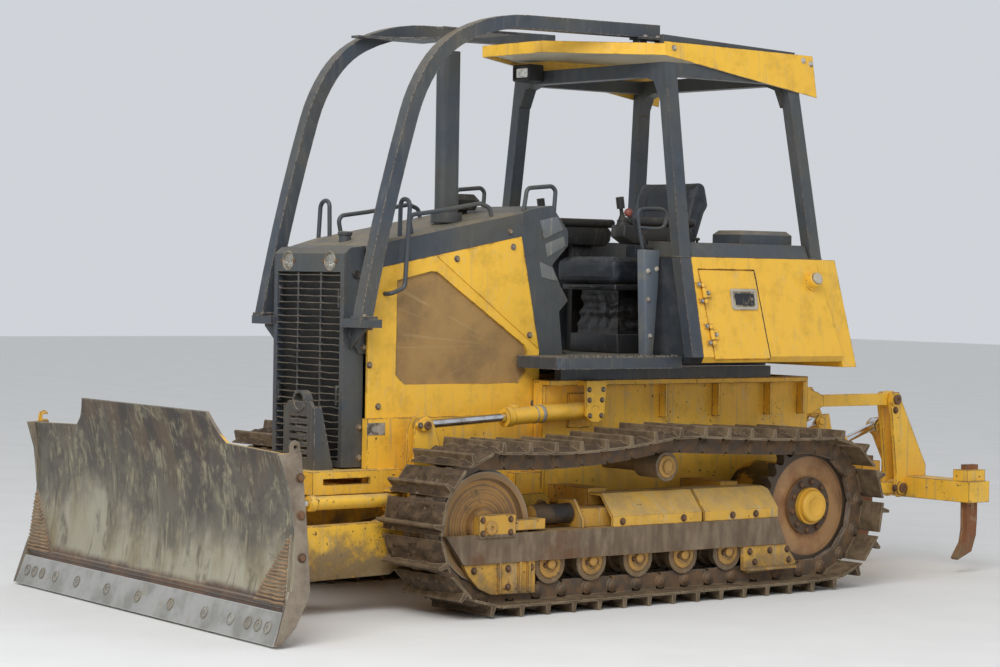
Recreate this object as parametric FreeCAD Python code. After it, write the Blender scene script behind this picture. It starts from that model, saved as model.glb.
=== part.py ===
import FreeCAD, Part
import math
import os

# Crawler dozer with a six-way blade, forestry sweeps, an open canopy and a parallel-link ripper.
# Millimetres. +X is the machine's left, -Y its front, +Z up. The ground is z = 0, and the origin
# lies on it under the middle of the whole machine.

V = FreeCAD.Vector

# The machine is drawn from a datum near the carrier rollers; this is its middle, seen from there
MIDDLE_X = -34.4
MIDDLE_Y = -56.0

# Clearances
SEAT = 0.3              # between pieces that touch on different bodies
PIN_FIT = 0.05          # radial, a pin in its bore
SIDE_GAP = 6.0          # beside a moving eye or arm

# Tracks and undercarriage
TRACK_GAUGE = 1549.0
SHOE_WIDTH = 457.0
LINK_PITCH = 159.0
SPROCKET_TEETH = 25     # a bushing sits in every second gap
GROUSER = 47.0
SHOE_PLATE = 12.0
PIN_TO_PLATE = 36.0     # from the link pins out to the inside of the shoe
PIN_TO_RAIL = 45.0      # from the link pins in to the rail that the rollers ride on
RAIL_IN = 42.0          # rail pair, from the middle of the chain
RAIL_OUT = 84.0
SAG_FRONT = 35.0
SAG_REAR = 10.0
SPROCKET_Y = 1100.0
SPROCKET_LIFT = 8.0     # how far the sprocket's lowest pins stand above the ground run's
SPROCKET_THICK = 56.0
IDLER_Y = -1085.0
IDLER_R = 262.0
ROLLER_R = 80.0
ROLLER_FLANGE = 14.0
ROLLER_REAR_Y = 770.0
ROLLER_STEP = 300.0
ROLLER_COUNT = 6
FRONT_ROLLER_STEP = 262.0
CARRIER_Y = 46.0
CARRIER_R = 60.0
CARRIER_Z = 664.0
HUB_R = 150.0
FINAL_DRIVE_R = 212.0

CHAIN_X = TRACK_GAUGE / 2
TIP = PIN_TO_PLATE + SHOE_PLATE + GROUSER
GROUND_PIN_Z = TIP
RAIL_Z = GROUND_PIN_Z + PIN_TO_RAIL
SPROCKET_R = LINK_PITCH / (2 * math.sin(2 * math.pi / SPROCKET_TEETH))
SPROCKET_Z = GROUND_PIN_Z + SPROCKET_LIFT + SPROCKET_R
IDLER_PIN_R = (IDLER_R + PIN_TO_RAIL + 1.0) / math.cos(math.asin(LINK_PITCH / 2 / (IDLER_R + PIN_TO_RAIL)))
IDLER_Z = GROUND_PIN_Z + IDLER_PIN_R
ROLLER_Z = RAIL_Z + ROLLER_R + 1.0
CARRIER_PIN_R = CARRIER_R + PIN_TO_RAIL + 12.0

# Track frames
GUARD_X = 872.0         # inside of the outer side bar
GUARD_THICK = 28.0
GUARD_TOP = 383.0
GUARD_LOW = 245.0
GUARD_FRONT = -1343.0
GUARD_REAR = 790.0
DECK_THICK = 18.0
TUBE_FRONT = -480.0     # front end of the box that the recoil cylinder pushes on
RAM_Z = 451.0
RAM_R = 48.0
COVER_TOP = 540.0
COVER_SPLIT = 278.0
COVER_FRONT = -320.0
COVER_REAR = 730.0

# Main frame
TUB_HALF = 410.0
TUB_FRONT = -380.0
TUB_REAR = 1480.0
TUB_LOW = 400.0
FLANGE_HALF = 470.0
FLANGE_Z = 1078.0
FLANGE_THICK = 26.0
RAIL_FRAME_IN = 300.0
RAIL_FRAME_OUT = 345.0
BAY_LOW = 560.0
BAY_TOP = 903.0
BAY_FRONT = -1400.0
NOSE_HALF = 400.0
NOSE_FRONT = -1750.0
NOSE_BACK = -1230.0
NOSE_LOW = 553.0
NOSE_TOP = 662.0
NOSE_WALL = 14.0

# Hood, grille and panels
GRILLE_HALF = 296.0
GRILLE_FRONT = -1515.0
GRILLE_DEPTH = 118.0
GRILLE_LOW = 670.0
GRILLE_TOP = 1708.0
GRILLE_EDGE = 30.0
SLATS = 27
SLAT_LOW = 700.0
SLAT_TOP = 1600.0
SLAT_T = 7.0
PANEL_HALF = 330.0
PANEL_T = 12.0
HOOD_REAR = -462.0

# Operator station
LEAN = math.tan(math.radians(7.9))      # side faces lean out this much for each unit down
LEAN_TOP_Z = 1705.0
LEAN_TOP_X = 738.0
FLOOR_TOP = 1200.0
LEVER_STAND = ((200, 1200.3), (300, 1200.3), (296, 1560), (282, 1735), (178, 1740), (188, 1500))
FLOOR_T = 60.0
BOX_FRONT = 330.0
DOOR_FRONT = 352.0      # the door's front edge at its top
DOOR_W = 384.0
DOOR_TOP = 1640.0
DOOR_LOW = 1192.0
DOOR_T = 16.0
DOOR_SLANT = 0.16
HINGE_OUT = 11.5        # the hinge pin's middle, out from the face
HINGE_R = 11.0
HINGE_PIN = 6.0
HINGES = ((1262.0, 1290.0), (1472.0, 1500.0))   # foot of each lower fixed knuckle and of the door's knuckle
KNUCKLE = 50.0          # length of the door's knuckle
KNUCKLE_GAP = 5.0       # between it and the fixed ones
KNUCKLE_END = 78.0      # from the door's knuckle's foot up to the hinge's top
POST_SLANT = 0.0713
BOX_REAR = 1189.0       # rear edge of the side boxes at their top
BOX_REAR_SLANT = 0.3    # how far that edge runs rearwards for each unit down
TANK_REAR = 1333.0      # the same for the tank behind them
TANK_REAR_SLANT = 0.22
TANK_FRONT = 960.0
TANK_GAP = 8.0          # between the tank and the side boxes
BOX_IN = 395.0
BOX_LOW = 1172.0
POST_X = 62.0
POST_Y = 75.0
FRONT_POST_Y = 232.0    # front of the front posts at the top
REAR_POST_Y = 1105.0
POST_TOP = 2690.0
ROOF_T = 42.0
SEAT_JOINT_Y = 690.0
ROOF_FRONT = -280.0
ROOF_REAR = 1280.0
ROOF_HALF = 602.0
ROOF_NOSE_HALF = 243.0
ROOF_RISE = 93.0        # from the posts' top to the roof's
ROOF_TOP = POST_TOP + ROOF_RISE
SKIRT_FRONT = 61.0      # depth of the roof's side skirts at their front and rear
SKIRT_REAR = 221.0
RAIL_DEEP = 46.0        # height of the roof's side rails at their front and rear
RAIL_LOW = 12.0

# Sweeps
SWEEP_X = 385.0         # inner face
SWEEP_W = 68.0
SWEEP_D = 68.0
SWEEP_FOOT = (-1523.0, 1393.0)
SWEEP_PAD_Z = 1379.0
SWEEP_LEGS = (          # length, lean back from upright at its start and end, steps
    (1015.0, 11.5, 17.5, 5),
    (267.0, 17.5, 36.0, 4),
    (270.0, 36.0, 64.0, 5),
    (255.0, 64.0, 80.0, 3),
    (160.0, 80.0, 89.3, 2),
    (870.0, 89.3, 89.3, 1),
)

# C-frame, yoke and blade
ARM_PIVOT_Y = -460.0
ARM_PIVOT_Z = 455.0
ARM_IN = 438.0
ARM_OUT = 508.0
ARM_BORE = 36.0
CROSS_BACK = -1800.0
CROSS_FRONT = -1905.0
CROSS_LOW = 165.0
CROSS_TOP = 418.0
KING_Y = -2000.0
KING_R = 38.0
NOSE_EYE_LOW = 258.0
NOSE_EYE_TOP = 392.0
BLADE_YAW = -4.5        # degrees, how the blade stands at rest
TILT_Z = 330.0
TILT_R = 55.0
BLADE_HALF_TOP = 1262.0
BLADE_HALF_LOW = 1334.0
BLADE_WING_Z = 822.0
BLADE_TOP_Z = 972.0
BLADE_LOW_Z = 172.0
BLADE_PLATE = 14.0
BLADE_BACK = -2285.0
EAR_Y = -2332.0         # hole of the ears on the blade's ends
EAR_Z = 850.0
EAR_R = 11.0
EAR_T = 18.0
HOOK_R = 15.0           # the right ear is a hook, its eye a little behind the left ear's
HOOK_Y = -2326.0
HOOK_Z = 847.0
MOULD_TOP = (-2424.0, 976.0)    # three points of the board's curve, (y, z)
MOULD_MID = (-2346.0, 500.0)
MOULD_LOW = (-2380.0, 170.0)
EDGE_T = 16.0
EDGE_LOW_Z = 10.0
EDGE_LOW_Y = -2452.0
EDGE_TOP_Y = -2400.0
EDGE_TOP_Z = 150.0
BIT_X = 975.0
BIT_END = 1326.0

# Cylinders: pin places, and sizes
LIFT_X = 473.0
LIFT_TRUNNION = (-140.0, 930.0)
LIFT_EYE = (-1179.0, 876.0)
LIFT_R = 43.0
LIFT_ROD = 21.0
LIFT_CAP_BACK = 70.0
LIFT_CLOSES = 178.0
ANGLE_Z = 525.0
ANGLE_BASE = (475.0, -1340.0)
ANGLE_EYE = (490.0, -2215.0)
ANGLE_R = 32.0
ANGLE_ROD = 17.0
ANGLE_BARREL = 465.0
ANGLE_CLOSES = {1: 252.0, -1: 176.0}     # left, right
TILT_BASE = (400.0, 640.0)
TILT_EYE = (-60.0, 700.0)
TILT_Y = -2205.0
TILT_CYL_R = 34.0
TILT_ROD_R = 17.0
TILT_CLOSES = 57.0

# Ripper
RIP_UP = (1590.0, 940.0)
RIP_LOW = (1650.0, 445.0)
RIP_L = 600.0
RIP_X = 340.0
RIP_BEAM_HALF = 865.0
RIP_BEAM_Y = 2280.0
RIP_BEAM_D = 165.0
RIP_BEAM_LOW = 393.0
RIP_BEAM_TOP = 508.0
RIP_BOSS_R = 40.0
RIP_CYL_BASE = (1600.0, 600.0)
RIP_CYL_EYE = (2200.0, 790.0)
RIP_CYL_X = 235.0
RIP_R = 40.0
RIP_ROD = 22.0
RIP_CLOSES = 109.0
SHANK_X = 790.0
SHANK_T = 44.0
SHANK_TIP_Z = 78.0


def box(x0, x1, y0, y1, z0, z1):
    return Part.makeBox(abs(x1 - x0), abs(y1 - y0), abs(z1 - z0), V(min(x0, x1), min(y0, y1), min(z0, z1)))


def rod(a, b, r):
    a, b = V(*a), V(*b)
    return Part.makeCylinder(r, (b - a).Length, a, b - a)


def ring(a, b, outer, inner):
    return rod(a, b, outer).cut(rod(a, b, inner))


def face(points):
    pts = [V(*p) for p in points]
    return Part.Face(Part.makePolygon(pts + [pts[0]]))


def yz(points, x0, x1):
    """A plate: an outline of (y, z) points, from x0 to x1."""
    return face([(x0, y, z) for y, z in points]).extrude(V(x1 - x0, 0, 0))


def xz(points, y0, y1):
    return face([(x, y0, z) for x, z in points]).extrude(V(0, y1 - y0, 0))


def xy(points, z0, z1):
    return face([(x, y, z0) for x, y in points]).extrude(V(0, 0, z1 - z0))


def mirror(shape):
    return shape.mirror(V(0, 0, 0), V(1, 0, 0))


def both(shape):
    return [shape, mirror(shape)]


def join(shapes):
    shapes = list(shapes)
    if len(shapes) == 1:
        return shapes[0]
    return shapes[0].multiFuse(shapes[1:]).removeSplitter()


def group(shapes):
    solids = []
    for shape in shapes:
        solids += shape.Solids
    return Part.makeCompound(solids)


def turn(shape, degrees, centre, axis):
    out = shape.copy()
    out.rotate(V(*centre), V(*axis), degrees)
    return out


def bent_tube(points, radius, bend):
    """A round tube along points, with an arc of the bend radius at each inner point."""
    pts = [V(*p) for p in points]
    edges = []
    start = pts[0]
    for before, here, after in zip(pts, pts[1:], pts[2:]):
        u = (here - before).normalize()
        w = (after - here).normalize()
        half = u.getAngle(w) / 2
        reach = min(bend * math.tan(half), 0.45 * (here - before).Length, 0.45 * (after - here).Length)
        first = here - u * reach
        last = here + w * reach
        r = reach / math.tan(half)
        centre = here + ((w - u).normalize()) * (r / math.cos(half))
        middle = centre + (here - centre).normalize() * r
        edges.append(Part.LineSegment(start, first).toShape())
        edges.append(Part.Arc(first, middle, last).toShape())
        start = last
    edges.append(Part.LineSegment(start, pts[-1]).toShape())
    path = Part.Wire(edges)
    section = Part.Wire([Part.Circle(pts[0], pts[1] - pts[0], radius).toShape()])
    return path.makePipeShell([section], True, True)


def lean_x(z):
    """Outer face of the operator station at height z."""
    return LEAN_TOP_X + (LEAN_TOP_Z - z) * LEAN


def lean_plate(points, inset, thick):
    """A plate in the leaning side face: (y, z) points, its outer face inset from it."""
    return face([(lean_x(z) - inset, y, z) for y, z in points]).extrude(V(-thick, 0, 0))


# Tracks

def track_path():
    """Pin places, evenly spaced round the loop, as (y, z), going up the front."""
    dense = []

    def arc(cy, cz, r, a0, a1):
        steps = 60
        for k in range(steps + 1):
            a = math.radians(a0 + (a1 - a0) * k / steps)
            dense.append((cy + r * math.cos(a), cz + r * math.sin(a)))

    def sag(p, q, depth):
        steps = 40
        for k in range(1, steps):
            t = k / steps
            dense.append((p[0] + (q[0] - p[0]) * t, p[1] + (q[1] - p[1]) * t - 4 * depth * t * (1 - t)))

    arc(IDLER_Y, IDLER_Z, IDLER_PIN_R, 270, 94)
    sag(dense[-1], (CARRIER_Y, CARRIER_Z + CARRIER_PIN_R), SAG_FRONT)
    dense.append((CARRIER_Y, CARRIER_Z + CARRIER_PIN_R))
    rear_top = (SPROCKET_Y + SPROCKET_R * math.cos(math.radians(88)),
                SPROCKET_Z + SPROCKET_R * math.sin(math.radians(88)))
    sag(dense[-1], rear_top, SAG_REAR)
    arc(SPROCKET_Y, SPROCKET_Z, SPROCKET_R, 88, -88)
    dense.append((ROLLER_REAR_Y + 60, GROUND_PIN_Z))
    dense.append(dense[0])
    length = [0.0]
    for p, q in zip(dense, dense[1:]):
        length.append(length[-1] + math.hypot(q[0] - p[0], q[1] - p[1]))
    count = round(length[-1] / LINK_PITCH)
    pins = []
    k = 0
    for i in range(count):
        want = length[-1] * i / count
        while length[k + 1] < want:
            k += 1
        t = (want - length[k]) / (length[k + 1] - length[k])
        p, q = dense[k], dense[k + 1]
        pins.append((p[0] + (q[0] - p[0]) * t, p[1] + (q[1] - p[1]) * t))
    return pins


def offset_points(pins, link_points, joint_height):
    """Outline round the loop: link_points(length) gives (along, out) for a link, and the joint's own point."""
    out = []
    count = len(pins)
    for i in range(count):
        p, q, before = pins[i], pins[(i + 1) % count], pins[i - 1]
        d = (q[0] - p[0], q[1] - p[1])
        size = math.hypot(*d)
        along = (d[0] / size, d[1] / size)
        normal = (-along[1], along[0])
        d0 = (p[0] - before[0], p[1] - before[1])
        s0 = math.hypot(*d0)
        n0 = (-d0[1] / s0, d0[0] / s0)
        bis = (normal[0] + n0[0], normal[1] + n0[1])
        scale = joint_height / (0.5 * (bis[0] ** 2 + bis[1] ** 2))
        out.append((p[0] + bis[0] * scale, p[1] + bis[1] * scale))
        for s, h in link_points(size):
            out.append((p[0] + along[0] * s + normal[0] * h, p[1] + along[1] * s + normal[1] * h))
    return out


def loop_band(outer, inner, x0, x1):
    ring_face = face([(x0, y, z) for y, z in outer]).cut(face([(x0, y, z) for y, z in inner]))
    return ring_face.extrude(V(x1 - x0, 0, 0))


def track():
    pins = track_path()
    plate_out = PIN_TO_PLATE + SHOE_PLATE
    bar = 9.0
    heel = 40.0

    def shoe(size):
        return [(7.0, plate_out), (heel - bar - 3, plate_out), (heel - bar + 2, TIP), (heel + bar - 2, TIP),
                (heel + bar + 3, plate_out), (size - 7.0, plate_out)]

    def rail(size):
        return [(16.0, -PIN_TO_RAIL), (size - 16.0, -PIN_TO_RAIL)]

    outer = offset_points(pins, shoe, plate_out - 6.0)
    middle = offset_points(pins, lambda size: [], PIN_TO_PLATE)
    lapped = offset_points(pins, lambda size: [], PIN_TO_PLATE + 3.0)
    inner = offset_points(pins, rail, -PIN_TO_RAIL + 16.0)
    band = loop_band(outer, middle, CHAIN_X - SHOE_WIDTH / 2, CHAIN_X + SHOE_WIDTH / 2)
    rails = [loop_band(lapped, inner, CHAIN_X + a, CHAIN_X + b)
             for a, b in ((-RAIL_OUT, -RAIL_IN), (RAIL_IN, RAIL_OUT))]
    return join([band] + rails)


def sprocket():
    """Toothed rim between the rails, a dished disc and its bolted ring."""
    half = SPROCKET_THICK / 2
    root = SPROCKET_R - 34.0
    tip = SPROCKET_R + 6.0
    points = []
    for k in range(SPROCKET_TEETH):
        a = 2 * math.pi * k / SPROCKET_TEETH
        step = 2 * math.pi / SPROCKET_TEETH
        for frac, r in ((0.10, root), (0.30, root + 14), (0.43, tip), (0.57, tip), (0.70, root + 14),
                        (0.90, root)):
            points.append((SPROCKET_Y + r * math.cos(a + step * frac), SPROCKET_Z + r * math.sin(a + step * frac)))
    rim = yz(points, CHAIN_X - half, CHAIN_X + half)
    dish = rod((CHAIN_X + half - 14, SPROCKET_Y, SPROCKET_Z), (CHAIN_X + half + 1, SPROCKET_Y, SPROCKET_Z), root - 32)
    flange = rod((CHAIN_X + half - 20, SPROCKET_Y, SPROCKET_Z), (CHAIN_X + half + 8, SPROCKET_Y, SPROCKET_Z), HUB_R)
    bore = rod((CHAIN_X - 60, SPROCKET_Y, SPROCKET_Z), (CHAIN_X + 90, SPROCKET_Y, SPROCKET_Z), 96.0)
    return join([rim.cut(dish), flange]).cut(bore)


def final_drive():
    c = (SPROCKET_Y, SPROCKET_Z)
    x0 = TUB_HALF
    half = SPROCKET_THICK / 2
    body = rod((x0, *c), (CHAIN_X - 116, *c), FINAL_DRIVE_R)
    neck = rod((CHAIN_X - 116, *c), (CHAIN_X - half - 2, *c), 135.0)
    hub = rod((CHAIN_X - half - 2, *c), (CHAIN_X + half + 30, *c), 95.5)
    cap = rod((CHAIN_X + half + 30, *c), (CHAIN_X + half + 62, *c), 84.0)
    cap = cap.makeFillet(16.0, [e for e in cap.Edges if abs(e.BoundBox.XMin - (CHAIN_X + half + 62)) < 0.1
                                and e.BoundBox.XLength < 0.1])
    dish = Part.makeSphere(120.0, V(CHAIN_X + half + 62 + 108, *c))
    return join([body, neck, hub, cap]).cut(dish)


def idler():
    c = (IDLER_Y, IDLER_Z)
    tread = RAIL_OUT + 2
    wheel = rod((CHAIN_X - tread, *c), (CHAIN_X + tread, *c), IDLER_R)
    flange = rod((CHAIN_X - RAIL_IN + 4, *c), (CHAIN_X + RAIL_IN - 4, *c), IDLER_R + 18)
    cuts = [ring((CHAIN_X + s * tread, *c), (CHAIN_X + s * (tread - 26), *c), IDLER_R - 30, 92.0) for s in (1, -1)]
    return join([wheel, flange]).cut(Part.makeCompound(cuts))


def roller(y, z, half):
    """A bottom roller: two treads with outer flanges, a narrower middle and its shaft's end caps."""
    middle = rod((CHAIN_X - RAIL_OUT, y, z), (CHAIN_X + RAIL_OUT, y, z), ROLLER_R - 20)
    pieces = [middle, rod((CHAIN_X - half, y, z), (CHAIN_X + half, y, z), 30.0)]
    for s in (1, -1):
        pieces.append(rod((CHAIN_X + s * (RAIL_IN - 4), y, z), (CHAIN_X + s * (RAIL_OUT + 1), y, z), ROLLER_R))
        pieces.append(rod((CHAIN_X + s * (RAIL_OUT + 1), y, z), (CHAIN_X + s * (RAIL_OUT + 9), y, z),
                          ROLLER_R + ROLLER_FLANGE))
    return join(pieces)


def roller_places():
    places = [ROLLER_REAR_Y - ROLLER_STEP * k for k in range(ROLLER_COUNT - 1)]
    places.append(places[-1] - FRONT_ROLLER_STEP)
    return places


def rollers():
    inner = GUARD_X - CHAIN_X - SEAT
    out = [roller(y, ROLLER_Z, inner) for y in roller_places()]
    z = CARRIER_Z
    body = rod((CHAIN_X - RAIL_OUT, CARRIER_Y, z), (CHAIN_X + RAIL_OUT, CARRIER_Y, z), CARRIER_R)
    face_rim = rod((CHAIN_X + RAIL_OUT + 2, CARRIER_Y, z), (CHAIN_X + RAIL_OUT + 14, CARRIER_Y, z), CARRIER_R + 12)
    neck = rod((CHAIN_X + RAIL_OUT, CARRIER_Y, z), (CHAIN_X + RAIL_OUT + 2, CARRIER_Y, z), CARRIER_R - 4)
    cap = rod((CHAIN_X + RAIL_OUT + 14, CARRIER_Y, z), (CHAIN_X + RAIL_OUT + 30, CARRIER_Y, z), 34.0)
    shaft = rod((TUB_HALF + SEAT, CARRIER_Y, z), (CHAIN_X - RAIL_OUT, CARRIER_Y, z), 34.0)
    out.append(join([body, neck, face_rim, cap, shaft]))
    return out


def track_frame():
    """Side bars, deck, box, roller guards, idler yoke and recoil cylinder of the left track."""
    inner_x = 2 * CHAIN_X - GUARD_X
    bar_outline = [(GUARD_FRONT, GUARD_TOP), (GUARD_REAR, GUARD_TOP), (GUARD_REAR + 66, GUARD_LOW),
                   (GUARD_FRONT + 107, GUARD_LOW)]
    outer_bar = yz(bar_outline, GUARD_X, GUARD_X + GUARD_THICK)
    inner_outline = [(-880, GUARD_TOP), (GUARD_REAR, GUARD_TOP), (GUARD_REAR, GUARD_LOW), (-840, GUARD_LOW)]
    inner_bar = yz(inner_outline, inner_x - GUARD_THICK, inner_x)
    deck = box(inner_x - GUARD_THICK, GUARD_X + GUARD_THICK, -770, GUARD_REAR, GUARD_TOP - DECK_THICK, GUARD_TOP)
    tube = box(CHAIN_X - 75, CHAIN_X + 56, TUBE_FRONT, GUARD_REAR - 60, GUARD_TOP, GUARD_TOP + 92)
    front_guard = [(-1236, 246), (-1200, 190), (-1140, 130), (-1066, 98), (-800, 92), (-800, 246)]
    guards = [yz(front_guard, GUARD_X, GUARD_X + 18)]
    guards += [box(GUARD_X + 18, GUARD_X + GUARD_THICK + 4, y, y + 14, 104, 246) for y in (-1028, -905, -850)]
    rear_guard = [(556, 246), (560, 122), (590, 104), (905, 116), (935, 150), (856, 246)]
    guards.append(yz(rear_guard, GUARD_X, GUARD_X + 20))
    guards.append(box(GUARD_X + 20, GUARD_X + 44, 575, 915, 118, 134))
    # Cross tubes into the main frame
    ties = [box(TUB_HALF + SEAT, inner_x - GUARD_THICK, y, y + 120, 470, 560) for y in (-330, 560)]
    posts = [box(inner_x - 140, CHAIN_X - 60, y, y + 120, GUARD_TOP, 560) for y in (-330, 560)]
    gusset = xz([(CHAIN_X - 90, GUARD_TOP), (GUARD_X, GUARD_TOP), (GUARD_X, GUARD_TOP + 40), (CHAIN_X + 30, RAM_Z + 68),
                 (CHAIN_X - 90, RAM_Z + 68)], TUBE_FRONT - 20, TUBE_FRONT)
    gusset = gusset.cut(rod((CHAIN_X, TUBE_FRONT - 25, RAM_Z), (CHAIN_X, TUBE_FRONT - SEAT, RAM_Z), RAM_R + 1))
    frame = join([outer_bar, inner_bar, deck, tube, gusset] + guards + ties + posts)
    # Idler yoke with its bearing blocks, and the recoil cylinder that pushes it
    block_x = RAIL_OUT + 2 + SEAT
    z = IDLER_Z + 8
    blocks = [box(CHAIN_X + s * block_x, CHAIN_X + s * (block_x + 46), IDLER_Y - 70, IDLER_Y + 150, z - 55, z + 52)
              for s in (1, -1)]
    cheeks = [box(CHAIN_X + s * (block_x + 6), CHAIN_X + s * (block_x + 32), IDLER_Y + 150, -775, z - 28, z + 22)
              for s in (1, -1)]
    bridge = box(CHAIN_X - block_x - 32, CHAIN_X + block_x + 32, -800, -745, z - 28, z + 22)
    ram = rod((CHAIN_X, -745, RAM_Z), (CHAIN_X, TUBE_FRONT - SEAT, RAM_Z), RAM_R)
    yoke = join(blocks + cheeks + [bridge, ram])
    return [frame, yoke]


def track_cover():
    """Sloped steel covers over the track frame's box, split crosswise."""
    inner_x = 2 * CHAIN_X - GUARD_X
    out = []
    edge = GUARD_X + GUARD_THICK - 6
    section = [(inner_x - 20, GUARD_TOP), (edge, GUARD_TOP), (edge, GUARD_TOP + 50), (CHAIN_X + 28, COVER_TOP),
               (inner_x - 20, COVER_TOP)]
    hollow = [(inner_x - 60, GUARD_TOP - 10), (edge - 14, GUARD_TOP - 10), (edge - 14, GUARD_TOP + 42),
              (CHAIN_X + 22, COVER_TOP - 14), (inner_x - 60, COVER_TOP - 14)]
    for y0, y1 in ((COVER_FRONT, COVER_SPLIT - 8), (COVER_SPLIT + 8, COVER_REAR + 70)):
        shell = xz(section, y0, y1).cut(xz(hollow, y0 - 5, y1 + 5))
        out.append(shell)
    slope = yz([(COVER_REAR + 6, COVER_TOP + 20), (COVER_REAR + 260, GUARD_TOP + 30), (COVER_REAR + 260, COVER_TOP + 20)],
               400, 1000)
    out[1] = out[1].cut(slope)
    # The bracket that carries the carrier roller keeps its own slot through the frame's ties
    slot = box(0, CHAIN_X - 58, -332, -208, GUARD_TOP - 20, 600).fuse(box(0, CHAIN_X - 58, 558, 682, GUARD_TOP - 20, 600))
    return [shape.cut(slot) for shape in out]


# Main frame

def main_frame():
    tub = box(-TUB_HALF, TUB_HALF, TUB_FRONT, TUB_REAR, TUB_LOW, FLANGE_Z)
    tub = tub.cut(box(-TUB_HALF + 16, TUB_HALF - 16, TUB_FRONT - 5, TUB_REAR - 18, TUB_LOW + 18, FLANGE_Z + 5))
    flanges = both(box(TUB_HALF - 60, FLANGE_HALF, TUB_FRONT, TUB_REAR - 60, FLANGE_Z - FLANGE_THICK, FLANGE_Z))
    ribs = []
    for y in (405, 776, 1153, 1400):
        ribs += both(yz([(y, FLANGE_Z - FLANGE_THICK), (y + 16, FLANGE_Z - FLANGE_THICK), (y + 16, 880), (y, 880)],
                        TUB_HALF, FLANGE_HALF - 14))
    rails = both(box(RAIL_FRAME_IN, RAIL_FRAME_OUT, BAY_FRONT, TUB_FRONT + 60, BAY_LOW, BAY_TOP))
    pan = box(-RAIL_FRAME_OUT, RAIL_FRAME_OUT, BAY_FRONT, TUB_FRONT + 20, BAY_LOW, BAY_LOW + 18)
    wings = both(box(RAIL_FRAME_OUT - 5, TUB_HALF + 5, TUB_FRONT, TUB_FRONT + 20, TUB_LOW, FLANGE_Z))
    # Pivot bosses of the C-frame
    cheek = both(yz([(ARM_PIVOT_Y - 80, ARM_PIVOT_Z + 130), (ARM_PIVOT_Y - 80, ARM_PIVOT_Z - 60),
                     (ARM_PIVOT_Y - 20, ARM_PIVOT_Z - 90), (TUB_FRONT + 10, ARM_PIVOT_Z - 55),
                     (TUB_FRONT + 10, BAY_LOW + 60), (ARM_PIVOT_Y - 80, BAY_LOW + 60)], TUB_HALF - 24, TUB_HALF))
    tie = both(box(RAIL_FRAME_OUT - 5, TUB_HALF, ARM_PIVOT_Y - 80, TUB_FRONT + 10, BAY_LOW, BAY_LOW + 60))
    boss = both(rod((TUB_HALF - 24, ARM_PIVOT_Y, ARM_PIVOT_Z), (ARM_IN - SIDE_GAP, ARM_PIVOT_Y, ARM_PIVOT_Z), 62.0))
    pivots = both(rod((TUB_HALF - 24, ARM_PIVOT_Y, ARM_PIVOT_Z), (ARM_OUT + 12, ARM_PIVOT_Y, ARM_PIVOT_Z),
                      ARM_BORE - PIN_FIT))
    # Nose that carries the grille and stands out ahead of it
    nose = box(-NOSE_HALF, NOSE_HALF, NOSE_FRONT, NOSE_BACK, NOSE_LOW, NOSE_TOP)
    nose = nose.cut(box(-NOSE_HALF + NOSE_WALL, NOSE_HALF - NOSE_WALL, NOSE_FRONT + NOSE_WALL, NOSE_BACK - 12,
                        NOSE_LOW - 5, NOSE_TOP - NOSE_WALL))
    slots = both(box(NOSE_HALF - 30, NOSE_HALF + 10, NOSE_FRONT + 60, NOSE_FRONT + 330, NOSE_TOP - 62, NOSE_TOP - 34))
    nose = nose.cut(Part.makeCompound(slots))
    # Inner bearings of the lift cylinders' trunnions
    y, z = LIFT_TRUNNION
    trunnion = both(box(TUB_HALF - 5, LIFT_X - LIFT_R - SIDE_GAP, y - 75, y + 75, z - 90, z + 80))
    # Ripper lugs at the rear
    lugs = []
    for py, pz in (RIP_UP, RIP_LOW):
        for s in (1, -1):
            x = s * RIP_X
            for off in (-52, 32):
                lugs.append(yz([(TUB_REAR - 12, pz + 78), (py - 10, pz + 48), (py + 34, pz + 24), (py + 34, pz - 24),
                                (py - 10, pz - 48), (TUB_REAR - 12, pz - (78 if pz > 600 else 30))], x + off, x + off + 20))
            lugs.append(rod((x - 52, py, pz), (x + 52, py, pz), 24 - PIN_FIT))
    for s in (1, -1):
        cy, cz = RIP_CYL_BASE
        for off in (-RIP_R - SIDE_GAP - 20, RIP_R + SIDE_GAP):
            lugs.append(yz([(TUB_REAR - 12, cz + 84), (cy - 10, cz + 44), (cy + 32, cz + 20), (cy + 32, cz - 24),
                            (cy - 10, cz - 42), (TUB_REAR - 12, cz - 60)], s * RIP_CYL_X + off, s * RIP_CYL_X + off + 20))
        lugs.append(rod((s * RIP_CYL_X - 66, cy, cz), (s * RIP_CYL_X + 66, cy, cz), 22 - PIN_FIT))
    return join([tub, pan, nose] + flanges + ribs + rails + wings + cheek + tie + boss + pivots + trunnion + lugs)


def lift_saddles():
    """Outer trunnion plates of the lift cylinders, bolted under the top flange."""
    y, z = LIFT_TRUNNION
    x1 = LIFT_X + LIFT_R + SIDE_GAP
    plate = yz([(y - 62, FLANGE_Z - FLANGE_THICK), (y + 70, FLANGE_Z - FLANGE_THICK), (y + 60, z - 40), (y + 25, z - 60),
                (y - 25, z - 60), (y - 55, z - 30)], x1, x1 + 18)
    top = box(FLANGE_HALF, x1 + 18, y - 62, y + 70, FLANGE_Z - FLANGE_THICK, FLANGE_Z)
    hole = rod((x1 - 5, y, z), (x1 + 30, y, z), 24.0)
    return both(join([plate, top]).cut(hole))


def engine():
    return box(-255, 255, NOSE_BACK + 8, -440, BAY_LOW + 18 + SEAT, 1480)


def radiator():
    return box(-262, 262, -1480, -1410, SLAT_LOW - 15 + SEAT, 1600)


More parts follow.
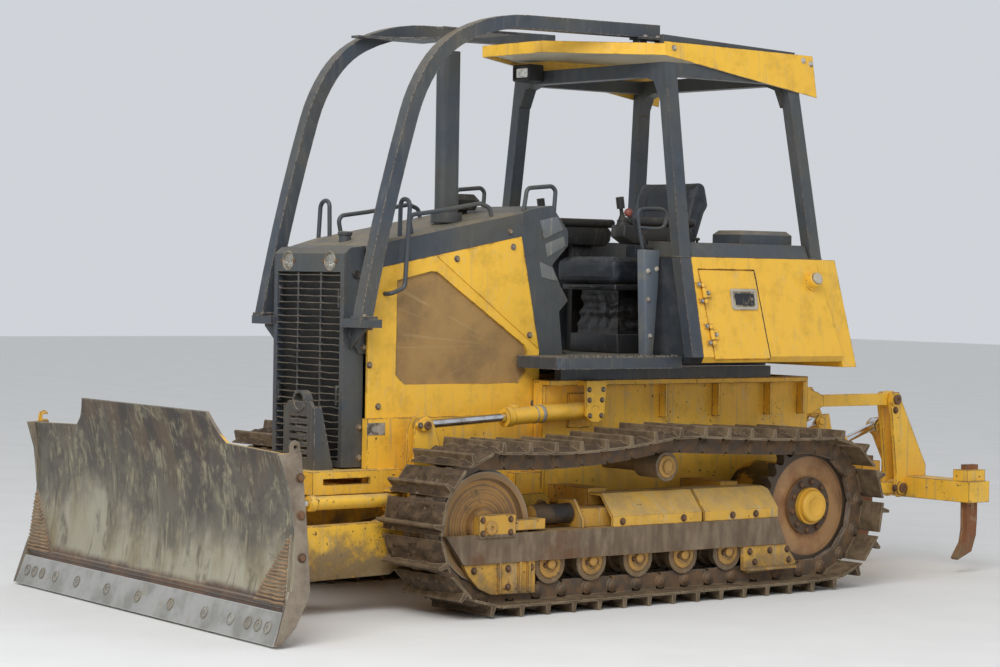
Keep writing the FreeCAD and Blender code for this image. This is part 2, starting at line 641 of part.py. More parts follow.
def grille_frame():
    back = GRILLE_FRONT + GRILLE_DEPTH
    outline = [(GRILLE_FRONT, GRILLE_LOW), (GRILLE_FRONT, GRILLE_TOP - 20), (GRILLE_FRONT + 40, GRILLE_TOP + 10),
               (back, GRILLE_TOP + 18), (back, GRILLE_LOW)]
    body = yz(outline, -GRILLE_HALF, GRILLE_HALF)
    opening = box(-GRILLE_HALF + GRILLE_EDGE, GRILLE_HALF - GRILLE_EDGE, GRILLE_FRONT - 5, GRILLE_FRONT + 22,
                  SLAT_LOW, SLAT_TOP)
    inside = box(-GRILLE_HALF + GRILLE_EDGE, GRILLE_HALF - GRILLE_EDGE, GRILLE_FRONT + 22, back + 5,
                 SLAT_LOW - 15, SLAT_TOP + 5)
    lamps = both(rod((178, GRILLE_FRONT - 5, 1652), (178, GRILLE_FRONT + 60, 1652), 44.0))
    # Sweep brackets on the sides
    pads = both(box(GRILLE_HALF, SWEEP_X + SWEEP_W + 10, SWEEP_FOOT[0] - 12, back - 12, SWEEP_PAD_Z - 40, SWEEP_PAD_Z))
    return join([body.cut(Part.makeCompound([opening, inside] + lamps))] + pads)


def grille_bars():
    x = GRILLE_HALF - GRILLE_EDGE - SEAT
    step = (SLAT_TOP - SLAT_LOW) / SLATS
    bars = []
    for k in range(SLATS):
        z = SLAT_LOW + step * (k + 0.5)
        bars.append(box(-x, x, GRILLE_FRONT + 1, GRILLE_FRONT + 17, z - SLAT_T / 2, z + SLAT_T / 2))
    posts = [box(px - 5, px + 5, GRILLE_FRONT + 5, GRILLE_FRONT + 21, SLAT_LOW + SEAT, SLAT_TOP - SEAT) for px in (-96, 96)]
    return join(bars + posts)


def lamps():
    out = []
    for shape in both(rod((178, GRILLE_FRONT + 2, 1652), (178, GRILLE_FRONT + 58, 1652), 43.5)):
        out.append(shape)
    return out


def hood_block():
    front = GRILLE_FRONT + GRILLE_DEPTH + SEAT
    profile = [(front, 1602), (front, 1727), (-1263, 1765), (-507, 1910), (HOOD_REAR, 1905), (HOOD_REAR, 1792),
               (-1303, 1629)]
    return yz(profile, -PANEL_HALF, PANEL_HALF)


def hood():
    front = GRILLE_FRONT + GRILLE_DEPTH
    hollow = yz([(front - 5, 1500), (front - 5, 1712), (-1263, 1750), (-507, 1895), (HOOD_REAR + 5, 1890),
                 (HOOD_REAR + 5, 1500)], -PANEL_HALF + 14, PANEL_HALF - 14)
    body = hood_block().cut(hollow)
    # Bevelled shoulders along both top edges
    edges = [e for e in body.Edges if abs(abs(e.BoundBox.XMin) - PANEL_HALF) < 0.1 and e.BoundBox.XLength < 0.1
             and e.BoundBox.YLength > 500 and e.BoundBox.ZMax > 1850]
    return body.makeChamfer(12.0, edges)


def side_panel(x_out):
    outline = [(-1397 + SEAT, BAY_TOP + SEAT), (-1397 + SEAT, 1601), (-1303, 1628.5), (HOOD_REAR, 1791.5), (-338, 1222),
               (-334, BAY_TOP + SEAT)]
    window = [(-1224, 1564), (-1020, 1612), (-985, 1608), (-432, 1250), (-416, 1215), (-420, 1120), (-465, 1062),
              (-1175, 1062), (-1228, 1108)]
    plate = yz(outline, x_out - PANEL_T, x_out)
    return plate.cut(yz(window, x_out - PANEL_T - 5, x_out + 5))


def screens():
    window = [(-1240, 1580), (-1022, 1628), (-975, 1622), (-418, 1260), (-400, 1218), (-404, 1112), (-458, 1046),
              (-1182, 1046), (-1244, 1100)]
    x = PANEL_HALF - PANEL_T - SEAT
    return both(yz(window, x - 5, x))


def cowl():
    """Instrument cowl, solid, with its stepped rear edge."""
    outline = [(HOOD_REAR + SEAT, 1907), (-420, 1925), (-270, 1950), (-162, 1826), (-160, 1753), (-262, 1652),
               (-204, 1546), (-155, 1474), (-212, 1419), (-185, FLOOR_TOP + SEAT), (-330, FLOOR_TOP + SEAT),
               (-337, 1226), (HOOD_REAR + SEAT, 1793)]
    return yz(outline, -PANEL_HALF, PANEL_HALF)


def precleaner():
    x, y = -100.0, -458.0
    z = 1905.0
    neck = rod((x, y - 80, z - 22), (x, y - 80, z + 20), 50.0)
    bowl = Part.makeCone(92.0, 112.0, 50.0, V(x, y - 80, z + 20))
    lid = Part.makeCone(112.0, 84.0, 30.0, V(x, y - 80, z + 70))
    return join([neck, bowl, lid]).cut(hood_block())


def stack():
    x, y = 150.0, -800.0
    z0 = 1858.0
    pipe = join([rod((x, y - 26, z0 - 30), (x, y - 26, 2700), 38.0), rod((x, y + 26, z0 - 30), (x, y + 26, 2700), 38.0),
                 box(x - 38, x + 38, y - 26, y + 26, z0 - 30, 2700)])
    foot = join([rod((x, y, z0 - 6), (x, y, z0 + 45), 78.0)])
    return join([pipe, foot]).cut(hood_block())


def rails():
    """Grab rails on the hood and cowl."""
    out = []
    r = 11.0
    # Up the side panels, beside the sweeps
    for s in (1, -1):
        x = s * (PANEL_HALF + SEAT)
        far = s * (PANEL_HALF + 46)
        out.append(bent_tube([(x, -1300, 1500), (far, -1300, 1500), (far, -1215, 1530), (far, -1190, 1950),
                              (s * (PANEL_HALF - 30), -1190, 1960), (s * (PANEL_HALF - 36), -1190, 1760)], r, 40))
    # Along both sides of the hood
    for s in (1, -1):
        x = s * (PANEL_HALF - 34)
        out.append(bent_tube([(x, -1120, 1790), (x, -1140, 1880), (x, -960, 1905), (x, -700, 1950), (x, -640, 1930),
                              (x, -630, 1890)], r, 35))
    # Across the cowl
    for s in (1, -1):
        x = s * (PANEL_HALF - 40)
        out.append(bent_tube([(x, -420, 1922), (x, -400, 2035), (x, -240, 2050), (x, -215, 2030), (x, -225, 1902)], r, 30))
    block = hood_block().fuse(cowl())
    return [tube.cut(block) for tube in out]


# Operator station

def platform():
    outline = [(-640, -480), (640, -480), (660, -440), (660, BOX_FRONT - 2), (BOX_IN - 5, BOX_FRONT - 2),
               (BOX_IN - 5, 1180), (-BOX_IN + 5, 1180), (-BOX_IN + 5, BOX_FRONT - 2), (-660, BOX_FRONT - 2), (-660, -440)]
    floor = xy(outline, FLOOR_TOP - FLOOR_T, FLOOR_TOP)
    # Hood and panels stand ahead of the floor
    floor = floor.cut(box(-PANEL_HALF - 2, PANEL_HALF + 2, -500, -334, FLOOR_TOP - FLOOR_T - 5, FLOOR_TOP + 5))
    legs = both(box(FLANGE_HALF - 60, FLANGE_HALF - 10, -300, 1150, FLANGE_Z, FLOOR_TOP - FLOOR_T))
    return join([floor] + legs)


def seat_base():
    skirt = box(-190, 190, 300, 640, FLOOR_TOP, 1300)
    folds = [Part.makeBox(330 - 20 * (k % 2), 300 - 20 * (k % 2), 38, V(-165 + 10 * (k % 2), 325 + 10 * (k % 2), 1300 + 38 * k))
             for k in range(6)]
    top = box(-215, 215, 260, 690, 1528, 1560)
    return join([skirt, top] + folds)


def seat_cushion():
    body = box(-250, 250, 215, SEAT_JOINT_Y, 1560 + SEAT, 1700)
    return body.makeFillet(45.0, [e for e in body.Edges if e.BoundBox.ZLength < 1 and e.BoundBox.ZMin > 1690])


def seat_back():
    front = SEAT_JOINT_Y + SEAT
    outline = [(front, 1600), (760, 1600), (905, 1990), (880, 2115), (820, 2130), (775, 2040), (front + 8, 1760)]
    body = yz(outline, -245, 245)
    return body.makeFillet(30.0, [e for e in body.Edges if abs(abs(e.BoundBox.XMin) - 245) < 0.1 and e.BoundBox.XLength < 0.1])


def consoles():
    """Arm pods with pads either side of the seat, and the lever stand at the left doorway."""
    out = []
    for s in (1, -1):
        pod = yz([(150, 1740), (170, 1866), (620, 1866), (660, 1830), (640, 1700), (560, 1640), (300, 1640)],
                 s * 262, s * 380)
        stand = box(s * 285, s * 360, 320, 620, FLOOR_TOP + SEAT, 1640)
        pad = box(s * 255, s * 385, 270, 660, 1866, 1905)
        out.append(join([pod, stand, pad]))
    out.append(yz(LEVER_STAND, 470, 530))
    return out


def controls():
    """Joysticks, the parking lever with its knob, and the pedals."""
    out = []
    for s in (1, -1):
        x = s * 320
        out.append(join([rod((x, 212, 1866 + SEAT), (x, 212, 1892), 30.0), rod((x, 212, 1890), (x, 196, 1962), 10.0),
                         rod((x, 198, 1950), (x, 188, 2008), 21.0)]))
    knob = Part.makeSphere(22.0, V(470, 118, 1925))
    out.append(join([box(482, 518, 190, 250, 1740 + SEAT, 1752), rod((500, 222, 1745), (470, 118, 1925), 8.0), knob]))
    for x in (-120, 120):
        out.append(yz([(-150, 1215), (-30, FLOOR_TOP + SEAT), (-18, FLOOR_TOP + SEAT), (-140, 1240)], x - 45, x + 45))
    return out


def post_rear_y(z):
    """Rear face of the front post, which the side box butts against."""
    return FRONT_POST_Y + POST_Y + max(0.0, LEAN_TOP_Z - z) * POST_SLANT


def door_y(z):
    """The door's front edge, and its hinge line, at height z."""
    return DOOR_FRONT + (DOOR_TOP - z) * DOOR_SLANT


def door_outline(grow):
    """Door corners as (y, z), grown outwards for the opening round it."""
    low, top = DOOR_LOW - grow, DOOR_TOP + grow
    return [(door_y(low) - grow, low), (door_y(top) - grow, top), (door_y(top) + DOOR_W + grow, top),
            (door_y(low) + DOOR_W + grow, low)]


def box_rear_y(z):
    """Rear edge of the side boxes, which the tank stands behind."""
    return BOX_REAR + (LEAN_TOP_Z - z) * BOX_REAR_SLANT


def tank_rear_y(z):
    return TANK_REAR + (LEAN_TOP_Z - z) * TANK_REAR_SLANT


def side_box(side):
    """Fender box beside the seat, with its leaning outer face and, on the left, the door's opening."""
    x1, x0 = lean_x(BOX_LOW), lean_x(LEAN_TOP_Z)
    section = [(BOX_IN, BOX_LOW), (x1 - 26, BOX_LOW), (lean_x(BOX_LOW + 30), BOX_LOW + 30), (x0, LEAN_TOP_Z),
               (BOX_IN, LEAN_TOP_Z)]
    low, top = BOX_LOW - 5, LEAN_TOP_Z + 5
    profile = yz([(post_rear_y(low) + SEAT, low), (box_rear_y(low), low), (box_rear_y(top), top),
                  (post_rear_y(top) + SEAT, top), (post_rear_y(LEAN_TOP_Z) + SEAT, LEAN_TOP_Z)], BOX_IN - 5, x1 + 5)
    body = xz(section, BOX_FRONT - 60, box_rear_y(low)).common(profile)
    if side > 0:
        body = body.cut(lean_plate(door_outline(SIDE_GAP), -5, 5 + DOOR_T + SEAT))
        body = body.cut(lean_plate(door_outline(-24), DOOR_T - 5, 260))
        return body
    return mirror(body)


def hinge_point(z):
    return (lean_x(z) + HINGE_OUT, door_y(z), z)


def hinge_leaf(z0, z1, y0, y1, inner):
    """A small plate on the leaning face beside the hinge line, following its slant."""
    x = lean_x(z0)
    y = door_y(z0)
    foot = [(x - inner, y + y0, z0), (x + HINGE_OUT - 2, y + y0, z0), (x + HINGE_OUT - 2, y + y1, z0), (x - inner, y + y1, z0)]
    return face(foot).extrude(V(-(z1 - z0) * LEAN, -(z1 - z0) * DOOR_SLANT, z1 - z0))


def side_door():
    """Service door with its two hinge knuckles."""
    pieces = [lean_plate(door_outline(0), 0, DOOR_T)]
    for foot, start in HINGES:
        pieces.append(rod(hinge_point(start), hinge_point(start + KNUCKLE), HINGE_R))
        pieces.append(hinge_leaf(start, start + KNUCKLE, 2, 44, 3))
    body = join(pieces)
    for foot, start in HINGES:
        body = body.cut(rod(hinge_point(start - 5), hinge_point(start + KNUCKLE + 5), HINGE_PIN))
    return body


def door_hinges():
    """Fixed knuckles and pins at the door's front edge."""
    out = []
    for foot, start in HINGES:
        top = start + KNUCKLE_END
        pieces = [rod(hinge_point(foot), hinge_point(top), HINGE_PIN - PIN_FIT)]
        for z0, z1 in ((foot, start - KNUCKLE_GAP), (start + KNUCKLE + KNUCKLE_GAP, top)):
            pieces.append(rod(hinge_point(z0), hinge_point(z1), HINGE_R))
            pieces.append(hinge_leaf(z0, z1, -40, -SIDE_GAP - 4, -SEAT))
            pieces.append(hinge_leaf(z0, z1, -SIDE_GAP - 6, 0, -4))
        out.append(join(pieces))
    return out


def deck_covers():
    """Dark covers on top of the side boxes, with a lidded tray on the left one."""
    out = []
    x0 = LEAN_TOP_X - 6
    section = [(BOX_IN, LEAN_TOP_Z + SEAT), (x0, LEAN_TOP_Z + SEAT), (x0 - 30, LEAN_TOP_Z + 72), (BOX_IN, LEAN_TOP_Z + 80)]
    cover = xz(section, FRONT_POST_Y + POST_Y + 12, REAR_POST_Y + 40)
    tray = box(430, 640, 740, 1110, LEAN_TOP_Z + 60, LEAN_TOP_Z + 145)
    tray = tray.makeChamfer(22.0, [e for e in tray.Edges if e.BoundBox.ZLength < 1 and e.BoundBox.ZMin > LEAN_TOP_Z + 130])
    out.append(join([cover, tray]))
    out.append(mirror(cover))
    return out


def rear_tank():
    """Fuel tank between the side boxes, with a slanted rear panel as wide as both of them."""
    low, top = BOX_LOW - 30, LEAN_TOP_Z
    wide, narrow = lean_x(BOX_LOW) - 20, lean_x(top)
    section = xz([(-wide, low), (wide, low), (narrow, top), (-narrow, top)], BOX_REAR, tank_rear_y(low))
    profile = yz([(box_rear_y(low) + SEAT, low), (tank_rear_y(low), low), (tank_rear_y(top), top),
                  (box_rear_y(top) + SEAT, top)], -wide, wide)
    inner = BOX_IN - TANK_GAP
    body = box(-inner, inner, TANK_FRONT, TANK_REAR - 20, FLOOR_TOP + SEAT, top)
    cap_y = (BOX_REAR + TANK_REAR) / 2
    cap = rod((640, cap_y, top - 10), (640, cap_y, top + 26), 26.0)
    return join([section.common(profile), body, cap])


def post(stations):
    """A leaning canopy post through (front face y, z) stations, from the foot up."""
    pieces = []
    for (y0, z0), (y1, z1) in zip(stations, stations[1:]):
        x0, x1 = lean_x(z0), lean_x(z1)
        foot = face([(x0, y0, z0), (x0 - POST_X, y0, z0), (x0 - POST_X, y0 + POST_Y, z0), (x0, y0 + POST_Y, z0)])
        pieces.append(foot.extrude(V(x1 - x0, y1 - y0, z1 - z0)))
    return join(pieces)


def rops():
    """Four posts, a head frame with curved corners, and the feet."""
    pieces = []
    foot = FLOOR_TOP + SEAT
    front = post([(FRONT_POST_Y + (LEAN_TOP_Z - foot) * POST_SLANT, foot), (FRONT_POST_Y, LEAN_TOP_Z), (FRONT_POST_Y, POST_TOP)])
    rear = post([(REAR_POST_Y + 55, LEAN_TOP_Z + SEAT), (REAR_POST_Y - 20, POST_TOP)])
    pieces += both(front) + both(rear)
    x = lean_x(POST_TOP)
    for y in (FRONT_POST_Y, REAR_POST_Y - 20):
        beam = box(-x, x, y, y + POST_Y, POST_TOP - 70, POST_TOP)
        pieces.append(beam)
        corner = xz([(x - 40, POST_TOP - 60), (x - 40, POST_TOP - 190), (x - 85, POST_TOP - 95), (x - 190, POST_TOP - 60)],
                    y, y + POST_Y)
        pieces += both(corner)
    pieces += both(box(x - POST_X, x, FRONT_POST_Y, REAR_POST_Y + 30, POST_TOP - 70, POST_TOP))
    return join(pieces)


def roof_rails():
    """Dark rails along the roof's sides, deeper at the front."""
    low = ROOF_TOP + SEAT
    return both(yz([(FRONT_POST_Y, low), (FRONT_POST_Y, low + RAIL_DEEP), (REAR_POST_Y + 60, low + RAIL_LOW),
                    (REAR_POST_Y + 60, low)], ROOF_HALF - 46, ROOF_HALF - 20))


def roof():
    plate = xy([(-ROOF_NOSE_HALF, ROOF_FRONT), (ROOF_NOSE_HALF, ROOF_FRONT), (ROOF_HALF - 12, FRONT_POST_Y),
                (ROOF_HALF - 12, ROOF_REAR), (-ROOF_HALF + 12, ROOF_REAR), (-ROOF_HALF + 12, FRONT_POST_Y)],
               ROOF_TOP - ROOF_T, ROOF_TOP)
    nose = xy([(-ROOF_NOSE_HALF, ROOF_FRONT), (ROOF_NOSE_HALF, ROOF_FRONT), (ROOF_HALF, FRONT_POST_Y),
               (ROOF_HALF, FRONT_POST_Y + 5), (-ROOF_HALF, FRONT_POST_Y + 5), (-ROOF_HALF, FRONT_POST_Y)],
              ROOF_TOP - 60, ROOF_TOP)
    hollow = xy([(-ROOF_NOSE_HALF + 6, ROOF_FRONT + 12), (ROOF_NOSE_HALF - 6, ROOF_FRONT + 12),
                 (ROOF_HALF - 22, FRONT_POST_Y), (ROOF_HALF - 22, FRONT_POST_Y + 10), (-ROOF_HALF + 22, FRONT_POST_Y + 10),
                 (-ROOF_HALF + 22, FRONT_POST_Y)], ROOF_TOP - 65, ROOF_TOP - ROOF_T)
    skirts = both(lean_plate([(FRONT_POST_Y, ROOF_TOP + 10), (ROOF_REAR, ROOF_TOP), (ROOF_REAR + 8, ROOF_TOP - SKIRT_REAR),
                              (FRONT_POST_Y, ROOF_TOP - SKIRT_FRONT)], -10, 9))
    return join([plate.cut(box(-700, 700, FRONT_POST_Y, ROOF_REAR + 5, ROOF_TOP - ROOF_T - 5, ROOF_TOP - 14)),
                 nose.cut(hollow)] + skirts)


def sweep_outline(shift):
    """One edge of a sweep as (y, z) points: its front edge, moved inwards by shift."""
    y, z = SWEEP_FOOT
    points = []
    for length, lean0, lean1, steps in SWEEP_LEGS:
        for k in range(steps):
            a = math.radians(lean0 + (lean1 - lean0) * k / steps)
            points.append((y + shift * math.cos(a), z - shift * math.sin(a)))
            a = math.radians(lean0 + (lean1 - lean0) * (k + 0.5) / steps)
            y += length / steps * math.sin(a)
            z += length / steps * math.cos(a)
    a = math.radians(SWEEP_LEGS[-1][2])
    points.append((y + shift * math.cos(a), z - shift * math.sin(a)))
    return points


def sweeps():
    outer = sweep_outline(0.0)
    inner = sweep_outline(SWEEP_D)
    tube = yz(outer + inner[::-1], SWEEP_X, SWEEP_X + SWEEP_W)
    end_z = inner[-1][1]
    plate = box(SWEEP_X - 6, SWEEP_X + SWEEP_W + 26, 183, 410, end_z - 12, end_z)
    feet = [box(SWEEP_X + 8, SWEEP_X + SWEEP_W - 8, y, y + 50, ROOF_TOP + SEAT, end_z - 12) for y in (195, 345)]
    shoe = box(SWEEP_X - 8, SWEEP_X + SWEEP_W + 8, SWEEP_FOOT[0] - 8, SWEEP_FOOT[0] + 90, SWEEP_PAD_Z + SEAT, SWEEP_PAD_Z + 14)
    pieces = both(join([tube, plate, shoe] + feet))
    # Cross plate behind the top bend, with its front edge cut to a curve
    z = end_z - 4
    ring_cut = rod((0, -985, z - 90), (0, -985, z + 40), 330.0)
    cross = xy([(-SWEEP_X - 2, -1010), (-SWEEP_X - 2, -560), (SWEEP_X + 2, -560), (SWEEP_X + 2, -1010)], z - 34, z - 22)
    cross = cross.cut(ring_cut).cut(rod((0, -450, z - 90), (0, -450, z + 40), 170.0))
    return join(pieces + [cross])


# C-frame, yoke and blade

def c_frame():
    y0 = ARM_PIVOT_Y
    arm = yz([(y0 + 62, ARM_PIVOT_Z + 40), (y0 + 20, ARM_PIVOT_Z + 72), (-1230, 500), (-1440, 425), (CROSS_FRONT, CROSS_TOP),
              (CROSS_FRONT, CROSS_LOW), (-1380, CROSS_LOW + 10), (-1150, 290), (y0 - 20, ARM_PIVOT_Z - 72),
              (y0 + 50, ARM_PIVOT_Z - 50)], ARM_IN, ARM_OUT)
    bore = rod((ARM_IN - 5, y0, ARM_PIVOT_Z), (ARM_OUT + 5, y0, ARM_PIVOT_Z), ARM_BORE)
    # Tall lug for the lift cylinder's rod
    ey, ez = LIFT_EYE
    lug = [(ey - 70, 470), (ey - 60, ez - 20), (ey - 40, ez + 30), (ey, ez + 46), (ey + 40, ez + 30), (ey + 60, ez - 10),
           (ey + 190, 500)]
    lugs = []
    for x0, x1 in ((ARM_IN, LIFT_X - 24), (LIFT_X + 24, ARM_OUT)):
        lugs.append(yz(lug, x0, x1))
    lugs.append(rod((ARM_OUT, ey, ez), (ARM_OUT + 14, ey, ez), 25.0))
    lugs.append(rod((ARM_IN - 8, ey, ez), (ARM_IN, ey, ez), 25.0))
    # Ears for the angle cylinder's base
    ax, ay = ANGLE_BASE
    ears = []
    for z0 in (ANGLE_Z - ANGLE_R - SIDE_GAP - 16, ANGLE_Z + ANGLE_R + SIDE_GAP):
        ears.append(xy([(ax - 34, ay - 34), (ax + 33, ay - 34), (ax + 33, ay + 60), (ax - 34, ay + 60)], z0, z0 + 16))
    ear_top = ANGLE_Z + ANGLE_R + SIDE_GAP + 16
    ears.append(box(ax - 34, ax + 33, ay + 42, ay + 60, 420, ear_top))
    ear_pin = rod((ax, ay, ANGLE_Z - ANGLE_R - SIDE_GAP - 16), (ax, ay, ear_top + 8), 20 - PIN_FIT)
    side = join([arm.cut(bore)] + lugs + ears + [ear_pin])
    cross = box(-ARM_OUT, ARM_OUT, CROSS_FRONT, CROSS_BACK, CROSS_LOW, CROSS_TOP)
    horn = xy([(-150, CROSS_FRONT + 5), (-78, KING_Y - 30), (78, KING_Y - 30), (150, CROSS_FRONT + 5)], NOSE_EYE_LOW, NOSE_EYE_TOP)
    eye = rod((0, KING_Y, NOSE_EYE_LOW), (0, KING_Y, NOSE_EYE_TOP), 78.0)
    hole = rod((0, KING_Y, NOSE_EYE_LOW - 5), (0, KING_Y, NOSE_EYE_TOP + 5), KING_R)
    return join(both(side) + [cross, horn, eye]).cut(hole)


def at_blade_angle(shape):
    return turn(shape, BLADE_YAW, (0, KING_Y, 0), (0, 0, 1))


def yoke():
    """Fork round the C-frame's eye, the tilt trunnion and the arms for the angle rods."""
    plates = []
    for z0, z1 in ((NOSE_EYE_LOW - SIDE_GAP - 24, NOSE_EYE_LOW - SIDE_GAP), (NOSE_EYE_TOP + SIDE_GAP, NOSE_EYE_TOP + SIDE_GAP + 24)):
        plates.append(xy([(-70, KING_Y + 40), (70, KING_Y + 40), (85, KING_Y), (120, -2150), (-120, -2150), (-85, KING_Y)], z0, z1))
    pin = rod((0, KING_Y, NOSE_EYE_LOW - SIDE_GAP - 32), (0, KING_Y, NOSE_EYE_TOP + SIDE_GAP + 32), KING_R - PIN_FIT)
    post_y = -2178
    web = box(-120, 120, post_y, -2120, NOSE_EYE_LOW - 40, ANGLE_Z + 20)
    # Lateral arms at the height of the angle cylinders
    ex, ey = ANGLE_EYE
    arms = []
    for s in (1, -1):
        for z0 in (ANGLE_Z - 24 - 18, ANGLE_Z + 24):
            arms.append(xy([(s * 90, -2120), (s * (ex - 60), ey + 62), (s * (ex + 38), ey + 38), (s * (ex + 38), ey - 30),
                            (s * (ex - 40), ey - 30), (s * 90, post_y)], z0, z0 + 18))
        arms += [rod((s * ex, ey, z0), (s * ex, ey, z1), 22.0) for z0, z1 in ((ANGLE_Z + 42, ANGLE_Z + 56),
                                                                          (ANGLE_Z - 52, ANGLE_Z - 42))]
        arms.append(box(s * 110, s * (ex - 110), post_y + 8, post_y + 40, ANGLE_Z - 42, ANGLE_Z + 42))
    bx, bz = TILT_BASE
    mast = [xz([(60, ANGLE_Z + 30), (bx - 60, ANGLE_Z + 30), (bx - 32, bz - 34), (bx + 30, bz - 24), (bx + 34, bz + 20),
                (bx, bz + 36), (bx - 60, bz - 10), (120, ANGLE_Z + 70)], TILT_Y + 46, TILT_Y + 62)]
    mast_pin = rod((bx, TILT_Y - 40, bz), (bx, TILT_Y + 62, bz), 18 - PIN_FIT)
    trunnion = rod((0, -2125, TILT_Z), (0, BLADE_BACK + 40 - 60, TILT_Z), TILT_R - PIN_FIT)
    body = join(plates + [pin, web] + arms + mast + [mast_pin, trunnion])
    return at_blade_angle(body)


def blade_half(z):
    """Half the blade's width at height z."""
    t = (BLADE_TOP_Z - z) / (BLADE_TOP_Z - EDGE_LOW_Z)
    return BLADE_HALF_TOP + (BLADE_HALF_LOW - BLADE_HALF_TOP) * t


def mould_face(offset):
    """Front of the curved board as (y, z) points, moved back by offset."""
    a, b = V(0, *MOULD_TOP), V(0, *MOULD_LOW)
    circle = Part.Arc(a, V(0, *MOULD_MID), b).toShape().Curve
    c, r = circle.Center, circle.Radius
    points = []
    steps = 10
    a0 = math.atan2(a.z - c.z, a.y - c.y)
    a1 = math.atan2(b.z - c.z, b.y - c.y)
    if a1 - a0 > math.pi:
        a1 -= 2 * math.pi
    if a0 - a1 > math.pi:
        a1 += 2 * math.pi
    for k in range(steps + 1):
        t = a0 + (a1 - a0) * k / steps
        points.append((c.y + (r - offset) * math.cos(t), c.z + (r - offset) * math.sin(t)))
    return points


def blade_space():
    """All that lies ahead of the middle of the board's plate, where no stiffener may reach."""
    middle = mould_face(-BLADE_PLATE / 2)
    (y0, z0), (y1, z1) = middle[0], middle[-1]
    far = min(y0, y1) - 200
    return yz(middle + [(y1, z1 - 60), (far, z1 - 60), (far, z0 + 60), (y0, z0 + 60)],
              -BLADE_HALF_LOW - 50, BLADE_HALF_LOW + 50)


def end_plate():
    """The left end plate, in the blade's leaning side."""
    rear = BLADE_BACK
    points = [(-2416, BLADE_WING_Z), (-2372, 690), (-2347, 500), (-2356, 300), (-2381, 172), (-2300, 172), (rear + 8, 240),
              (rear, 500), (rear - 12, 700), (-2304, BLADE_WING_Z + 6)]
    return face([(blade_half(z), y, z) for y, z in points]).extrude(V(EAR_T, 0, 0))


def ear_blank():
    foot = BLADE_WING_Z - 30
    points = [(EAR_Y - 28, foot), (EAR_Y - 20, EAR_Z + 18), (EAR_Y + 2, EAR_Z + 30), (EAR_Y + 20, EAR_Z + 18), (EAR_Y + 26, foot)]
    return face([(blade_half(z), y, z) for y, z in points]).extrude(V(EAR_T, 0, 0))


def tilt_bore():
    return rod((0, BLADE_BACK - 40, TILT_Z), (0, BLADE_BACK + 40, TILT_Z), TILT_R)


def blade_body():
    """The curved board with its box sections, ribs, end plates and wear plates."""
    front = mould_face(0.0)
    back = mould_face(-BLADE_PLATE)
    reach = max(BLADE_HALF_LOW, BLADE_HALF_TOP)
    board = yz(front + back[::-1], -reach, reach)
    top = BLADE_TOP_Z
    z0 = BLADE_LOW_Z - 10
    outline = [(-blade_half(z0), z0), (blade_half(z0), z0), (blade_half(BLADE_WING_Z), BLADE_WING_Z), (770, 838),
               (715, 875), (672, 925), (640, top), (-640, top), (-672, 925), (-715, 875), (-770, 838),
               (-blade_half(BLADE_WING_Z), BLADE_WING_Z)]
    board = board.common(xz(outline, MOULD_TOP[0] - 50, BLADE_BACK + 50))
    rear = BLADE_BACK
    # Box sections along the back, and the centre's raised back plate
    top_box = yz([(-2408, 800), (-2388, 700), (rear + 15, 720), (rear + 15, 790)], -BLADE_HALF_TOP + 22, BLADE_HALF_TOP - 22)
    low_box = yz([(-2362, 330), (-2378, 186), (rear, 186), (rear, 290)], -blade_half(290) + 40, blade_half(290) - 40)
    gussets = [yz([(-2420, 930), (rear + 10, 770), (-2400, 770)], x, x + 16) for x in (-521, -8, 505)]
    ribs = []
    for x in (330, 640, 950):
        ribs += both(yz([(-2368, 720), (rear + 4, 720), (rear, 280), (-2366, 300), (-2356, 500)], x, x + 14))
    stiffeners = join([top_box, low_box] + gussets + ribs).cut(blade_space())
    bottom = box(-blade_half(z0) + 20, blade_half(z0) - 20, -2384, rear, BLADE_LOW_Z - 8, BLADE_LOW_Z + 14)
    wear = face([(blade_half(z) + EAR_T, y, z) for y, z in [(-2302, 240), (-2290, 200), (-2350, 90), (-2420, 20),
                                                            (-2452, 12), (-2380, 240)]]).extrude(V(-14, 0, 0))
    # Ribbed wear corners, each a wedge on the face
    corner = [face([(s * (blade_half(480) - 2), -2338, 480), (s * (blade_half(176) - 2), -2372, 176),
                    (s * 1040, -2372, 176)]).extrude(V(0, -18, 0)) for s in (1, -1)]
    # Plate that the cutting edge bolts to
    length = edge_frame()[3]
    behind = EDGE_T + SEAT
    backing = yz([edge_point(44, behind), edge_point(length + 40, behind), edge_point(length + 40, behind + 13),
                  edge_point(54, behind + 13)], -BIT_END + 30, BIT_END - 30)
    return join([board, stiffeners, bottom, backing] + both(end_plate()) + both(wear) + corner).cut(tilt_bore())


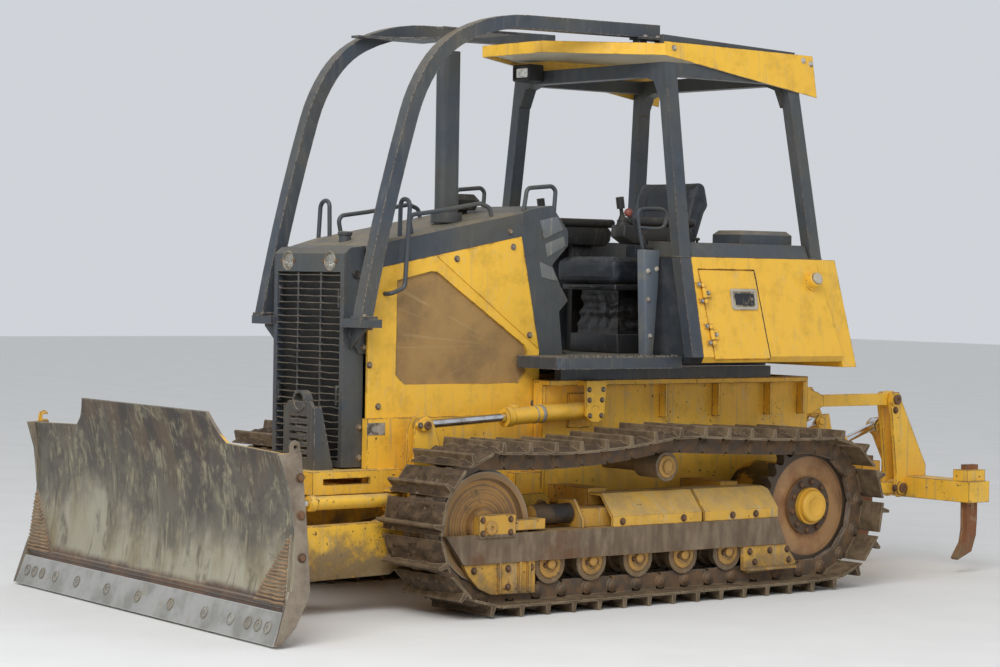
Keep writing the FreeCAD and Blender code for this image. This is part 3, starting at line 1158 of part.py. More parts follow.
def blade_brackets(body):
    """What is welded to the blade: the tilt socket, the lug for the tilt rod, and an ear on each end."""
    rear = BLADE_BACK
    socket = rod((0, rear - 50, TILT_Z), (0, rear + 28, TILT_Z), TILT_R + 40)
    pad = box(-190, 190, -2350, rear - 2, 270, 420)
    socket = join([socket, pad]).cut(tilt_bore())
    tx, tz = TILT_EYE
    lug = [xz([(tx - 40, tz + 44), (tx - 32, tz - 26), (tx + 32, tz - 26), (tx + 40, tz + 44)], y0, y0 + 18)
           for y0 in (TILT_Y - 42, TILT_Y + 24)]
    lug.append(rod((tx, TILT_Y + 42, tz), (tx, TILT_Y + 52, tz), 20.0))
    lug.append(box(tx - 40, tx + 40, rear - 10, TILT_Y + 42, tz + 40, tz + 56))
    x = blade_half(BLADE_WING_Z)
    ear = ear_blank().cut(rod((x - 50, EAR_Y, EAR_Z), (x + 100, EAR_Y, EAR_Z), EAR_R))
    hook = mirror(ear_blank()).cut(rod((-x - 100, HOOK_Y, HOOK_Z), (-x + 50, HOOK_Y, HOOK_Z), HOOK_R))
    hook = hook.cut(box(-x - 100, -x + 50, HOOK_Y, HOOK_Y + 60, HOOK_Z - HOOK_R + 3, HOOK_Z + HOOK_R - 3))
    space = blade_space()
    return [shape.cut(space).cut(body) for shape in (socket, join(lug), ear, hook)]


def edge_frame():
    """Foot of the cutting edge's front face, and the directions up its face and to the rear, in (y, z)."""
    rise = (EDGE_TOP_Y - EDGE_LOW_Y, EDGE_TOP_Z - EDGE_LOW_Z)
    length = math.hypot(*rise)
    up = (rise[0] / length, rise[1] / length)
    return (EDGE_LOW_Y, EDGE_LOW_Z), up, (up[1], -up[0]), length


def edge_point(along, back):
    foot, up, rear, length = edge_frame()
    return (foot[0] + up[0] * along + rear[0] * back, foot[1] + up[1] * along + rear[1] * back)


def edges():
    """Bolted cutting edge in its middle length and two end bits, sharpened at the foot."""
    length = edge_frame()[3]
    section = [edge_point(0, 0), edge_point(length, 0), edge_point(length, EDGE_T), edge_point(24, EDGE_T),
               edge_point(0, 4)]
    middle = yz(section, -BIT_X + SEAT, BIT_X - SEAT)
    bits = both(yz(section, BIT_X + SEAT, BIT_END))
    return group([at_blade_angle(shape) for shape in [middle] + bits])


# Cylinders

def cylinder(base, eye, axis, size):
    """A barrel from its base pin and a rod to its eye, in a plane; axis is the pins' direction.

    size: (barrel radius, rod radius, pin radius, eye radius, half width of the base eye, half width of the
    rod's eye, barrel length, how far it closes from rest).
    """
    radius, rod_r, pin_r, eye_r, base_half, eye_half, length, closes = size
    t, e = V(*base), V(*eye)
    u = (e - t).normalize()
    a = V(*axis)
    first = eye_r * 0.6
    bore_start = first + 28
    lug = Part.makeCylinder(eye_r, 2 * base_half, t - a * base_half, a)
    tube = Part.makeCylinder(radius, length, t + u * first, u)
    gland = Part.makeCylinder(radius + 5, 34, t + u * (length + first - 34), u)
    bore = Part.makeCylinder(rod_r + 0.5, (e - t).Length, t + u * bore_start, u)
    pin_hole = Part.makeCylinder(pin_r, 2 * base_half + 10, t - a * (base_half + 5), a)
    barrel = join([lug, tube, gland]).cut(bore).cut(pin_hole)
    start = t + u * (bore_start + closes + SIDE_GAP)
    shaft = Part.makeCylinder(rod_r, (e - start).Length - eye_r * 0.7, start, u)
    end = Part.makeCylinder(eye_r, 2 * eye_half, e - a * eye_half, a)
    return barrel, join([shaft, end])


def lift_cylinders():
    barrels, rods = [], []
    for s in (1, -1):
        x = s * LIFT_X
        t = V(x, *LIFT_TRUNNION)
        e = V(x, *LIFT_EYE)
        u = (e - t).normalize()
        head = t - u * LIFT_CAP_BACK
        tube = Part.makeCylinder(LIFT_R, 600.0, head, u)
        gland = Part.makeCylinder(LIFT_R + 6, 40.0, head + u * 560, u)
        stub = rod((x - s * (LIFT_R + SIDE_GAP - SEAT), *LIFT_TRUNNION), (x + s * (LIFT_R + SIDE_GAP + 17), *LIFT_TRUNNION),
                   24 - PIN_FIT)
        bore = Part.makeCylinder(LIFT_ROD + 0.5, 600.0, head + u * 30, u)
        barrels.append(join([tube, gland, stub]).cut(bore))
        start = head + u * (30 + LIFT_CLOSES + SIDE_GAP)
        shaft = Part.makeCylinder(LIFT_ROD, (e - start).Length - 24, start, u)
        eye = rod((x - 17, *LIFT_EYE), (x + 17, *LIFT_EYE), 36.0)
        rods.append(join([shaft, eye]))
    return group(barrels), group(rods)


def angle_cylinder(s):
    """s is +1 for the left cylinder. Its eye follows the blade's resting angle."""
    ex, ey = ANGLE_EYE
    eye = turn(Part.Vertex(V(s * ex, ey, ANGLE_Z)), BLADE_YAW, (0, KING_Y, 0), (0, 0, 1)).Point
    base = V(s * ANGLE_BASE[0], ANGLE_BASE[1], ANGLE_Z)
    size = (ANGLE_R, ANGLE_ROD, 20.0, 34.0, ANGLE_R + 2, 19.0, ANGLE_BARREL, ANGLE_CLOSES[s])
    return cylinder(base, eye, (0, 0, 1), size)


def tilt_cylinder():
    bx, bz = TILT_BASE
    tx, tz = TILT_EYE
    size = (TILT_CYL_R, TILT_ROD_R, 18.0, 32.0, 38.0, 18.5, 270.0, TILT_CLOSES)
    barrel, piston = cylinder((bx, TILT_Y, bz), (tx, TILT_Y, tz), (0, 1, 0), size)
    return at_blade_angle(barrel), at_blade_angle(piston)


# Ripper

def link_bar(a, b, x, half_x, height, end_r, bore):
    """A straight link between two (y, z) pins, with round bored ends."""
    (y0, z0), (y1, z1) = a, b
    bar = yz([(y0, z0 + height), (y1, z1 + height), (y1, z1 - height), (y0, z0 - height)], x - half_x, x + half_x)
    ends = [rod((x - half_x, y, z), (x + half_x, y, z), end_r) for y, z in (a, b)]
    holes = [rod((x - half_x - 5, y, z), (x + half_x + 5, y, z), bore) for y, z in (a, b)]
    return join([bar] + ends).cut(Part.makeCompound(holes))


def ripper_links(front):
    rear = (front[0] + RIP_L, front[1])
    return group([link_bar(front, rear, s * RIP_X, 25.0, 32.0, 46.0, 24.0) for s in (1, -1)])


def ripper_beam():
    upper = (RIP_UP[0] + RIP_L, RIP_UP[1])
    lower = (RIP_LOW[0] + RIP_L, RIP_LOW[1])
    pieces = [box(-RIP_BEAM_HALF, RIP_BEAM_HALF, RIP_BEAM_Y, RIP_BEAM_Y + RIP_BEAM_D, RIP_BEAM_LOW, RIP_BEAM_TOP)]
    for s in (1, -1):
        x = s * RIP_X
        tower = [(upper[0] - 40, upper[1] - 10), (upper[0] - 25, upper[1] + 40), (upper[0] + 25, upper[1] + 40),
                 (upper[0] + 45, upper[1]), (RIP_BEAM_Y + RIP_BEAM_D, RIP_BEAM_TOP + 60),
                 (RIP_BEAM_Y + RIP_BEAM_D, RIP_BEAM_LOW + 20), (lower[0] - 20, lower[1] - 52), (lower[0] - 48, lower[1]),
                 (lower[0] - 40, lower[1] + 60), (upper[0] - 20, upper[1] - 120)]
        for off in (-53, 31):
            pieces.append(yz(tower, x + off, x + off + 22))
        for y, z in (upper, lower):
            pieces.append(rod((x - 66, y, z), (x + 66, y, z), 24 - PIN_FIT))
            pieces += [rod((x + a, y, z), (x + b, y, z), RIP_BOSS_R) for a, b in ((-60, -50), (50, 60))]
        ey, ez = RIP_CYL_EYE
        cx = s * RIP_CYL_X
        ear = [(ey - 34, ez), (ey, ez + 36), (ey + 60, ez + 40), (RIP_BEAM_Y + 60, RIP_BEAM_TOP + 10), (ey + 20, ez - 60), (ey - 20, ez - 34)]
        for off in (-45, 27):
            pieces.append(yz(ear, cx + off, cx + off + 18))
        pieces += [rod((cx + a, ey, ez), (cx + b, ey, ez), 22.0) for a, b in ((-53, -45), (45, 53))]
        pieces.append(box(cx - s * 45, x, RIP_BEAM_Y + 20, RIP_BEAM_Y + 42, RIP_BEAM_TOP - 5, RIP_BEAM_TOP + 120))
    for x in (-SHANK_X, 0.0, SHANK_X):
        pieces.append(box(x - 52, x + 52, RIP_BEAM_Y + 10, RIP_BEAM_Y + RIP_BEAM_D - 10, RIP_BEAM_TOP - 5, RIP_BEAM_TOP + 62))
    body = join(pieces)
    notches = [box(s * RIP_X - 31, s * RIP_X + 31, RIP_BEAM_Y - 5, lower[0] + 46 + SIDE_GAP, RIP_BEAM_LOW - 5,
                   lower[1] + 46 + SIDE_GAP) for s in (1, -1)]
    slots = [box(x - SHANK_T / 2 - SEAT, x + SHANK_T / 2 + SEAT, RIP_BEAM_Y + 40, RIP_BEAM_Y + 130, RIP_BEAM_LOW - 5,
                 RIP_BEAM_TOP + 70) for x in (-SHANK_X, 0.0, SHANK_X)]
    return body.cut(Part.makeCompound(slots + notches))


def ripper_shanks():
    y0, y1 = RIP_BEAM_Y + 40 + SEAT, RIP_BEAM_Y + 130 - SEAT
    outline = [(y0, RIP_BEAM_TOP + 90), (y1, RIP_BEAM_TOP + 90), (y1, 300), (y1 - 6, 210), (y1 - 40, 120),
               (y0 - 60, SHANK_TIP_Z), (y0 - 70, SHANK_TIP_Z + 10), (y0 - 10, 170), (y0 + 4, 240)]
    return group([yz(outline, x - SHANK_T / 2, x + SHANK_T / 2) for x in (-SHANK_X, 0.0, SHANK_X)])


def ripper_cylinders():
    barrels, rods = [], []
    size = (RIP_R, RIP_ROD, 22.0, 36.0, RIP_R + 2, 24.0, 330.0, RIP_CLOSES)
    for x in (RIP_CYL_X, -RIP_CYL_X):
        barrel, piston = cylinder((x, *RIP_CYL_BASE), (x, *RIP_CYL_EYE), (1, 0, 0), size)
        barrels.append(barrel)
        rods.append(piston)
    return group(barrels), group(rods)


def hose_guard():
    """Louvred bracket on the nose that holds the blade's hoses."""
    y = -1676.0
    plate = xz([(40, NOSE_TOP), (300, NOSE_TOP), (300, 940), (262, 985), (78, 985), (40, 940)], y, y + 16)
    slots = [box(90, 240, y - 5, y + 25, z, z + 14) for z in (720, 756, 792, 828, 864, 900)]
    cheek = [yz([(y, NOSE_TOP), (y, 960), (y + 40, 960), (y + 110, NOSE_TOP)], x, x + 10) for x in (40, 290)]
    clamp = ring((170, y - 4, 985), (170, y + 44, 985), 52.0, 39.0)
    return join([plate.cut(Part.makeCompound(slots))] + cheek + [clamp])


def build():
    board = blade_body()
    parts = {
        "main_frame": main_frame(),
        "lift_saddles": group(lift_saddles()),
        "engine": engine(),
        "radiator": radiator(),
        "grille_frame": grille_frame(),
        "grille_bars": grille_bars(),
        "lamps": group(lamps()),
        "hood": hood(),
        "side_panel_left": side_panel(PANEL_HALF),
        "side_panel_right": mirror(side_panel(PANEL_HALF)),
        "side_screens": group(screens()),
        "dash_cowl": cowl(),
        "precleaner": precleaner(),
        "exhaust_stack": stack(),
        "grab_rails": group(rails()),
        "operator_platform": platform(),
        "seat_base": seat_base(),
        "seat_cushion": seat_cushion(),
        "seat_back": seat_back(),
        "arm_consoles": group(consoles()),
        "controls": group(controls()),
        "side_box_left": side_box(1),
        "side_box_right": side_box(-1),
        "side_door": side_door(),
        "door_hinges": group(door_hinges()),
        "deck_covers": group(deck_covers()),
        "fuel_tank": rear_tank(),
        "canopy_frame": group([rops()] + roof_rails()),
        "canopy_roof": roof(),
        "sweeps": sweeps(),
        "c_frame": c_frame(),
        "blade_yoke": yoke(),
        "blade": at_blade_angle(board),
        "blade_brackets": group([at_blade_angle(shape) for shape in blade_brackets(board)]),
        "cutting_edges": edges(),
        "ripper_upper_links": ripper_links(RIP_UP),
        "ripper_lower_links": ripper_links(RIP_LOW),
        "ripper_beam": ripper_beam(),
        "ripper_shanks": ripper_shanks(),
        "hose_guard": hose_guard(),
    }
    left_track = track()
    sides = {
        "track": left_track,
        "sprocket": sprocket(),
    }
    for name, shape in sides.items():
        parts[name + "_left"] = shape
        parts[name + "_right"] = mirror(shape)
    frame = group(track_frame())
    parts["track_frame_left"] = frame
    parts["track_frame_right"] = mirror(frame)
    covers = group(track_cover())
    parts["track_covers"] = group([covers, mirror(covers)])
    parts["final_drives"] = group(both(final_drive()))
    parts["idlers"] = group(both(idler()))
    one_side = group(rollers())
    parts["track_rollers"] = group([one_side, mirror(one_side)])
    parts["lift_barrels"], parts["lift_rods"] = lift_cylinders()
    for name, s in (("left", 1), ("right", -1)):
        parts["angle_barrel_" + name], parts["angle_rod_" + name] = angle_cylinder(s)
    parts["tilt_barrel"], parts["tilt_rod"] = tilt_cylinder()
    parts["ripper_barrels"], parts["ripper_rods"] = ripper_cylinders()
    return parts


os.makedirs("parts", exist_ok=True)
for name, shape in build().items():
    shape.translate(V(-MIDDLE_X, -MIDDLE_Y, 0))
    shape.exportStep("parts/" + name + ".step")
    b = shape.BoundBox
    print("%-20s solids %2d valid %s  x %.0f..%.0f y %.0f..%.0f z %.0f..%.0f" % (
        name, len(shape.Solids), shape.isValid(), b.XMin, b.XMax, b.YMin, b.YMax, b.ZMin, b.ZMax))
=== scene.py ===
"""Crawler dozer: its finishes, tracks, seat, grille, lamps and small fittings, and the stage."""

import math
import random

import bmesh
import bpy
from mathutils import Matrix, Vector, noise


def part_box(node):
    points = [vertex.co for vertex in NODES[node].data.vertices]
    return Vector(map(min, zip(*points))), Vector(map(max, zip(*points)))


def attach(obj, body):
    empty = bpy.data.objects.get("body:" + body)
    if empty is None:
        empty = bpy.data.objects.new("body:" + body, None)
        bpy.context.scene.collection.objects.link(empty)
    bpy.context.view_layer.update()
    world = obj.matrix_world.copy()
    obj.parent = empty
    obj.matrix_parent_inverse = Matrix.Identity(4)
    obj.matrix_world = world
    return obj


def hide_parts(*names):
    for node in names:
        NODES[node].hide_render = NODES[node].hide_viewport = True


bl_info = {
    "name": "Crawler Dozer Dressing",
    "version": (1, 0, 0),
    "blender": (4, 5, 0),
    "location": "View3D > Sidebar > Dozer",
    "description": "Finishes and small pieces for a crawler dozer with an angling blade",
    "category": "Object",
}

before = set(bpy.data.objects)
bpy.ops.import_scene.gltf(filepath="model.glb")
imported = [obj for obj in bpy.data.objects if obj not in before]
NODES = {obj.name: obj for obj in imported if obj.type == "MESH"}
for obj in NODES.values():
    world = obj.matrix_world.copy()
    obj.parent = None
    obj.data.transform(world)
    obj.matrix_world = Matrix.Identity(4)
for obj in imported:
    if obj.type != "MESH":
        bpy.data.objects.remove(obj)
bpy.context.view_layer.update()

# The frame's origin is under the middle of the whole machine. Pieces are placed from a datum on the
# machine's own middle line, level with the carrier rollers' bracket, and moved there by at()
IDLER_Y = -1.085
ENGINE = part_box("engine")
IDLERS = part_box("idlers")
DATUM = Vector(((ENGINE[0][0] + ENGINE[1][0]) / 2, (IDLERS[0][1] + IDLERS[1][1]) / 2 - IDLER_Y, 0))
KING_Y = -2.0               # upright pin that the blade angles about
BLADE_YAW = -4.5            # degrees, how the blade stands at rest

# The photograph's camera, from the datum
CAMERA_PLACE = (10.743, -8.888, 1.597)
CAMERA_YAW = 38.55          # degrees from looking straight across the machine (-X) towards its rear (+Y)
CAMERA_PITCH = 1.24         # degrees down
CAMERA_ROLL = 0.93
FOCAL_PIXELS = 2689.5
PHOTO_WIDTH = 1000.0
SENSOR_MM = 36.0

# Track chain, from the datum and the ground
CHAIN_X = 0.7745
SHOE_WIDTH = 0.457
PITCH = 0.159
PIN_TO_RAIL = 0.045         # from a pin's middle in to the rail that the rollers ride on
PIN_TO_PLATE = 0.036        # and out to the shoe's plate
SHOE_PLATE = 0.012
GROUSER = 0.047             # height of the bar across each shoe
SPROCKET_TEETH = 25
SPROCKET_Y = 1.100
SPROCKET_LIFT = 0.008
IDLER_R = 0.262
CARRIER = (0.046, 0.664)    # the roller that carries the upper run, (y, z)
CARRIER_PIN_R = 0.117
SAG_FRONT = 0.035
SAG_REAR = 0.010
LAST_ROLLER_Y = 0.770
TIP = PIN_TO_PLATE + SHOE_PLATE + GROUSER
SPROCKET_R = PITCH / (2 * math.sin(2 * math.pi / SPROCKET_TEETH))
SPROCKET_Z = TIP + SPROCKET_LIFT + SPROCKET_R
RAIL_RING = IDLER_R + PIN_TO_RAIL
IDLER_PIN_R = (RAIL_RING + 0.001) / math.cos(math.asin(PITCH / 2 / RAIL_RING))
IDLER_Z = TIP + IDLER_PIN_R

# The left side's leaning face, from the datum
LEAN = math.radians(7.9)
LEAN_TOP = (0.738, 1.705)   # its x at its upper edge's height
LEAN_OUT = (math.cos(LEAN), 0.0, math.sin(LEAN))


def srgb(red, green, blue):
    """A screen colour, 0 to 255, as the linear colour that shaders take."""
    linear = []
    for value in (red, green, blue):
        c = value / 255
        linear.append(c / 12.92 if c <= 0.04045 else ((c + 0.055) / 1.055) ** 2.4)
    return (*linear, 1.0)


class DozerFinish(bpy.types.PropertyGroup):
    """Colours and wear that a user would change."""

    paint: bpy.props.FloatVectorProperty(name="Main paint", description="Yellow of the body panels", size=4,
                                         subtype="COLOR", default=srgb(240, 186, 58), min=0, max=1)
    slate: bpy.props.FloatVectorProperty(name="Second paint",
                                         description="Dark grey of the frames and hood", size=4,
                                         subtype="COLOR", default=srgb(62, 69, 78), min=0, max=1)
    mud: bpy.props.FloatVectorProperty(name="Mud", description="Mud on the tracks and their frames", size=4,
                                       subtype="COLOR", default=srgb(96, 77, 56), min=0, max=1)
    dust: bpy.props.FloatVectorProperty(name="Dust", description="Dust on upward faces", size=4,
                                        subtype="COLOR",
                                        default=srgb(158, 142, 112), min=0, max=1)
    rust: bpy.props.FloatVectorProperty(name="Rust", description="Rust where paint has gone", size=4,
                                        subtype="COLOR",
                                        default=srgb(112, 70, 42), min=0, max=1)
    wear: bpy.props.FloatProperty(name="Wear", description="How chipped the paint is", default=1.0, min=0.0,
                                  max=3.0,
                                  subtype="FACTOR")


class DozerStage(bpy.types.PropertyGroup):
    """Floor, lights and camera."""

    floor: bpy.props.FloatVectorProperty(name="Floor", description="Colour of the floor and backdrop",
                                         size=4,
                                         subtype="COLOR", default=srgb(226, 225, 222), min=0, max=1)
    key: bpy.props.FloatProperty(name="Key light", description="Power of the large soft lamp",
                                 default=900.0, min=0.0,
                                 unit="POWER")
    sky: bpy.props.FloatProperty(name="Sky", description="Strength of the light from all round",
                                 default=0.75, min=0.0)


class DozerFittings(bpy.types.PropertyGroup):
    """Sizes of the small pieces."""

    bolt: bpy.props.FloatProperty(name="Bolt", description="Radius of the common bolt heads", default=0.013,
                                  min=0.004,
                                  max=0.03, unit="LENGTH")
    mud_depth: bpy.props.FloatProperty(name="Packed mud",
                                       description="Depth of the mud between the track's bars",
                                       default=0.026, min=0.0, max=0.04, unit="LENGTH")
    grille_bend: bpy.props.FloatProperty(name="Grille dents",
                                         description="How far the grille's bars are bent",
                                         default=0.007, min=0.0, max=0.012, unit="LENGTH")


def settings():
    scene = bpy.context.scene
    return scene.dozer_finish, scene.dozer_stage, scene.dozer_fittings


# Places

def at(x, y, z):
    """A place given from the datum, in the frame."""
    return DATUM + Vector((x, y, z))


def on_blade():
    """From the blade's own square frame, measured from the datum, to where it stands at rest."""
    turn = Matrix.Rotation(math.radians(BLADE_YAW), 4, "Z")
    return Matrix.Translation(at(0, KING_Y, 0)) @ turn @ Matrix.Translation((0, -KING_Y, 0))


def facing(place, outward, spin=0.0):
    """Where a piece goes that was made standing on the origin along +Z."""
    turn = Vector(outward).to_track_quat("Z", "Y").to_matrix().to_4x4()
    return Matrix.Translation(place) @ turn @ Matrix.Rotation(spin, 4, "Z")


def lean_x(z):
    return LEAN_TOP[0] + (LEAN_TOP[1] - z) * math.tan(LEAN)


def on_side(y, z, proud=0.0):
    """A place on the leaning face: X runs rearwards, Y up the face and Z out of it."""
    turn = Matrix(((0, -math.sin(LEAN), math.cos(LEAN)), (1, 0, 0),
                   (0, math.cos(LEAN), math.sin(LEAN)))).to_4x4()
    return Matrix.Translation((lean_x(z), y, z)) @ turn @ Matrix.Translation((0, 0, proud))


# Modelling

def begin():
    """Deselects everything, because loading leaves the carried-over pieces selected."""
    bpy.ops.object.select_all(action="DESELECT")


def choose(piece):
    begin()
    piece.select_set(True)
    bpy.context.view_layer.objects.active = piece


def modified(piece, kind, **values):
    """Applies one modifier to a piece."""
    choose(piece)
    made = piece.modifiers.new(kind.lower(), kind)
    for key, value in values.items():
        setattr(made, key, value)
    bpy.ops.object.modifier_apply(modifier=made.name)
    return piece


def pick(piece, test):
    """Opens a piece for editing, with the faces selected whose middle and normal pass the test."""
    choose(piece)
    bpy.ops.object.mode_set(mode="EDIT")
    bpy.ops.mesh.select_mode(type="FACE")
    bpy.ops.mesh.select_all(action="DESELECT")
    shape = bmesh.from_edit_mesh(piece.data)
    for side in shape.faces:
        side.select_set(test(side.calc_center_median(), side.normal))
    bmesh.update_edit_mesh(piece.data)


def close_edit(outward=False):
    if outward:
        bpy.ops.mesh.select_all(action="SELECT")
        bpy.ops.mesh.normals_make_consistent(inside=False)
    bpy.ops.object.mode_set(mode="OBJECT")


def block(name, low, high, edge=0.0):
    """A box between two corners, with its edges rounded."""
    begin()
    middle = [(a + b) / 2 for a, b in zip(low, high)]
    bpy.ops.mesh.primitive_cube_add(size=1, location=middle)
    piece = bpy.context.object
    piece.name = name
    piece.scale = [abs(b - a) for a, b in zip(low, high)]
    bpy.ops.object.transform_apply(location=True, rotation=True, scale=True)
    if edge:
        modified(piece, "BEVEL", width=edge, segments=2)
    return piece


def turned(name, steps, sides=24, finish=None):
    """A turned piece standing on the origin: (radius, height) steps from its foot to its top."""
    begin()
    radius, height = steps[0]
    bpy.ops.mesh.primitive_circle_add(vertices=sides, radius=radius, fill_type="NGON",
                                      location=(0, 0, height))
    piece = bpy.context.object
    piece.name = name
    bpy.ops.object.transform_apply(location=True, rotation=True, scale=True)
    bpy.ops.object.mode_set(mode="EDIT")
    for wider, higher in steps[1:]:
        bpy.ops.mesh.extrude_region_move(TRANSFORM_OT_translate={"value": (0, 0, higher - height)})
        bpy.ops.transform.resize(value=(wider / radius, wider / radius, 1))
        radius, height = wider, higher
    close_edit(outward=True)
    if finish:
        coat(piece, finish)
    return piece


def extruded(name, points, depth):
    """A plate: an outline of (x, y) points on the ground plane, extruded up by its depth."""
    begin()
    bpy.ops.mesh.primitive_circle_add(vertices=len(points), radius=1, fill_type="NGON")
    piece = bpy.context.object
    piece.name = name
    for corner, (x, y) in zip(piece.data.vertices, points):
        corner.co = (x, y, 0)
    bpy.ops.object.mode_set(mode="EDIT")
    bpy.ops.mesh.extrude_region_move(TRANSFORM_OT_translate={"value": (0, 0, depth)})
    close_edit(outward=True)
    return piece


ACROSS = Matrix(((0, 0, 1, 0), (1, 0, 0, 0), (0, 1, 0, 0), (0, 0, 0, 1)))     # (x, y, z) to (y, z, x)


def side_plate(name, points, x0, x1):
    """A plate from an outline of (y, z) points, between x0 and x1."""
    x0, x1 = sorted((x0, x1))
    piece = extruded(name, points, x1 - x0)
    piece.data.transform(Matrix.Translation((x0, 0, 0)) @ ACROSS)
    return piece


def tube(name, points, radius, sides=10):
    """A round tube along points, swept from a short curve and made a mesh."""
    begin()
    line = bpy.data.curves.new(name, "CURVE")
    line.dimensions = "3D"
    line.bevel_depth = radius
    line.bevel_resolution = max(1, sides // 4 - 1)
    line.resolution_u = 6
    line.use_fill_caps = True
    spline = line.splines.new("NURBS")
    spline.points.add(len(points) - 1)
    for knot, place in zip(spline.points, points):
        knot.co = (*place, 1)
    spline.order_u = 3
    spline.use_endpoint_u = True
    piece = bpy.data.objects.new(name, line)
    bpy.context.collection.objects.link(piece)
    choose(piece)
    bpy.ops.object.convert(target="MESH")
    return piece


def joined(name, parts):
    """Several pieces as one."""
    begin()
    for part in parts:
        part.select_set(True)
    bpy.context.view_layer.objects.active = parts[0]
    if len(parts) > 1:
        bpy.ops.object.join()
    whole = parts[0]
    whole.name = name
    return whole


def copied(master, place):
    """A copy of a master with its own mesh, put in place."""
    twin = master.copy()
    twin.data = master.data.copy()
    twin.data.transform(place)
    bpy.context.collection.objects.link(twin)
    return twin


def repeated(name, master, places):
    """Copies of a master, joined; the master goes."""
    whole = joined(name, [copied(master, place) for place in places])
    bpy.data.objects.remove(master)
    return whole


def coat(piece, *names):
    """Gives a piece its finishes, by name."""
    for name in names:
        piece.data.materials.append(bpy.data.materials[name])


def hand_over(piece, body, place=None, smooth=35):
    """Puts a finished piece where it stands, on its body."""
    piece.data.transform(place or Matrix.Translation(DATUM))
    choose(piece)
    bpy.ops.object.shade_smooth_by_angle(angle=math.radians(smooth))
    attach(piece, body)
    return piece


def assembled(name, parts, finish, body, place=None, edge=0.0):
    """Pieces joined as one in one finish, with their edges rounded where asked, and put where they stand."""
    whole = joined(name, parts)
    if edge:
        modified(whole, "BEVEL", width=edge, segments=2)
    coat(whole, finish)
    return hand_over(whole, body, place)


# Small repeated pieces

LEFT, RIGHT, UP, DOWN, AHEAD, BACK = (1, 0, 0), (-1, 0, 0), (0, 0, 1), (0, 0, -1), (0, -1, 0), (0, 1, 0)


def bolt(radius, finish):
    """A hex head on its washer, standing on the origin."""
    washer = turned("washer", [(radius * 1.5, -0.001), (radius * 1.5, radius * 0.2),
                               (radius * 1.3, radius * 0.3)], 18)
    head = turned("head", [(radius, radius * 0.2), (radius * 1.04, radius * 0.9),
                           (radius * 0.8, radius * 1.05)], 6)
    whole = joined("bolt", [washer, head])
    coat(whole, finish)
    return whole


def both_sides(spots):
    """The same (place, outward) spots on the machine's left and right."""
    return [((side * x, y, z), (side * a, b, c)) for side in (1, -1) for (x, y, z), (a, b, c) in spots]


def on_face(x, places, outward=LEFT):
    """Spots at (y, z) places on a face that looks outward at x."""
    return [((x, y, z), outward) for y, z in places]


def sided(corners, side):
    """A box's two corners on the machine's left (1) or right (-1)."""
    return [(side * x, y, z) for x, y, z in corners]


def set_out(name, master, spots, body, place=None):
    """Copies of a piece made standing on the origin, each turned a little, at (place, outward) spots."""
    draw = random.Random(len(spots))
    places = [facing(spot, outward, draw.uniform(0, 1)) for spot, outward in spots]
    return hand_over(repeated(name, master, places), body, place)


def bolted(name, spots, body, finish="bolt_steel", size=1.0, place=None):
    return set_out(name, bolt(settings()[2].bolt * size, finish), spots, body, place)


PIN_END = ((1, 0.25), (0.85, 0.38), (0.3, 0.38), (0.2, 0.22))      # against its radius


def pin_end(radius, finish):
    """The end of a pin: a chamfered disc with a dimple."""
    steps = [(radius, -0.002)] + [(radius * wide, radius * high) for wide, high in PIN_END]
    return turned("pin_end", steps, 22, finish)


def hoop(name, radius, thick, width):
    """A rounded band round a tube that stands on the origin."""
    begin()
    bpy.ops.mesh.primitive_torus_add(major_radius=radius, minor_radius=thick, major_segments=36,
                                     minor_segments=8)
    band = bpy.context.object
    band.name = name
    band.scale = (1, 1, width / (2 * thick))
    bpy.ops.object.transform_apply(location=True, rotation=True, scale=True)
    return band


def sunk_plate(name, points, height, border, depth):
    """A plate standing on the ground plane, with its middle sunk below a border."""
    plate = extruded(name, points, height)
    pick(plate, lambda middle, normal: normal.z > 0.9)
    bpy.ops.mesh.inset(thickness=border, depth=0.0)
    bpy.ops.mesh.inset(thickness=border * 0.3, depth=-depth)
    close_edit()
    return modified(plate, "BEVEL", width=0.0012, segments=2)


# Shader building

def feed(tree, socket, value):
    """Links an output to a socket, or sets the socket to a plain value."""
    if isinstance(value, bpy.types.NodeSocket):
        tree.links.new(value, socket)
    else:
        socket.default_value = value


def add(tree, kind, **inputs):
    """A shader node; each keyword is one of its properties or one of its inputs."""
    made = tree.nodes.new("ShaderNode" + kind)
    for key, value in inputs.items():
        if key in made.bl_rna.properties:
            setattr(made, key, value)
        else:
            feed(tree, made.inputs[key.replace("_", " ")], value)
    return made


def sums(tree, operation, first, second=0.0, clamp=False):
    made = add(tree, "Math", operation=operation, use_clamp=clamp)
    feed(tree, made.inputs[0], first)
    feed(tree, made.inputs[1], second)
    return made.outputs[0]


def ramp(tree, value, low, high, start=0.0, end=1.0):
    """Rises smoothly from start to end as the value goes from low to high."""
    made = add(tree, "MapRange", interpolation_type="SMOOTHSTEP", From_Min=low, From_Max=high, To_Min=start,
               To_Max=end)
    feed(tree, made.inputs["Value"], value)
    return made.outputs[0]


def band(tree, value, low, high, soft):
    """1 between two limits, rising and falling over a soft width inside them."""
    return sums(tree, "MULTIPLY", ramp(tree, value, low, low + soft), ramp(tree, value, high, high - soft))


def mix(tree, factor, first, second, mode="MIX"):
    made = add(tree, "Mix", data_type="RGBA", blend_type=mode)
    feed(tree, made.inputs[0], factor)
    feed(tree, made.inputs[6], first)
    feed(tree, made.inputs[7], second)
    return made.outputs[2]


def blend(tree, value, low, high, first, second):
    """Passes from one colour to another as the value goes from low to high."""
    return mix(tree, ramp(tree, value, low, high), first, second)


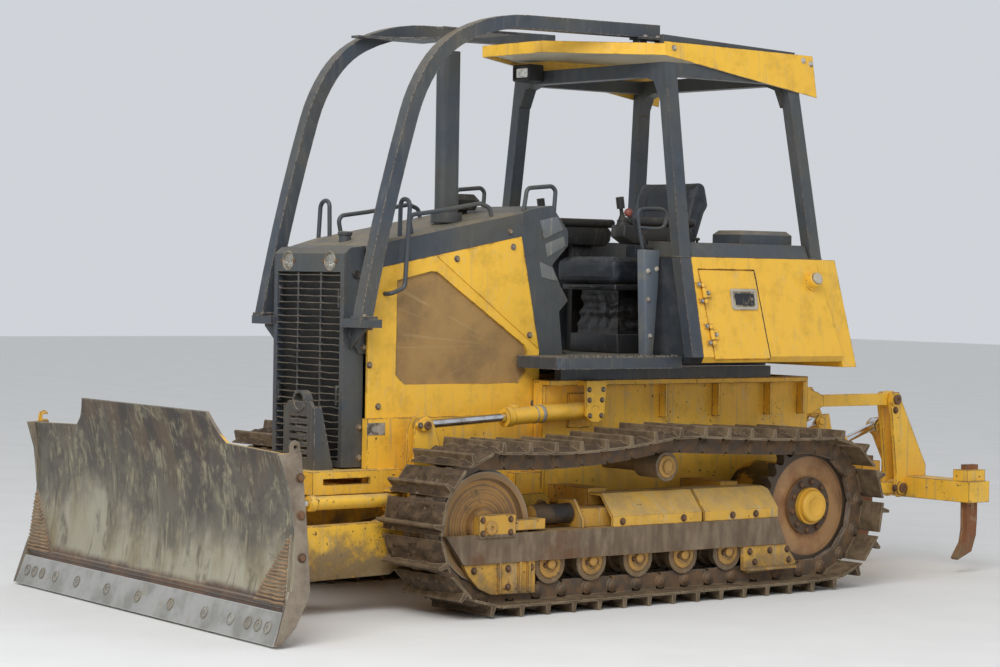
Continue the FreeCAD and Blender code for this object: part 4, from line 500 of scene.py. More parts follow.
def mottle(tree, scale, detail=5.0, rough=0.6, stretch=(1, 1, 1), turned_by=(0, 0, 0), shift=(0, 0, 0)):
    """Noise over the object, drawn out along an axis where that axis's stretch is small."""
    where = add(tree, "TexCoord").outputs["Object"]
    mapped = add(tree, "Mapping", Vector=where, Location=shift, Rotation=turned_by,
                 Scale=stretch).outputs[0]
    return add(tree, "TexNoise", Vector=mapped, Scale=scale, Detail=detail, Roughness=rough).outputs[0]


def parts_of(tree, output):
    """The x, y and z of the object's place or of its normal."""
    return add(tree, "SeparateXYZ", Vector=add(tree, "TexCoord").outputs[output]).outputs


def off_middle(tree):
    """How far the surface is from the machine's middle plane."""
    return sums(tree, "ABSOLUTE", sums(tree, "SUBTRACT", parts_of(tree, "Object")["X"], DATUM.x))


def effect(name, inputs, outputs):
    """An empty node group with named sockets: its tree, what it is given and what it puts out."""
    tree = bpy.data.node_groups.new(name, "ShaderNodeTree")
    for label, kind, value in inputs:
        socket = tree.interface.new_socket(label, in_out="INPUT", socket_type="NodeSocket" + kind)
        socket.default_value = value
    for label, kind in outputs:
        tree.interface.new_socket(label, in_out="OUTPUT", socket_type="NodeSocket" + kind)
    return tree, tree.nodes.new("NodeGroupInput").outputs, tree.nodes.new("NodeGroupOutput").inputs


def use(tree, name, **inputs):
    """Places an effect in a tree with its own values."""
    made = tree.nodes.new("ShaderNodeGroup")
    made.node_tree = bpy.data.node_groups[name]
    for key, value in inputs.items():
        feed(tree, made.inputs[key.replace("_", " ")], value)
    return made.outputs


def edge_wear_effect():
    """Worn: 1 where a sharp edge is near. Normal: the surface's, rounded at edges."""
    tree, given, wanted = effect("edge_wear", (("Radius", "Float", 0.01),),
                                 (("Worn", "Float"), ("Normal", "Vector")))
    wide = add(tree, "Bevel", samples=6, Radius=given["Radius"])
    flat = add(tree, "NewGeometry").outputs["Normal"]
    dot = add(tree, "VectorMath", operation="DOT_PRODUCT")
    tree.links.new(wide.outputs[0], dot.inputs[0])
    tree.links.new(flat, dot.inputs[1])
    tree.links.new(ramp(tree, dot.outputs["Value"], 0.995, 0.80), wanted["Worn"])
    round_edge = add(tree, "Bevel", samples=4, Radius=0.004)
    tree.links.new(round_edge.outputs[0], wanted["Normal"])


def scratch_effect():
    """Thin crossing scratches, 0 to 1."""
    tree, given, wanted = effect("scratches", (("Scale", "Float", 6.0), ("Width", "Float", 0.012)),
                                 (("Mask", "Float"),))
    total = 0.0
    for angle, stretch in ((0.35, 0.16), (-0.5, 0.2), (1.1, 0.22), (-1.25, 0.3)):
        where = add(tree, "TexCoord").outputs["Object"]
        mapped = add(tree, "Mapping", Vector=where, Rotation=(angle, 0.3 * angle, 0), Scale=(1, 1, stretch),
                     Location=(angle, 0, 0)).outputs[0]
        lines = add(tree, "TexNoise", Vector=mapped, Scale=given["Scale"], Detail=3.0, Roughness=0.45,
                    Distortion=0.7).outputs[0]
        off = sums(tree, "ABSOLUTE", sums(tree, "SUBTRACT", lines, 0.5 + 0.06 * angle))
        near = sums(tree, "SUBTRACT", 1.0, sums(tree, "DIVIDE", off, given["Width"]), clamp=True)
        total = near if total == 0.0 else sums(tree, "MAXIMUM", total, near)
    broken = ramp(tree, mottle(tree, 11.0, 3.0), 0.42, 0.62)
    tree.links.new(sums(tree, "MULTIPLY", total, broken, clamp=True), wanted["Mask"])


def weather_effect():
    """Paint with fading, run-off streaks, chips at edges, dust on upward faces and mud below a height."""
    tree, given, wanted = effect("weather", (
        ("Paint", "Color", srgb(240, 184, 40)), ("Bare", "Color", srgb(110, 70, 42)),
        ("Dust", "Color", srgb(158, 142, 112)),
        ("Mud", "Color", srgb(92, 78, 62)), ("Chips", "Float", 0.4), ("Specks", "Float", 0.2),
        ("Scratches", "Float", 0.2),
        ("Streaks", "Float", 0.3), ("Dusting", "Float", 0.3), ("Mud Height", "Float", 0.0),
        ("Gloss", "Float", 0.45)),
        (("Color", "Color"), ("Roughness", "Float"), ("Height", "Float"), ("Normal", "Vector")))
    up = parts_of(tree, "Normal")["Z"]
    height = parts_of(tree, "Object")["Z"]
    broad = mottle(tree, 1.7, 4.0)
    patchy = mottle(tree, 9.0, 8.0, 0.68)
    fine = mottle(tree, 70.0, 4.0)
    edge = use(tree, "edge_wear", Radius=0.011)
    faded = mix(tree, ramp(tree, broad, 0.40, 0.62, 0.0, 0.30), given["Paint"], srgb(244, 214, 140),
                "SOFT_LIGHT")
    shaded = mix(tree, ramp(tree, patchy, 0.45, 0.70, 0.0, 0.22), faded, srgb(96, 80, 58), "MULTIPLY")
    run_off = ramp(tree, mottle(tree, 1.0, 5.0, 0.6, (30, 30, 1.6)), 0.52, 0.74)
    steep = ramp(tree, sums(tree, "ABSOLUTE", up), 0.6, 0.2)
    streaked = sums(tree, "MULTIPLY", sums(tree, "MULTIPLY", run_off, steep), given["Streaks"], clamp=True)
    colour = mix(tree, streaked, shaded, given["Dust"])
    scratched = sums(tree, "MULTIPLY", use(tree, "scratches", Scale=5.0, Width=0.008)["Mask"],
                     given["Scratches"])
    colour = mix(tree, scratched, colour, srgb(190, 178, 150))
    broken = ramp(tree, patchy, 0.32, 0.60)
    edge_chip = sums(tree, "MULTIPLY", sums(tree, "MULTIPLY", edge["Worn"], broken), given["Chips"])
    speck = sums(tree, "MULTIPLY", ramp(tree, mottle(tree, 38.0, 3.0, 0.7), 0.63, 0.70), given["Specks"])
    speck = sums(tree, "MULTIPLY", speck, ramp(tree, broad, 0.40, 0.60, 0.2, 1.0))
    chip = ramp(tree, sums(tree, "ADD", edge_chip, speck), 0.22, 0.42)
    bare = blend(tree, fine, 0.4, 0.6, given["Bare"], srgb(58, 46, 38))
    colour = mix(tree, chip, colour, bare)
    upward = ramp(tree, up, 0.25, 0.92)
    lying = sums(tree, "MULTIPLY", upward, ramp(tree, patchy, 0.30, 0.62, 0.35, 1.0))
    film = ramp(tree, broad, 0.35, 0.70, 0.0, 0.18)
    dusty = sums(tree, "MULTIPLY", sums(tree, "MAXIMUM", lying, film), given["Dusting"], clamp=True)
    colour = mix(tree, dusty, colour, given["Dust"])
    below = sums(tree, "DIVIDE", sums(tree, "SUBTRACT", given["Mud Height"], height), 0.30)
    splash = sums(tree, "ADD", below, sums(tree, "MULTIPLY", sums(tree, "SUBTRACT", patchy, 0.5), 1.9))
    muddy = ramp(tree, splash, 0.0, 0.75)
    mud = mix(tree, ramp(tree, patchy, 0.35, 0.75, 0.0, 0.5), given["Mud"], given["Dust"])
    colour = mix(tree, sums(tree, "MULTIPLY", muddy, 0.92), colour, mud)
    dull = sums(tree, "MAXIMUM", sums(tree, "MAXIMUM", dusty, muddy), sums(tree, "MULTIPLY", chip, 0.7))
    grain = sums(tree, "ADD", given["Gloss"], sums(tree, "MULTIPLY", patchy, 0.12))
    rough = sums(tree, "ADD", grain, sums(tree, "MULTIPLY", dull, 0.40), clamp=True)
    lift = sums(tree, "MULTIPLY", muddy, sums(tree, "ADD", 0.4, patchy))
    relief = sums(tree, "SUBTRACT", sums(tree, "ADD", lift, sums(tree, "MULTIPLY", fine, 0.06)),
                  sums(tree, "MULTIPLY", chip, 0.25))
    tree.links.new(colour, wanted["Color"])
    tree.links.new(rough, wanted["Roughness"])
    tree.links.new(relief, wanted["Height"])
    tree.links.new(edge["Normal"], wanted["Normal"])


def material(name):
    made = bpy.data.materials.new(name)
    made.use_nodes = True
    tree = made.node_tree
    return made, tree, tree.nodes["Principled BSDF"]


def cover(tree, shader, colour, rough, height=None, depth=0.002, normal=None):
    """Feeds a material's shader."""
    feed(tree, shader.inputs["Base Color"], colour)
    feed(tree, shader.inputs["Roughness"], rough)
    if height is not None:
        bump = add(tree, "Bump", Height=height, Distance=depth, Strength=0.8)
        if normal is not None:
            tree.links.new(normal, bump.inputs["Normal"])
        tree.links.new(bump.outputs[0], shader.inputs["Normal"])


def weathered(name, paint, bare=None, **wear):
    """A painted finish with its own amounts of wear."""
    finish = settings()[0]
    made, tree, shader = material(name)
    wear["Chips"] = wear.get("Chips", 0.4) * finish.wear
    out = use(tree, "weather", Paint=paint, Bare=bare or finish.rust, Dust=finish.dust, Mud=finish.mud,
              **wear)
    cover(tree, shader, out["Color"], out["Roughness"], out["Height"], 0.003, out["Normal"])
    return tree, shader, out


# Finishes, one function each

# Painted finishes that differ only in colour and wear: the paint, what is bare under it, then how much of
# each kind of wear. A colour in words is one of the settings
WEAR = ("Chips", "Specks", "Streaks", "Dusting", "Scratches", "Mud_Height", "Gloss")
PAINTED = {
    "body_yellow": ("paint", "rust", 0.42, 0.3, 0.2, 0.3, 0.25, 0.0, 0.36),
    "low_yellow": ("paint", "rust", 0.85, 0.85, 0.55, 0.65, 0.4, 0.42, 0.42),
    "cover_yellow": (srgb(214, 166, 62), "rust", 1.1, 1.0, 0.8, 0.75, 0.7, 0.3, 0.5),
    "frame_slate": ("slate", srgb(124, 112, 98), 0.55, 0.1, 0.08, 0.26, 0.04, 0.0, 0.36),
    "dusty_slate": ("slate", srgb(120, 104, 88), 0.45, 0.15, 0.1, 0.62, 0.04, 0.0, 0.38),
    "worn_slate": ("slate", srgb(146, 134, 118), 1.2, 0.4, 0.12, 0.45, 0.08, 0.0, 0.38),
    "bar_black": (srgb(44, 48, 53), srgb(118, 118, 116), 0.8, 0.3, 0.0, 0.45, 0.0, 0.0, 0.42),
    "bolt_steel": (srgb(128, 122, 112), srgb(104, 72, 46), 0.8, 0.9, 0.1, 0.4, 0.0, 0.0, 0.45),
    "rusty_bolt": (srgb(106, 74, 50), srgb(66, 50, 40), 0.8, 0.9, 0.1, 0.4, 0.0, 0.0, 0.6),
    "bright_bolt": (srgb(176, 174, 168), srgb(120, 92, 62), 0.4, 0.4, 0.1, 0.3, 0.0, 0.0, 0.36),
    "worn_ring": (srgb(150, 150, 146), srgb(98, 80, 62), 0.9, 0.5, 0.1, 0.3, 0.0, 0.0, 0.42),
    "facet_grey": (srgb(98, 105, 114), srgb(150, 140, 124), 0.4, 0.3, 0.25, 0.35, 0.5, 0.0, 0.42),
    "latch_beige": (srgb(178, 170, 152), srgb(116, 100, 80), 0.5, 0.4, 0.2, 0.3, 0.3, 0.0, 0.5),
    "shank_rust": (srgb(120, 74, 44), srgb(70, 50, 40), 0.5, 1.0, 0.5, 0.4, 0.4, 0.2, 0.6),
    "roller_steel": (srgb(116, 96, 72), srgb(146, 138, 126), 1.0, 0.6, 0.2, 0.5, 0.3, 0.22, 0.55),
    "ochre_hub": (srgb(176, 134, 66), "rust", 1.0, 0.9, 0.3, 0.5, 0.2, 0.2, 0.55),
    "plastic": (srgb(38, 40, 44), srgb(64, 64, 64), 0.25, 0.1, 0.05, 0.15, 0.2, 0.0, 0.55),
    "plate_grey": (srgb(150, 148, 142), srgb(90, 84, 76), 0.5, 0.5, 0.2, 0.3, 0.6, 0.0, 0.45),
    "oily_grey": (srgb(52, 52, 50), srgb(80, 66, 54), 0.4, 0.4, 0.3, 0.6, 0.1, 0.0, 0.5),
}


def paint_finishes():
    finish = settings()[0]
    for name, (paint, bare, *amounts) in PAINTED.items():
        paint, bare = (getattr(finish, colour) if isinstance(colour, str) else colour for colour in (paint,
                                                                                                     bare))
        weathered(name, paint, bare, **dict(zip(WEAR, amounts)))


SIDE_BAR = (0.243, 0.386)       # foot and top of the track frame's long bar
RAM_ENDS = (-0.744, -0.502)     # front and rear of the bare recoil ram
RAM_FOOT = 0.396


def side_frame_finish():
    """Track frames: yellow, with the long side bar scoured to brown steel."""
    tree, shader, out = weathered("track_frame", srgb(196, 150, 58), Chips=1.2, Specks=1.3, Streaks=0.9,
                                  Dusting=0.6,
                                  Scratches=0.6, Mud_Height=0.24, Gloss=0.55)
    height = parts_of(tree, "Object")["Z"]
    streak = ramp(tree, mottle(tree, 1.0, 7.0, 0.66, (17, 17, 5.0)), 0.34, 0.70)
    brown = mix(tree, streak, srgb(98, 80, 62), srgb(134, 116, 92))
    brown = blend(tree, mottle(tree, 3.0, 6.0), 0.52, 0.66, brown, srgb(104, 70, 44))
    colour = mix(tree, band(tree, height, *SIDE_BAR, 0.006), out["Color"], brown)
    back = sums(tree, "SUBTRACT", parts_of(tree, "Object")["Y"], DATUM.y)
    above = ramp(tree, height, RAM_FOOT, RAM_FOOT + 0.004)
    ram = sums(tree, "MULTIPLY", band(tree, back, *RAM_ENDS, 0.004), above)
    oily = blend(tree, mottle(tree, 9.0, 6.0), 0.42, 0.62, srgb(40, 35, 31), srgb(84, 66, 46))
    feed(tree, shader.inputs["Base Color"], mix(tree, ram, colour, oily))


def distance_from(tree, y, z):
    """How far the surface is from a line across the machine."""
    where = add(tree, "TexCoord").outputs["Object"]
    centred = add(tree, "Mapping", Vector=where, Location=(0, -y, -z), Scale=(0, 1, 1)).outputs[0]
    return add(tree, "VectorMath", operation="LENGTH", Vector=centred).outputs["Value"]


IDLER_RIM, IDLER_TREAD = (0.222, 0.240), (0.2585, 0.2605)      # radii between which its finish changes


def idler_finish():
    """Cast wheel with rings of rust and ochre on its sides and a polished tread."""
    made, tree, shader = material("idler_cast")
    radius = distance_from(tree, DATUM.y + IDLER_Y, IDLER_Z)
    rings = add(tree, "TexNoise", noise_dimensions="1D", W=sums(tree, "MULTIPLY", radius, 40.0), Scale=1.6,
                Detail=4.0).outputs[0]
    broken = sums(tree, "ADD", rings, sums(tree, "MULTIPLY", sums(tree, "SUBTRACT", mottle(tree, 4.0, 6.0),
                                                                  0.5), 0.9))
    colour = blend(tree, broken, 0.36, 0.64, srgb(122, 94, 64), srgb(172, 130, 74))
    colour = blend(tree, mottle(tree, 7.0, 7.0, 0.7), 0.54, 0.68, colour, srgb(98, 82, 62))
    colour = blend(tree, radius, *IDLER_RIM, colour, srgb(148, 118, 82))
    colour = blend(tree, radius, *IDLER_TREAD, colour, srgb(150, 146, 138))
    fine = mottle(tree, 60.0, 5.0)
    cover(tree, shader, colour, ramp(tree, rings, 0.3, 0.7, 0.55, 0.8), sums(tree, "ADD", fine, rings),
          0.0012)


# Radii from the sprocket's middle between which the finish changes
DISC_RIM, TOOTH_ROOT, DRIVE_RING, DRIVE_CAP = (0.17, 0.26), (0.252, 0.262), (0.151, 0.149), (0.104, 0.100)


def sprocket_finish():
    """Tan disc, dark teeth and a dark bolted ring."""
    made, tree, shader = material("sprocket_steel")
    radius = distance_from(tree, DATUM.y + SPROCKET_Y, SPROCKET_Z)
    patch = mottle(tree, 5.0, 7.0, 0.65)
    tan = blend(tree, patch, 0.38, 0.62, srgb(182, 138, 90), srgb(150, 104, 66))
    tan = mix(tree, ramp(tree, radius, *DISC_RIM, 0.0, 0.35), tan, srgb(140, 120, 96))
    colour = blend(tree, radius, *TOOTH_ROOT, tan, srgb(78, 64, 50))
    colour = blend(tree, radius, *DRIVE_RING, colour, srgb(88, 70, 54))
    fine = mottle(tree, 80.0, 5.0)
    cover(tree, shader, colour, ramp(tree, patch, 0.3, 0.7, 0.45, 0.65), sums(tree, "ADD", fine, patch),
          0.001)


def final_drive_finish():
    """Yellow cap outside; dark oily casting with yellow left in patches behind."""
    made, tree, shader = material("drive_casting")
    radius = distance_from(tree, DATUM.y + SPROCKET_Y, SPROCKET_Z)
    patch = mottle(tree, 7.0, 8.0, 0.7)
    casting = blend(tree, patch, 0.50, 0.58, srgb(60, 50, 42), srgb(190, 146, 50))
    cap = blend(tree, patch, 0.55, 0.70, srgb(222, 170, 60), srgb(160, 118, 60))
    colour = blend(tree, radius, *DRIVE_CAP, casting, cap)
    cover(tree, shader, colour, ramp(tree, patch, 0.3, 0.7, 0.35, 0.6), patch, 0.001)


# Heights, or places out from the middle, between which one look of the blade gives way to the next
PALE_TO_DARK, DARK_TO_TOP, RUSTY_FOOT = (0.30, 0.56), (0.66, 0.90), (0.225, 0.185)
BLADE_ENDS, BLADE_TOP, LEFT_BRACKET = (1.00, 1.02), (0.86, 0.88), (1.15, 1.17)
SCOURED = (srgb(138, 126, 108), srgb(104, 90, 76))


def blade_finish():
    """Scoured board: dark and scratched above, polished pale below, yellow behind and grey at its ends."""
    finish = settings()[0]
    tree, shader, out = weathered("blade_board", finish.paint, Chips=0.9, Specks=0.9, Streaks=0.5,
                                  Dusting=0.6,
                                  Scratches=0.4, Mud_Height=0.35, Gloss=0.45)
    height = parts_of(tree, "Object")["Z"]
    normal = parts_of(tree, "Normal")
    swirl = mottle(tree, 4.0, 7.0, 0.66)
    smear = mottle(tree, 1.0, 6.0, 0.62, (6, 6, 1.8), (0, 0.35, 0))
    cloud = mottle(tree, 1.6, 4.0, 0.55)
    uneven = sums(tree, "ADD", sums(tree, "MULTIPLY", swirl, 0.5), sums(tree, "MULTIPLY", smear, 0.35))
    wander = sums(tree, "SUBTRACT", sums(tree, "ADD", uneven, sums(tree, "MULTIPLY", cloud, 0.6)), 0.725)
    level = sums(tree, "ADD", height, wander)
    dark = blend(tree, swirl, 0.40, 0.60, srgb(74, 68, 60), srgb(102, 97, 84))
    pale = blend(tree, smear, 0.42, 0.66, srgb(158, 152, 132), srgb(138, 126, 98))
    top = blend(tree, smear, 0.44, 0.62, srgb(62, 54, 48), srgb(92, 76, 60))
    face = blend(tree, level, *PALE_TO_DARK, pale, dark)
    face = blend(tree, level, *DARK_TO_TOP, face, top)
    for scale, share in ((5.0, 0.60), (9.0, 0.45), (14.0, 0.30)):
        light = use(tree, "scratches", Scale=scale, Width=0.016)["Mask"]
        light = sums(tree, "MULTIPLY", light, ramp(tree, level, 0.28, 0.55, 0.10, share))
        face = mix(tree, light, face, srgb(164, 156, 124))
    marks = use(tree, "scratches", Scale=2.6, Width=0.020)["Mask"]
    face = mix(tree, sums(tree, "MULTIPLY", marks, 0.60), face, srgb(56, 52, 46))
    stain = ramp(tree, mottle(tree, 1.0, 4.0, 0.6, (26, 26, 5)), 0.64, 0.74)
    face = mix(tree, sums(tree, "MULTIPLY", stain, 0.30), face, srgb(150, 120, 70))
    foot = ramp(tree, sums(tree, "ADD", height, sums(tree, "MULTIPLY", wander, 0.12)), *RUSTY_FOOT)
    face = mix(tree, foot, face, blend(tree, swirl, 0.4, 0.6, srgb(70, 52, 42), srgb(104, 76, 54)))
    edge = use(tree, "edge_wear", Radius=0.010)["Worn"]
    face = mix(tree, sums(tree, "MULTIPLY", edge, 0.6), face, srgb(176, 170, 156))
    ends = blend(tree, swirl, 0.40, 0.62, *SCOURED)
    front = ramp(tree, sums(tree, "MULTIPLY", normal["Y"], -1.0), 0.45, 0.60)
    off = off_middle(tree)
    high = ramp(tree, height, *BLADE_TOP)
    outer = sums(tree, "MAXIMUM", ramp(tree, off, *BLADE_ENDS), high)
    side = sums(tree, "MULTIPLY", ramp(tree, sums(tree, "ABSOLUTE", normal["X"]), 0.45, 0.60), outer)
    rim = sums(tree, "MULTIPLY", ramp(tree, normal["Z"], 0.5, 0.8), high)
    painted = mix(tree, sums(tree, "MAXIMUM", side, rim), out["Color"], ends)
    colour = mix(tree, front, painted, face)
    feed(tree, shader.inputs["Base Color"], colour)
    rough = sums(tree, "ADD", 0.42, sums(tree, "MULTIPLY", swirl, 0.3))
    rough = sums(tree, "SUBTRACT", rough, sums(tree, "MULTIPLY", ramp(tree, level, 0.55, 0.35), 0.12))
    feed(tree, shader.inputs["Roughness"], rough)


def bracket_finish():
    """Brackets on the blade: yellow behind, scoured grey at its left end."""
    tree, shader, out = weathered("bracket_yellow", settings()[0].paint, Chips=0.85, Specks=0.85,
                                  Streaks=0.5, Dusting=0.6,
                                  Scratches=0.4, Gloss=0.42)
    across = parts_of(tree, "Object")["X"]
    left = ramp(tree, across, *(DATUM.x + x for x in LEFT_BRACKET))
    scoured = blend(tree, mottle(tree, 4.0, 7.0, 0.66), 0.40, 0.62, *SCOURED)
    feed(tree, shader.inputs["Base Color"], mix(tree, left, out["Color"], scoured))


def edge_plate_finish():
    """Cutting edge: pale scoured steel, bright at its borders."""
    made, tree, shader = material("edge_plate")
    patch = mottle(tree, 5.0, 7.0, 0.65)
    colour = blend(tree, patch, 0.38, 0.64, srgb(170, 169, 164), srgb(142, 140, 134))
    colour = mix(tree, ramp(tree, mottle(tree, 1.0, 4.0, 0.6, (24, 24, 4)), 0.58, 0.72, 0.0, 0.6), colour,
                 srgb(162, 148, 118))
    edge = use(tree, "edge_wear", Radius=0.008)
    colour = mix(tree, edge["Worn"], colour, srgb(206, 206, 202))
    fine = mottle(tree, 90.0, 4.0, 0.6, (1, 1, 0.3))
    cover(tree, shader, colour, ramp(tree, patch, 0.3, 0.7, 0.34, 0.52), sums(tree, "ADD", fine, patch),
          0.0008, edge["Normal"])
    shader.inputs["Metallic"].default_value = 0.35


def wear_rib_finish():
    """Weld ribs on the blade's corners: orange rust in the hollows, cream on the crowns."""
    made, tree, shader = material("weld_ribs")
    patch = mottle(tree, 14.0, 6.0, 0.7)
    colour = blend(tree, patch, 0.36, 0.60, srgb(150, 116, 80), srgb(112, 84, 58))
    edge = use(tree, "edge_wear", Radius=0.006)
    crown = ramp(tree, sums(tree, "MULTIPLY", parts_of(tree, "Normal")["Y"], -1.0), 0.80, 0.98, 0.0, 0.7)
    colour = mix(tree, crown, colour, srgb(186, 164, 128))
    cover(tree, shader, colour, 0.62, mottle(tree, 80.0, 4.0), 0.001, edge["Normal"])


def track_finishes():
    """Mud, shoe plates, links and the polished rails of the chains."""
    finish = settings()[0]
    made, tree, shader = material("packed_mud")
    clod = mottle(tree, 16.0, 8.0, 0.72)
    grit = mottle(tree, 90.0, 6.0, 0.7)
    colour = blend(tree, clod, 0.40, 0.62, srgb(66, 52, 38), finish.mud)
    colour = blend(tree, grit, 0.60, 0.72, colour, srgb(142, 124, 96))
    cover(tree, shader, colour, ramp(tree, clod, 0.3, 0.6, 0.72, 0.95),
          sums(tree, "ADD", clod, sums(tree, "MULTIPLY", grit, 0.4)), 0.012)

    made, tree, shader = material("shoe_plate")
    patch = mottle(tree, 10.0, 8.0, 0.7)
    edge = use(tree, "edge_wear", Radius=0.009)
    colour = blend(tree, patch, 0.38, 0.60, srgb(116, 98, 74), srgb(82, 66, 48))
    colour = mix(tree, sums(tree, "MULTIPLY", edge["Worn"], 0.70), colour, srgb(156, 140, 112))
    cover(tree, shader, colour, ramp(tree, patch, 0.3, 0.7, 0.55, 0.85), patch, 0.004, edge["Normal"])

    made, tree, shader = material("link_steel")
    patch = mottle(tree, 16.0, 7.0, 0.7)
    edge = use(tree, "edge_wear", Radius=0.006)
    colour = blend(tree, patch, 0.40, 0.62, srgb(84, 70, 56), srgb(116, 88, 60))
    colour = mix(tree, sums(tree, "MULTIPLY", edge["Worn"], 0.6), colour, srgb(150, 130, 100))
    cover(tree, shader, colour, ramp(tree, patch, 0.3, 0.7, 0.5, 0.8), patch, 0.003, edge["Normal"])

    made, tree, shader = material("polished_rail")
    patch = mottle(tree, 12.0, 5.0)
    colour = blend(tree, patch, 0.45, 0.70, srgb(176, 176, 174), srgb(130, 120, 104))
    cover(tree, shader, colour, ramp(tree, patch, 0.3, 0.7, 0.25, 0.5),
          mottle(tree, 70.0, 3.0, 0.5, (0.2, 1, 1)), 0.0006)
    shader.inputs["Metallic"].default_value = 0.8


def chrome_finish():
    made, tree, shader = material("polished_chrome")
    film = mottle(tree, 12.0, 5.0)
    colour = blend(tree, film, 0.45, 0.75, srgb(214, 216, 220), srgb(168, 160, 148))
    cover(tree, shader, colour, ramp(tree, film, 0.3, 0.7, 0.10, 0.26), mottle(tree, 120.0, 2.0), 0.0002)
    shader.inputs["Metallic"].default_value = 1.0


SCREEN_CORNER = (-0.560, 1.245)         # lower rear corner of the side screens, (y, z)


def screen_finish():
    """Fine brown screens with wiped streaks that fan out from the lower rear, and painted shade in their
    holes.
    """
    made, tree, shader = material("screen_mesh")
    place = parts_of(tree, "Object")
    patch = mottle(tree, 3.4, 7.0, 0.65)
    colour = blend(tree, patch, 0.38, 0.64, srgb(180, 142, 86), srgb(148, 118, 76))
    back = sums(tree, "SUBTRACT", place["Y"], DATUM.y + SCREEN_CORNER[0])
    rise = sums(tree, "SUBTRACT", place["Z"], SCREEN_CORNER[1])
    angle = sums(tree, "ARCTAN2", rise, back)
    rays = add(tree, "TexNoise", noise_dimensions="1D", W=angle, Scale=9.0, Detail=6.0,
               Roughness=0.7).outputs[0]
    wiped = sums(tree, "MULTIPLY", ramp(tree, rays, 0.58, 0.70), ramp(tree, mottle(tree, 7.0), 0.35, 0.60))
    colour = mix(tree, sums(tree, "MULTIPLY", wiped, 0.45), colour, srgb(196, 170, 122))
    where = add(tree, "TexCoord").outputs["Object"]
    holes = add(tree, "TexVoronoi", voronoi_dimensions="3D", Vector=where, Scale=230.0,
                Randomness=0.25).outputs["Distance"]
    # Dark dots of painted shade in the screen's holes, where the space behind would be dark; the same dots
    # are sunk in the bump
    hole_shade = ramp(tree, holes, 0.42, 0.26)
    colour = mix(tree, sums(tree, "MULTIPLY", hole_shade, 0.36), colour, srgb(66, 54, 40))
    cover(tree, shader, colour, 0.7, sums(tree, "SUBTRACT", patch, hole_shade), 0.0012)


FIN_PITCH = 0.003


def radiator_finish():
    made, tree, shader = material("radiator_fins")
    across = parts_of(tree, "Object")["X"]
    fins = add(tree, "Math", operation="PINGPONG")
    feed(tree, fins.inputs[0], across)
    fins.inputs[1].default_value = FIN_PITCH
    patch = mottle(tree, 6.0, 5.0)
    colour = blend(tree, patch, 0.4, 0.65, srgb(22, 23, 25), srgb(44, 42, 38))
    cover(tree, shader, colour, 0.6, fins.outputs[0], 0.5)


def roof_finish():
    """Canopy roof: yellow fascia and skirts, slate on top and cream below."""
    finish = settings()[0]
    tree, shader, out = weathered("canopy_roof", finish.paint, Chips=0.4, Specks=0.25, Streaks=0.35,
                                  Dusting=0.25,
                                  Scratches=0.2, Gloss=0.38)
    up = parts_of(tree, "Normal")["Z"]
    colour = blend(tree, up, 0.6, 0.8, out["Color"], srgb(70, 76, 82))
    colour = blend(tree, up, -0.6, -0.8, colour, srgb(206, 196, 168))
    feed(tree, shader.inputs["Base Color"], colour)


def side_box_finish():
    """Fender boxes: yellow outside, slate where they face the doorway and the seat."""
    finish = settings()[0]
    tree, shader, out = weathered("box_yellow", finish.paint, Chips=0.42, Specks=0.30, Streaks=0.20,
                                  Dusting=0.30,
                                  Scratches=0.15, Gloss=0.36)
    off = off_middle(tree)
    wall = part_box("side_box_left")[0][0] - DATUM.x
    inner = ramp(tree, off, wall + 0.004, wall + 0.002)
    ahead = ramp(tree, parts_of(tree, "Normal")["Y"], -0.80, -0.90)
    patch = blend(tree, mottle(tree, 8.0, 6.0), 0.4, 0.7, srgb(50, 54, 60), srgb(72, 74, 76))
    feed(tree, shader.inputs["Base Color"], mix(tree, sums(tree, "MAXIMUM", inner, ahead), out["Color"],
                                                patch))


def vinyl_finish():
    made, tree, shader = material("worn_vinyl")
    where = add(tree, "TexCoord").outputs["Object"]
    grain = add(tree, "TexVoronoi", feature="F1", Vector=where, Scale=420.0).outputs["Distance"]
    crease = mottle(tree, 14.0, 8.0, 0.7)
    dusty = ramp(tree, parts_of(tree, "Normal")["Z"], 0.2, 0.95, 0.0, 0.30)
    dusty = sums(tree, "MULTIPLY", dusty, ramp(tree, crease, 0.35, 0.65))
    colour = blend(tree, crease, 0.4, 0.65, srgb(36, 40, 46), srgb(54, 58, 64))
    colour = mix(tree, dusty, colour, srgb(126, 120, 108))
    relief = sums(tree, "ADD", sums(tree, "MULTIPLY", grain, 0.35), crease)
    cover(tree, shader, colour, ramp(tree, crease, 0.3, 0.7, 0.42, 0.62), relief, 0.0012)


def rubber_finish():
    made, tree, shader = material("black_rubber")
    patch = mottle(tree, 22.0, 6.0, 0.7)
    colour = blend(tree, patch, 0.42, 0.66, srgb(30, 29, 28), srgb(70, 62, 52))
    cover(tree, shader, colour, ramp(tree, patch, 0.3, 0.7, 0.5, 0.8), patch, 0.0015)

    made, tree, shader = material("bellows_skin")
    crease = mottle(tree, 26.0, 6.0, 0.7)
    colour = blend(tree, crease, 0.45, 0.70, srgb(26, 26, 28), srgb(58, 54, 48))
    cover(tree, shader, colour, ramp(tree, crease, 0.3, 0.7, 0.26, 0.55), crease, 0.0025)


STAND_FROM = 0.42                       # the lever stand is farther out than this, the pods are not


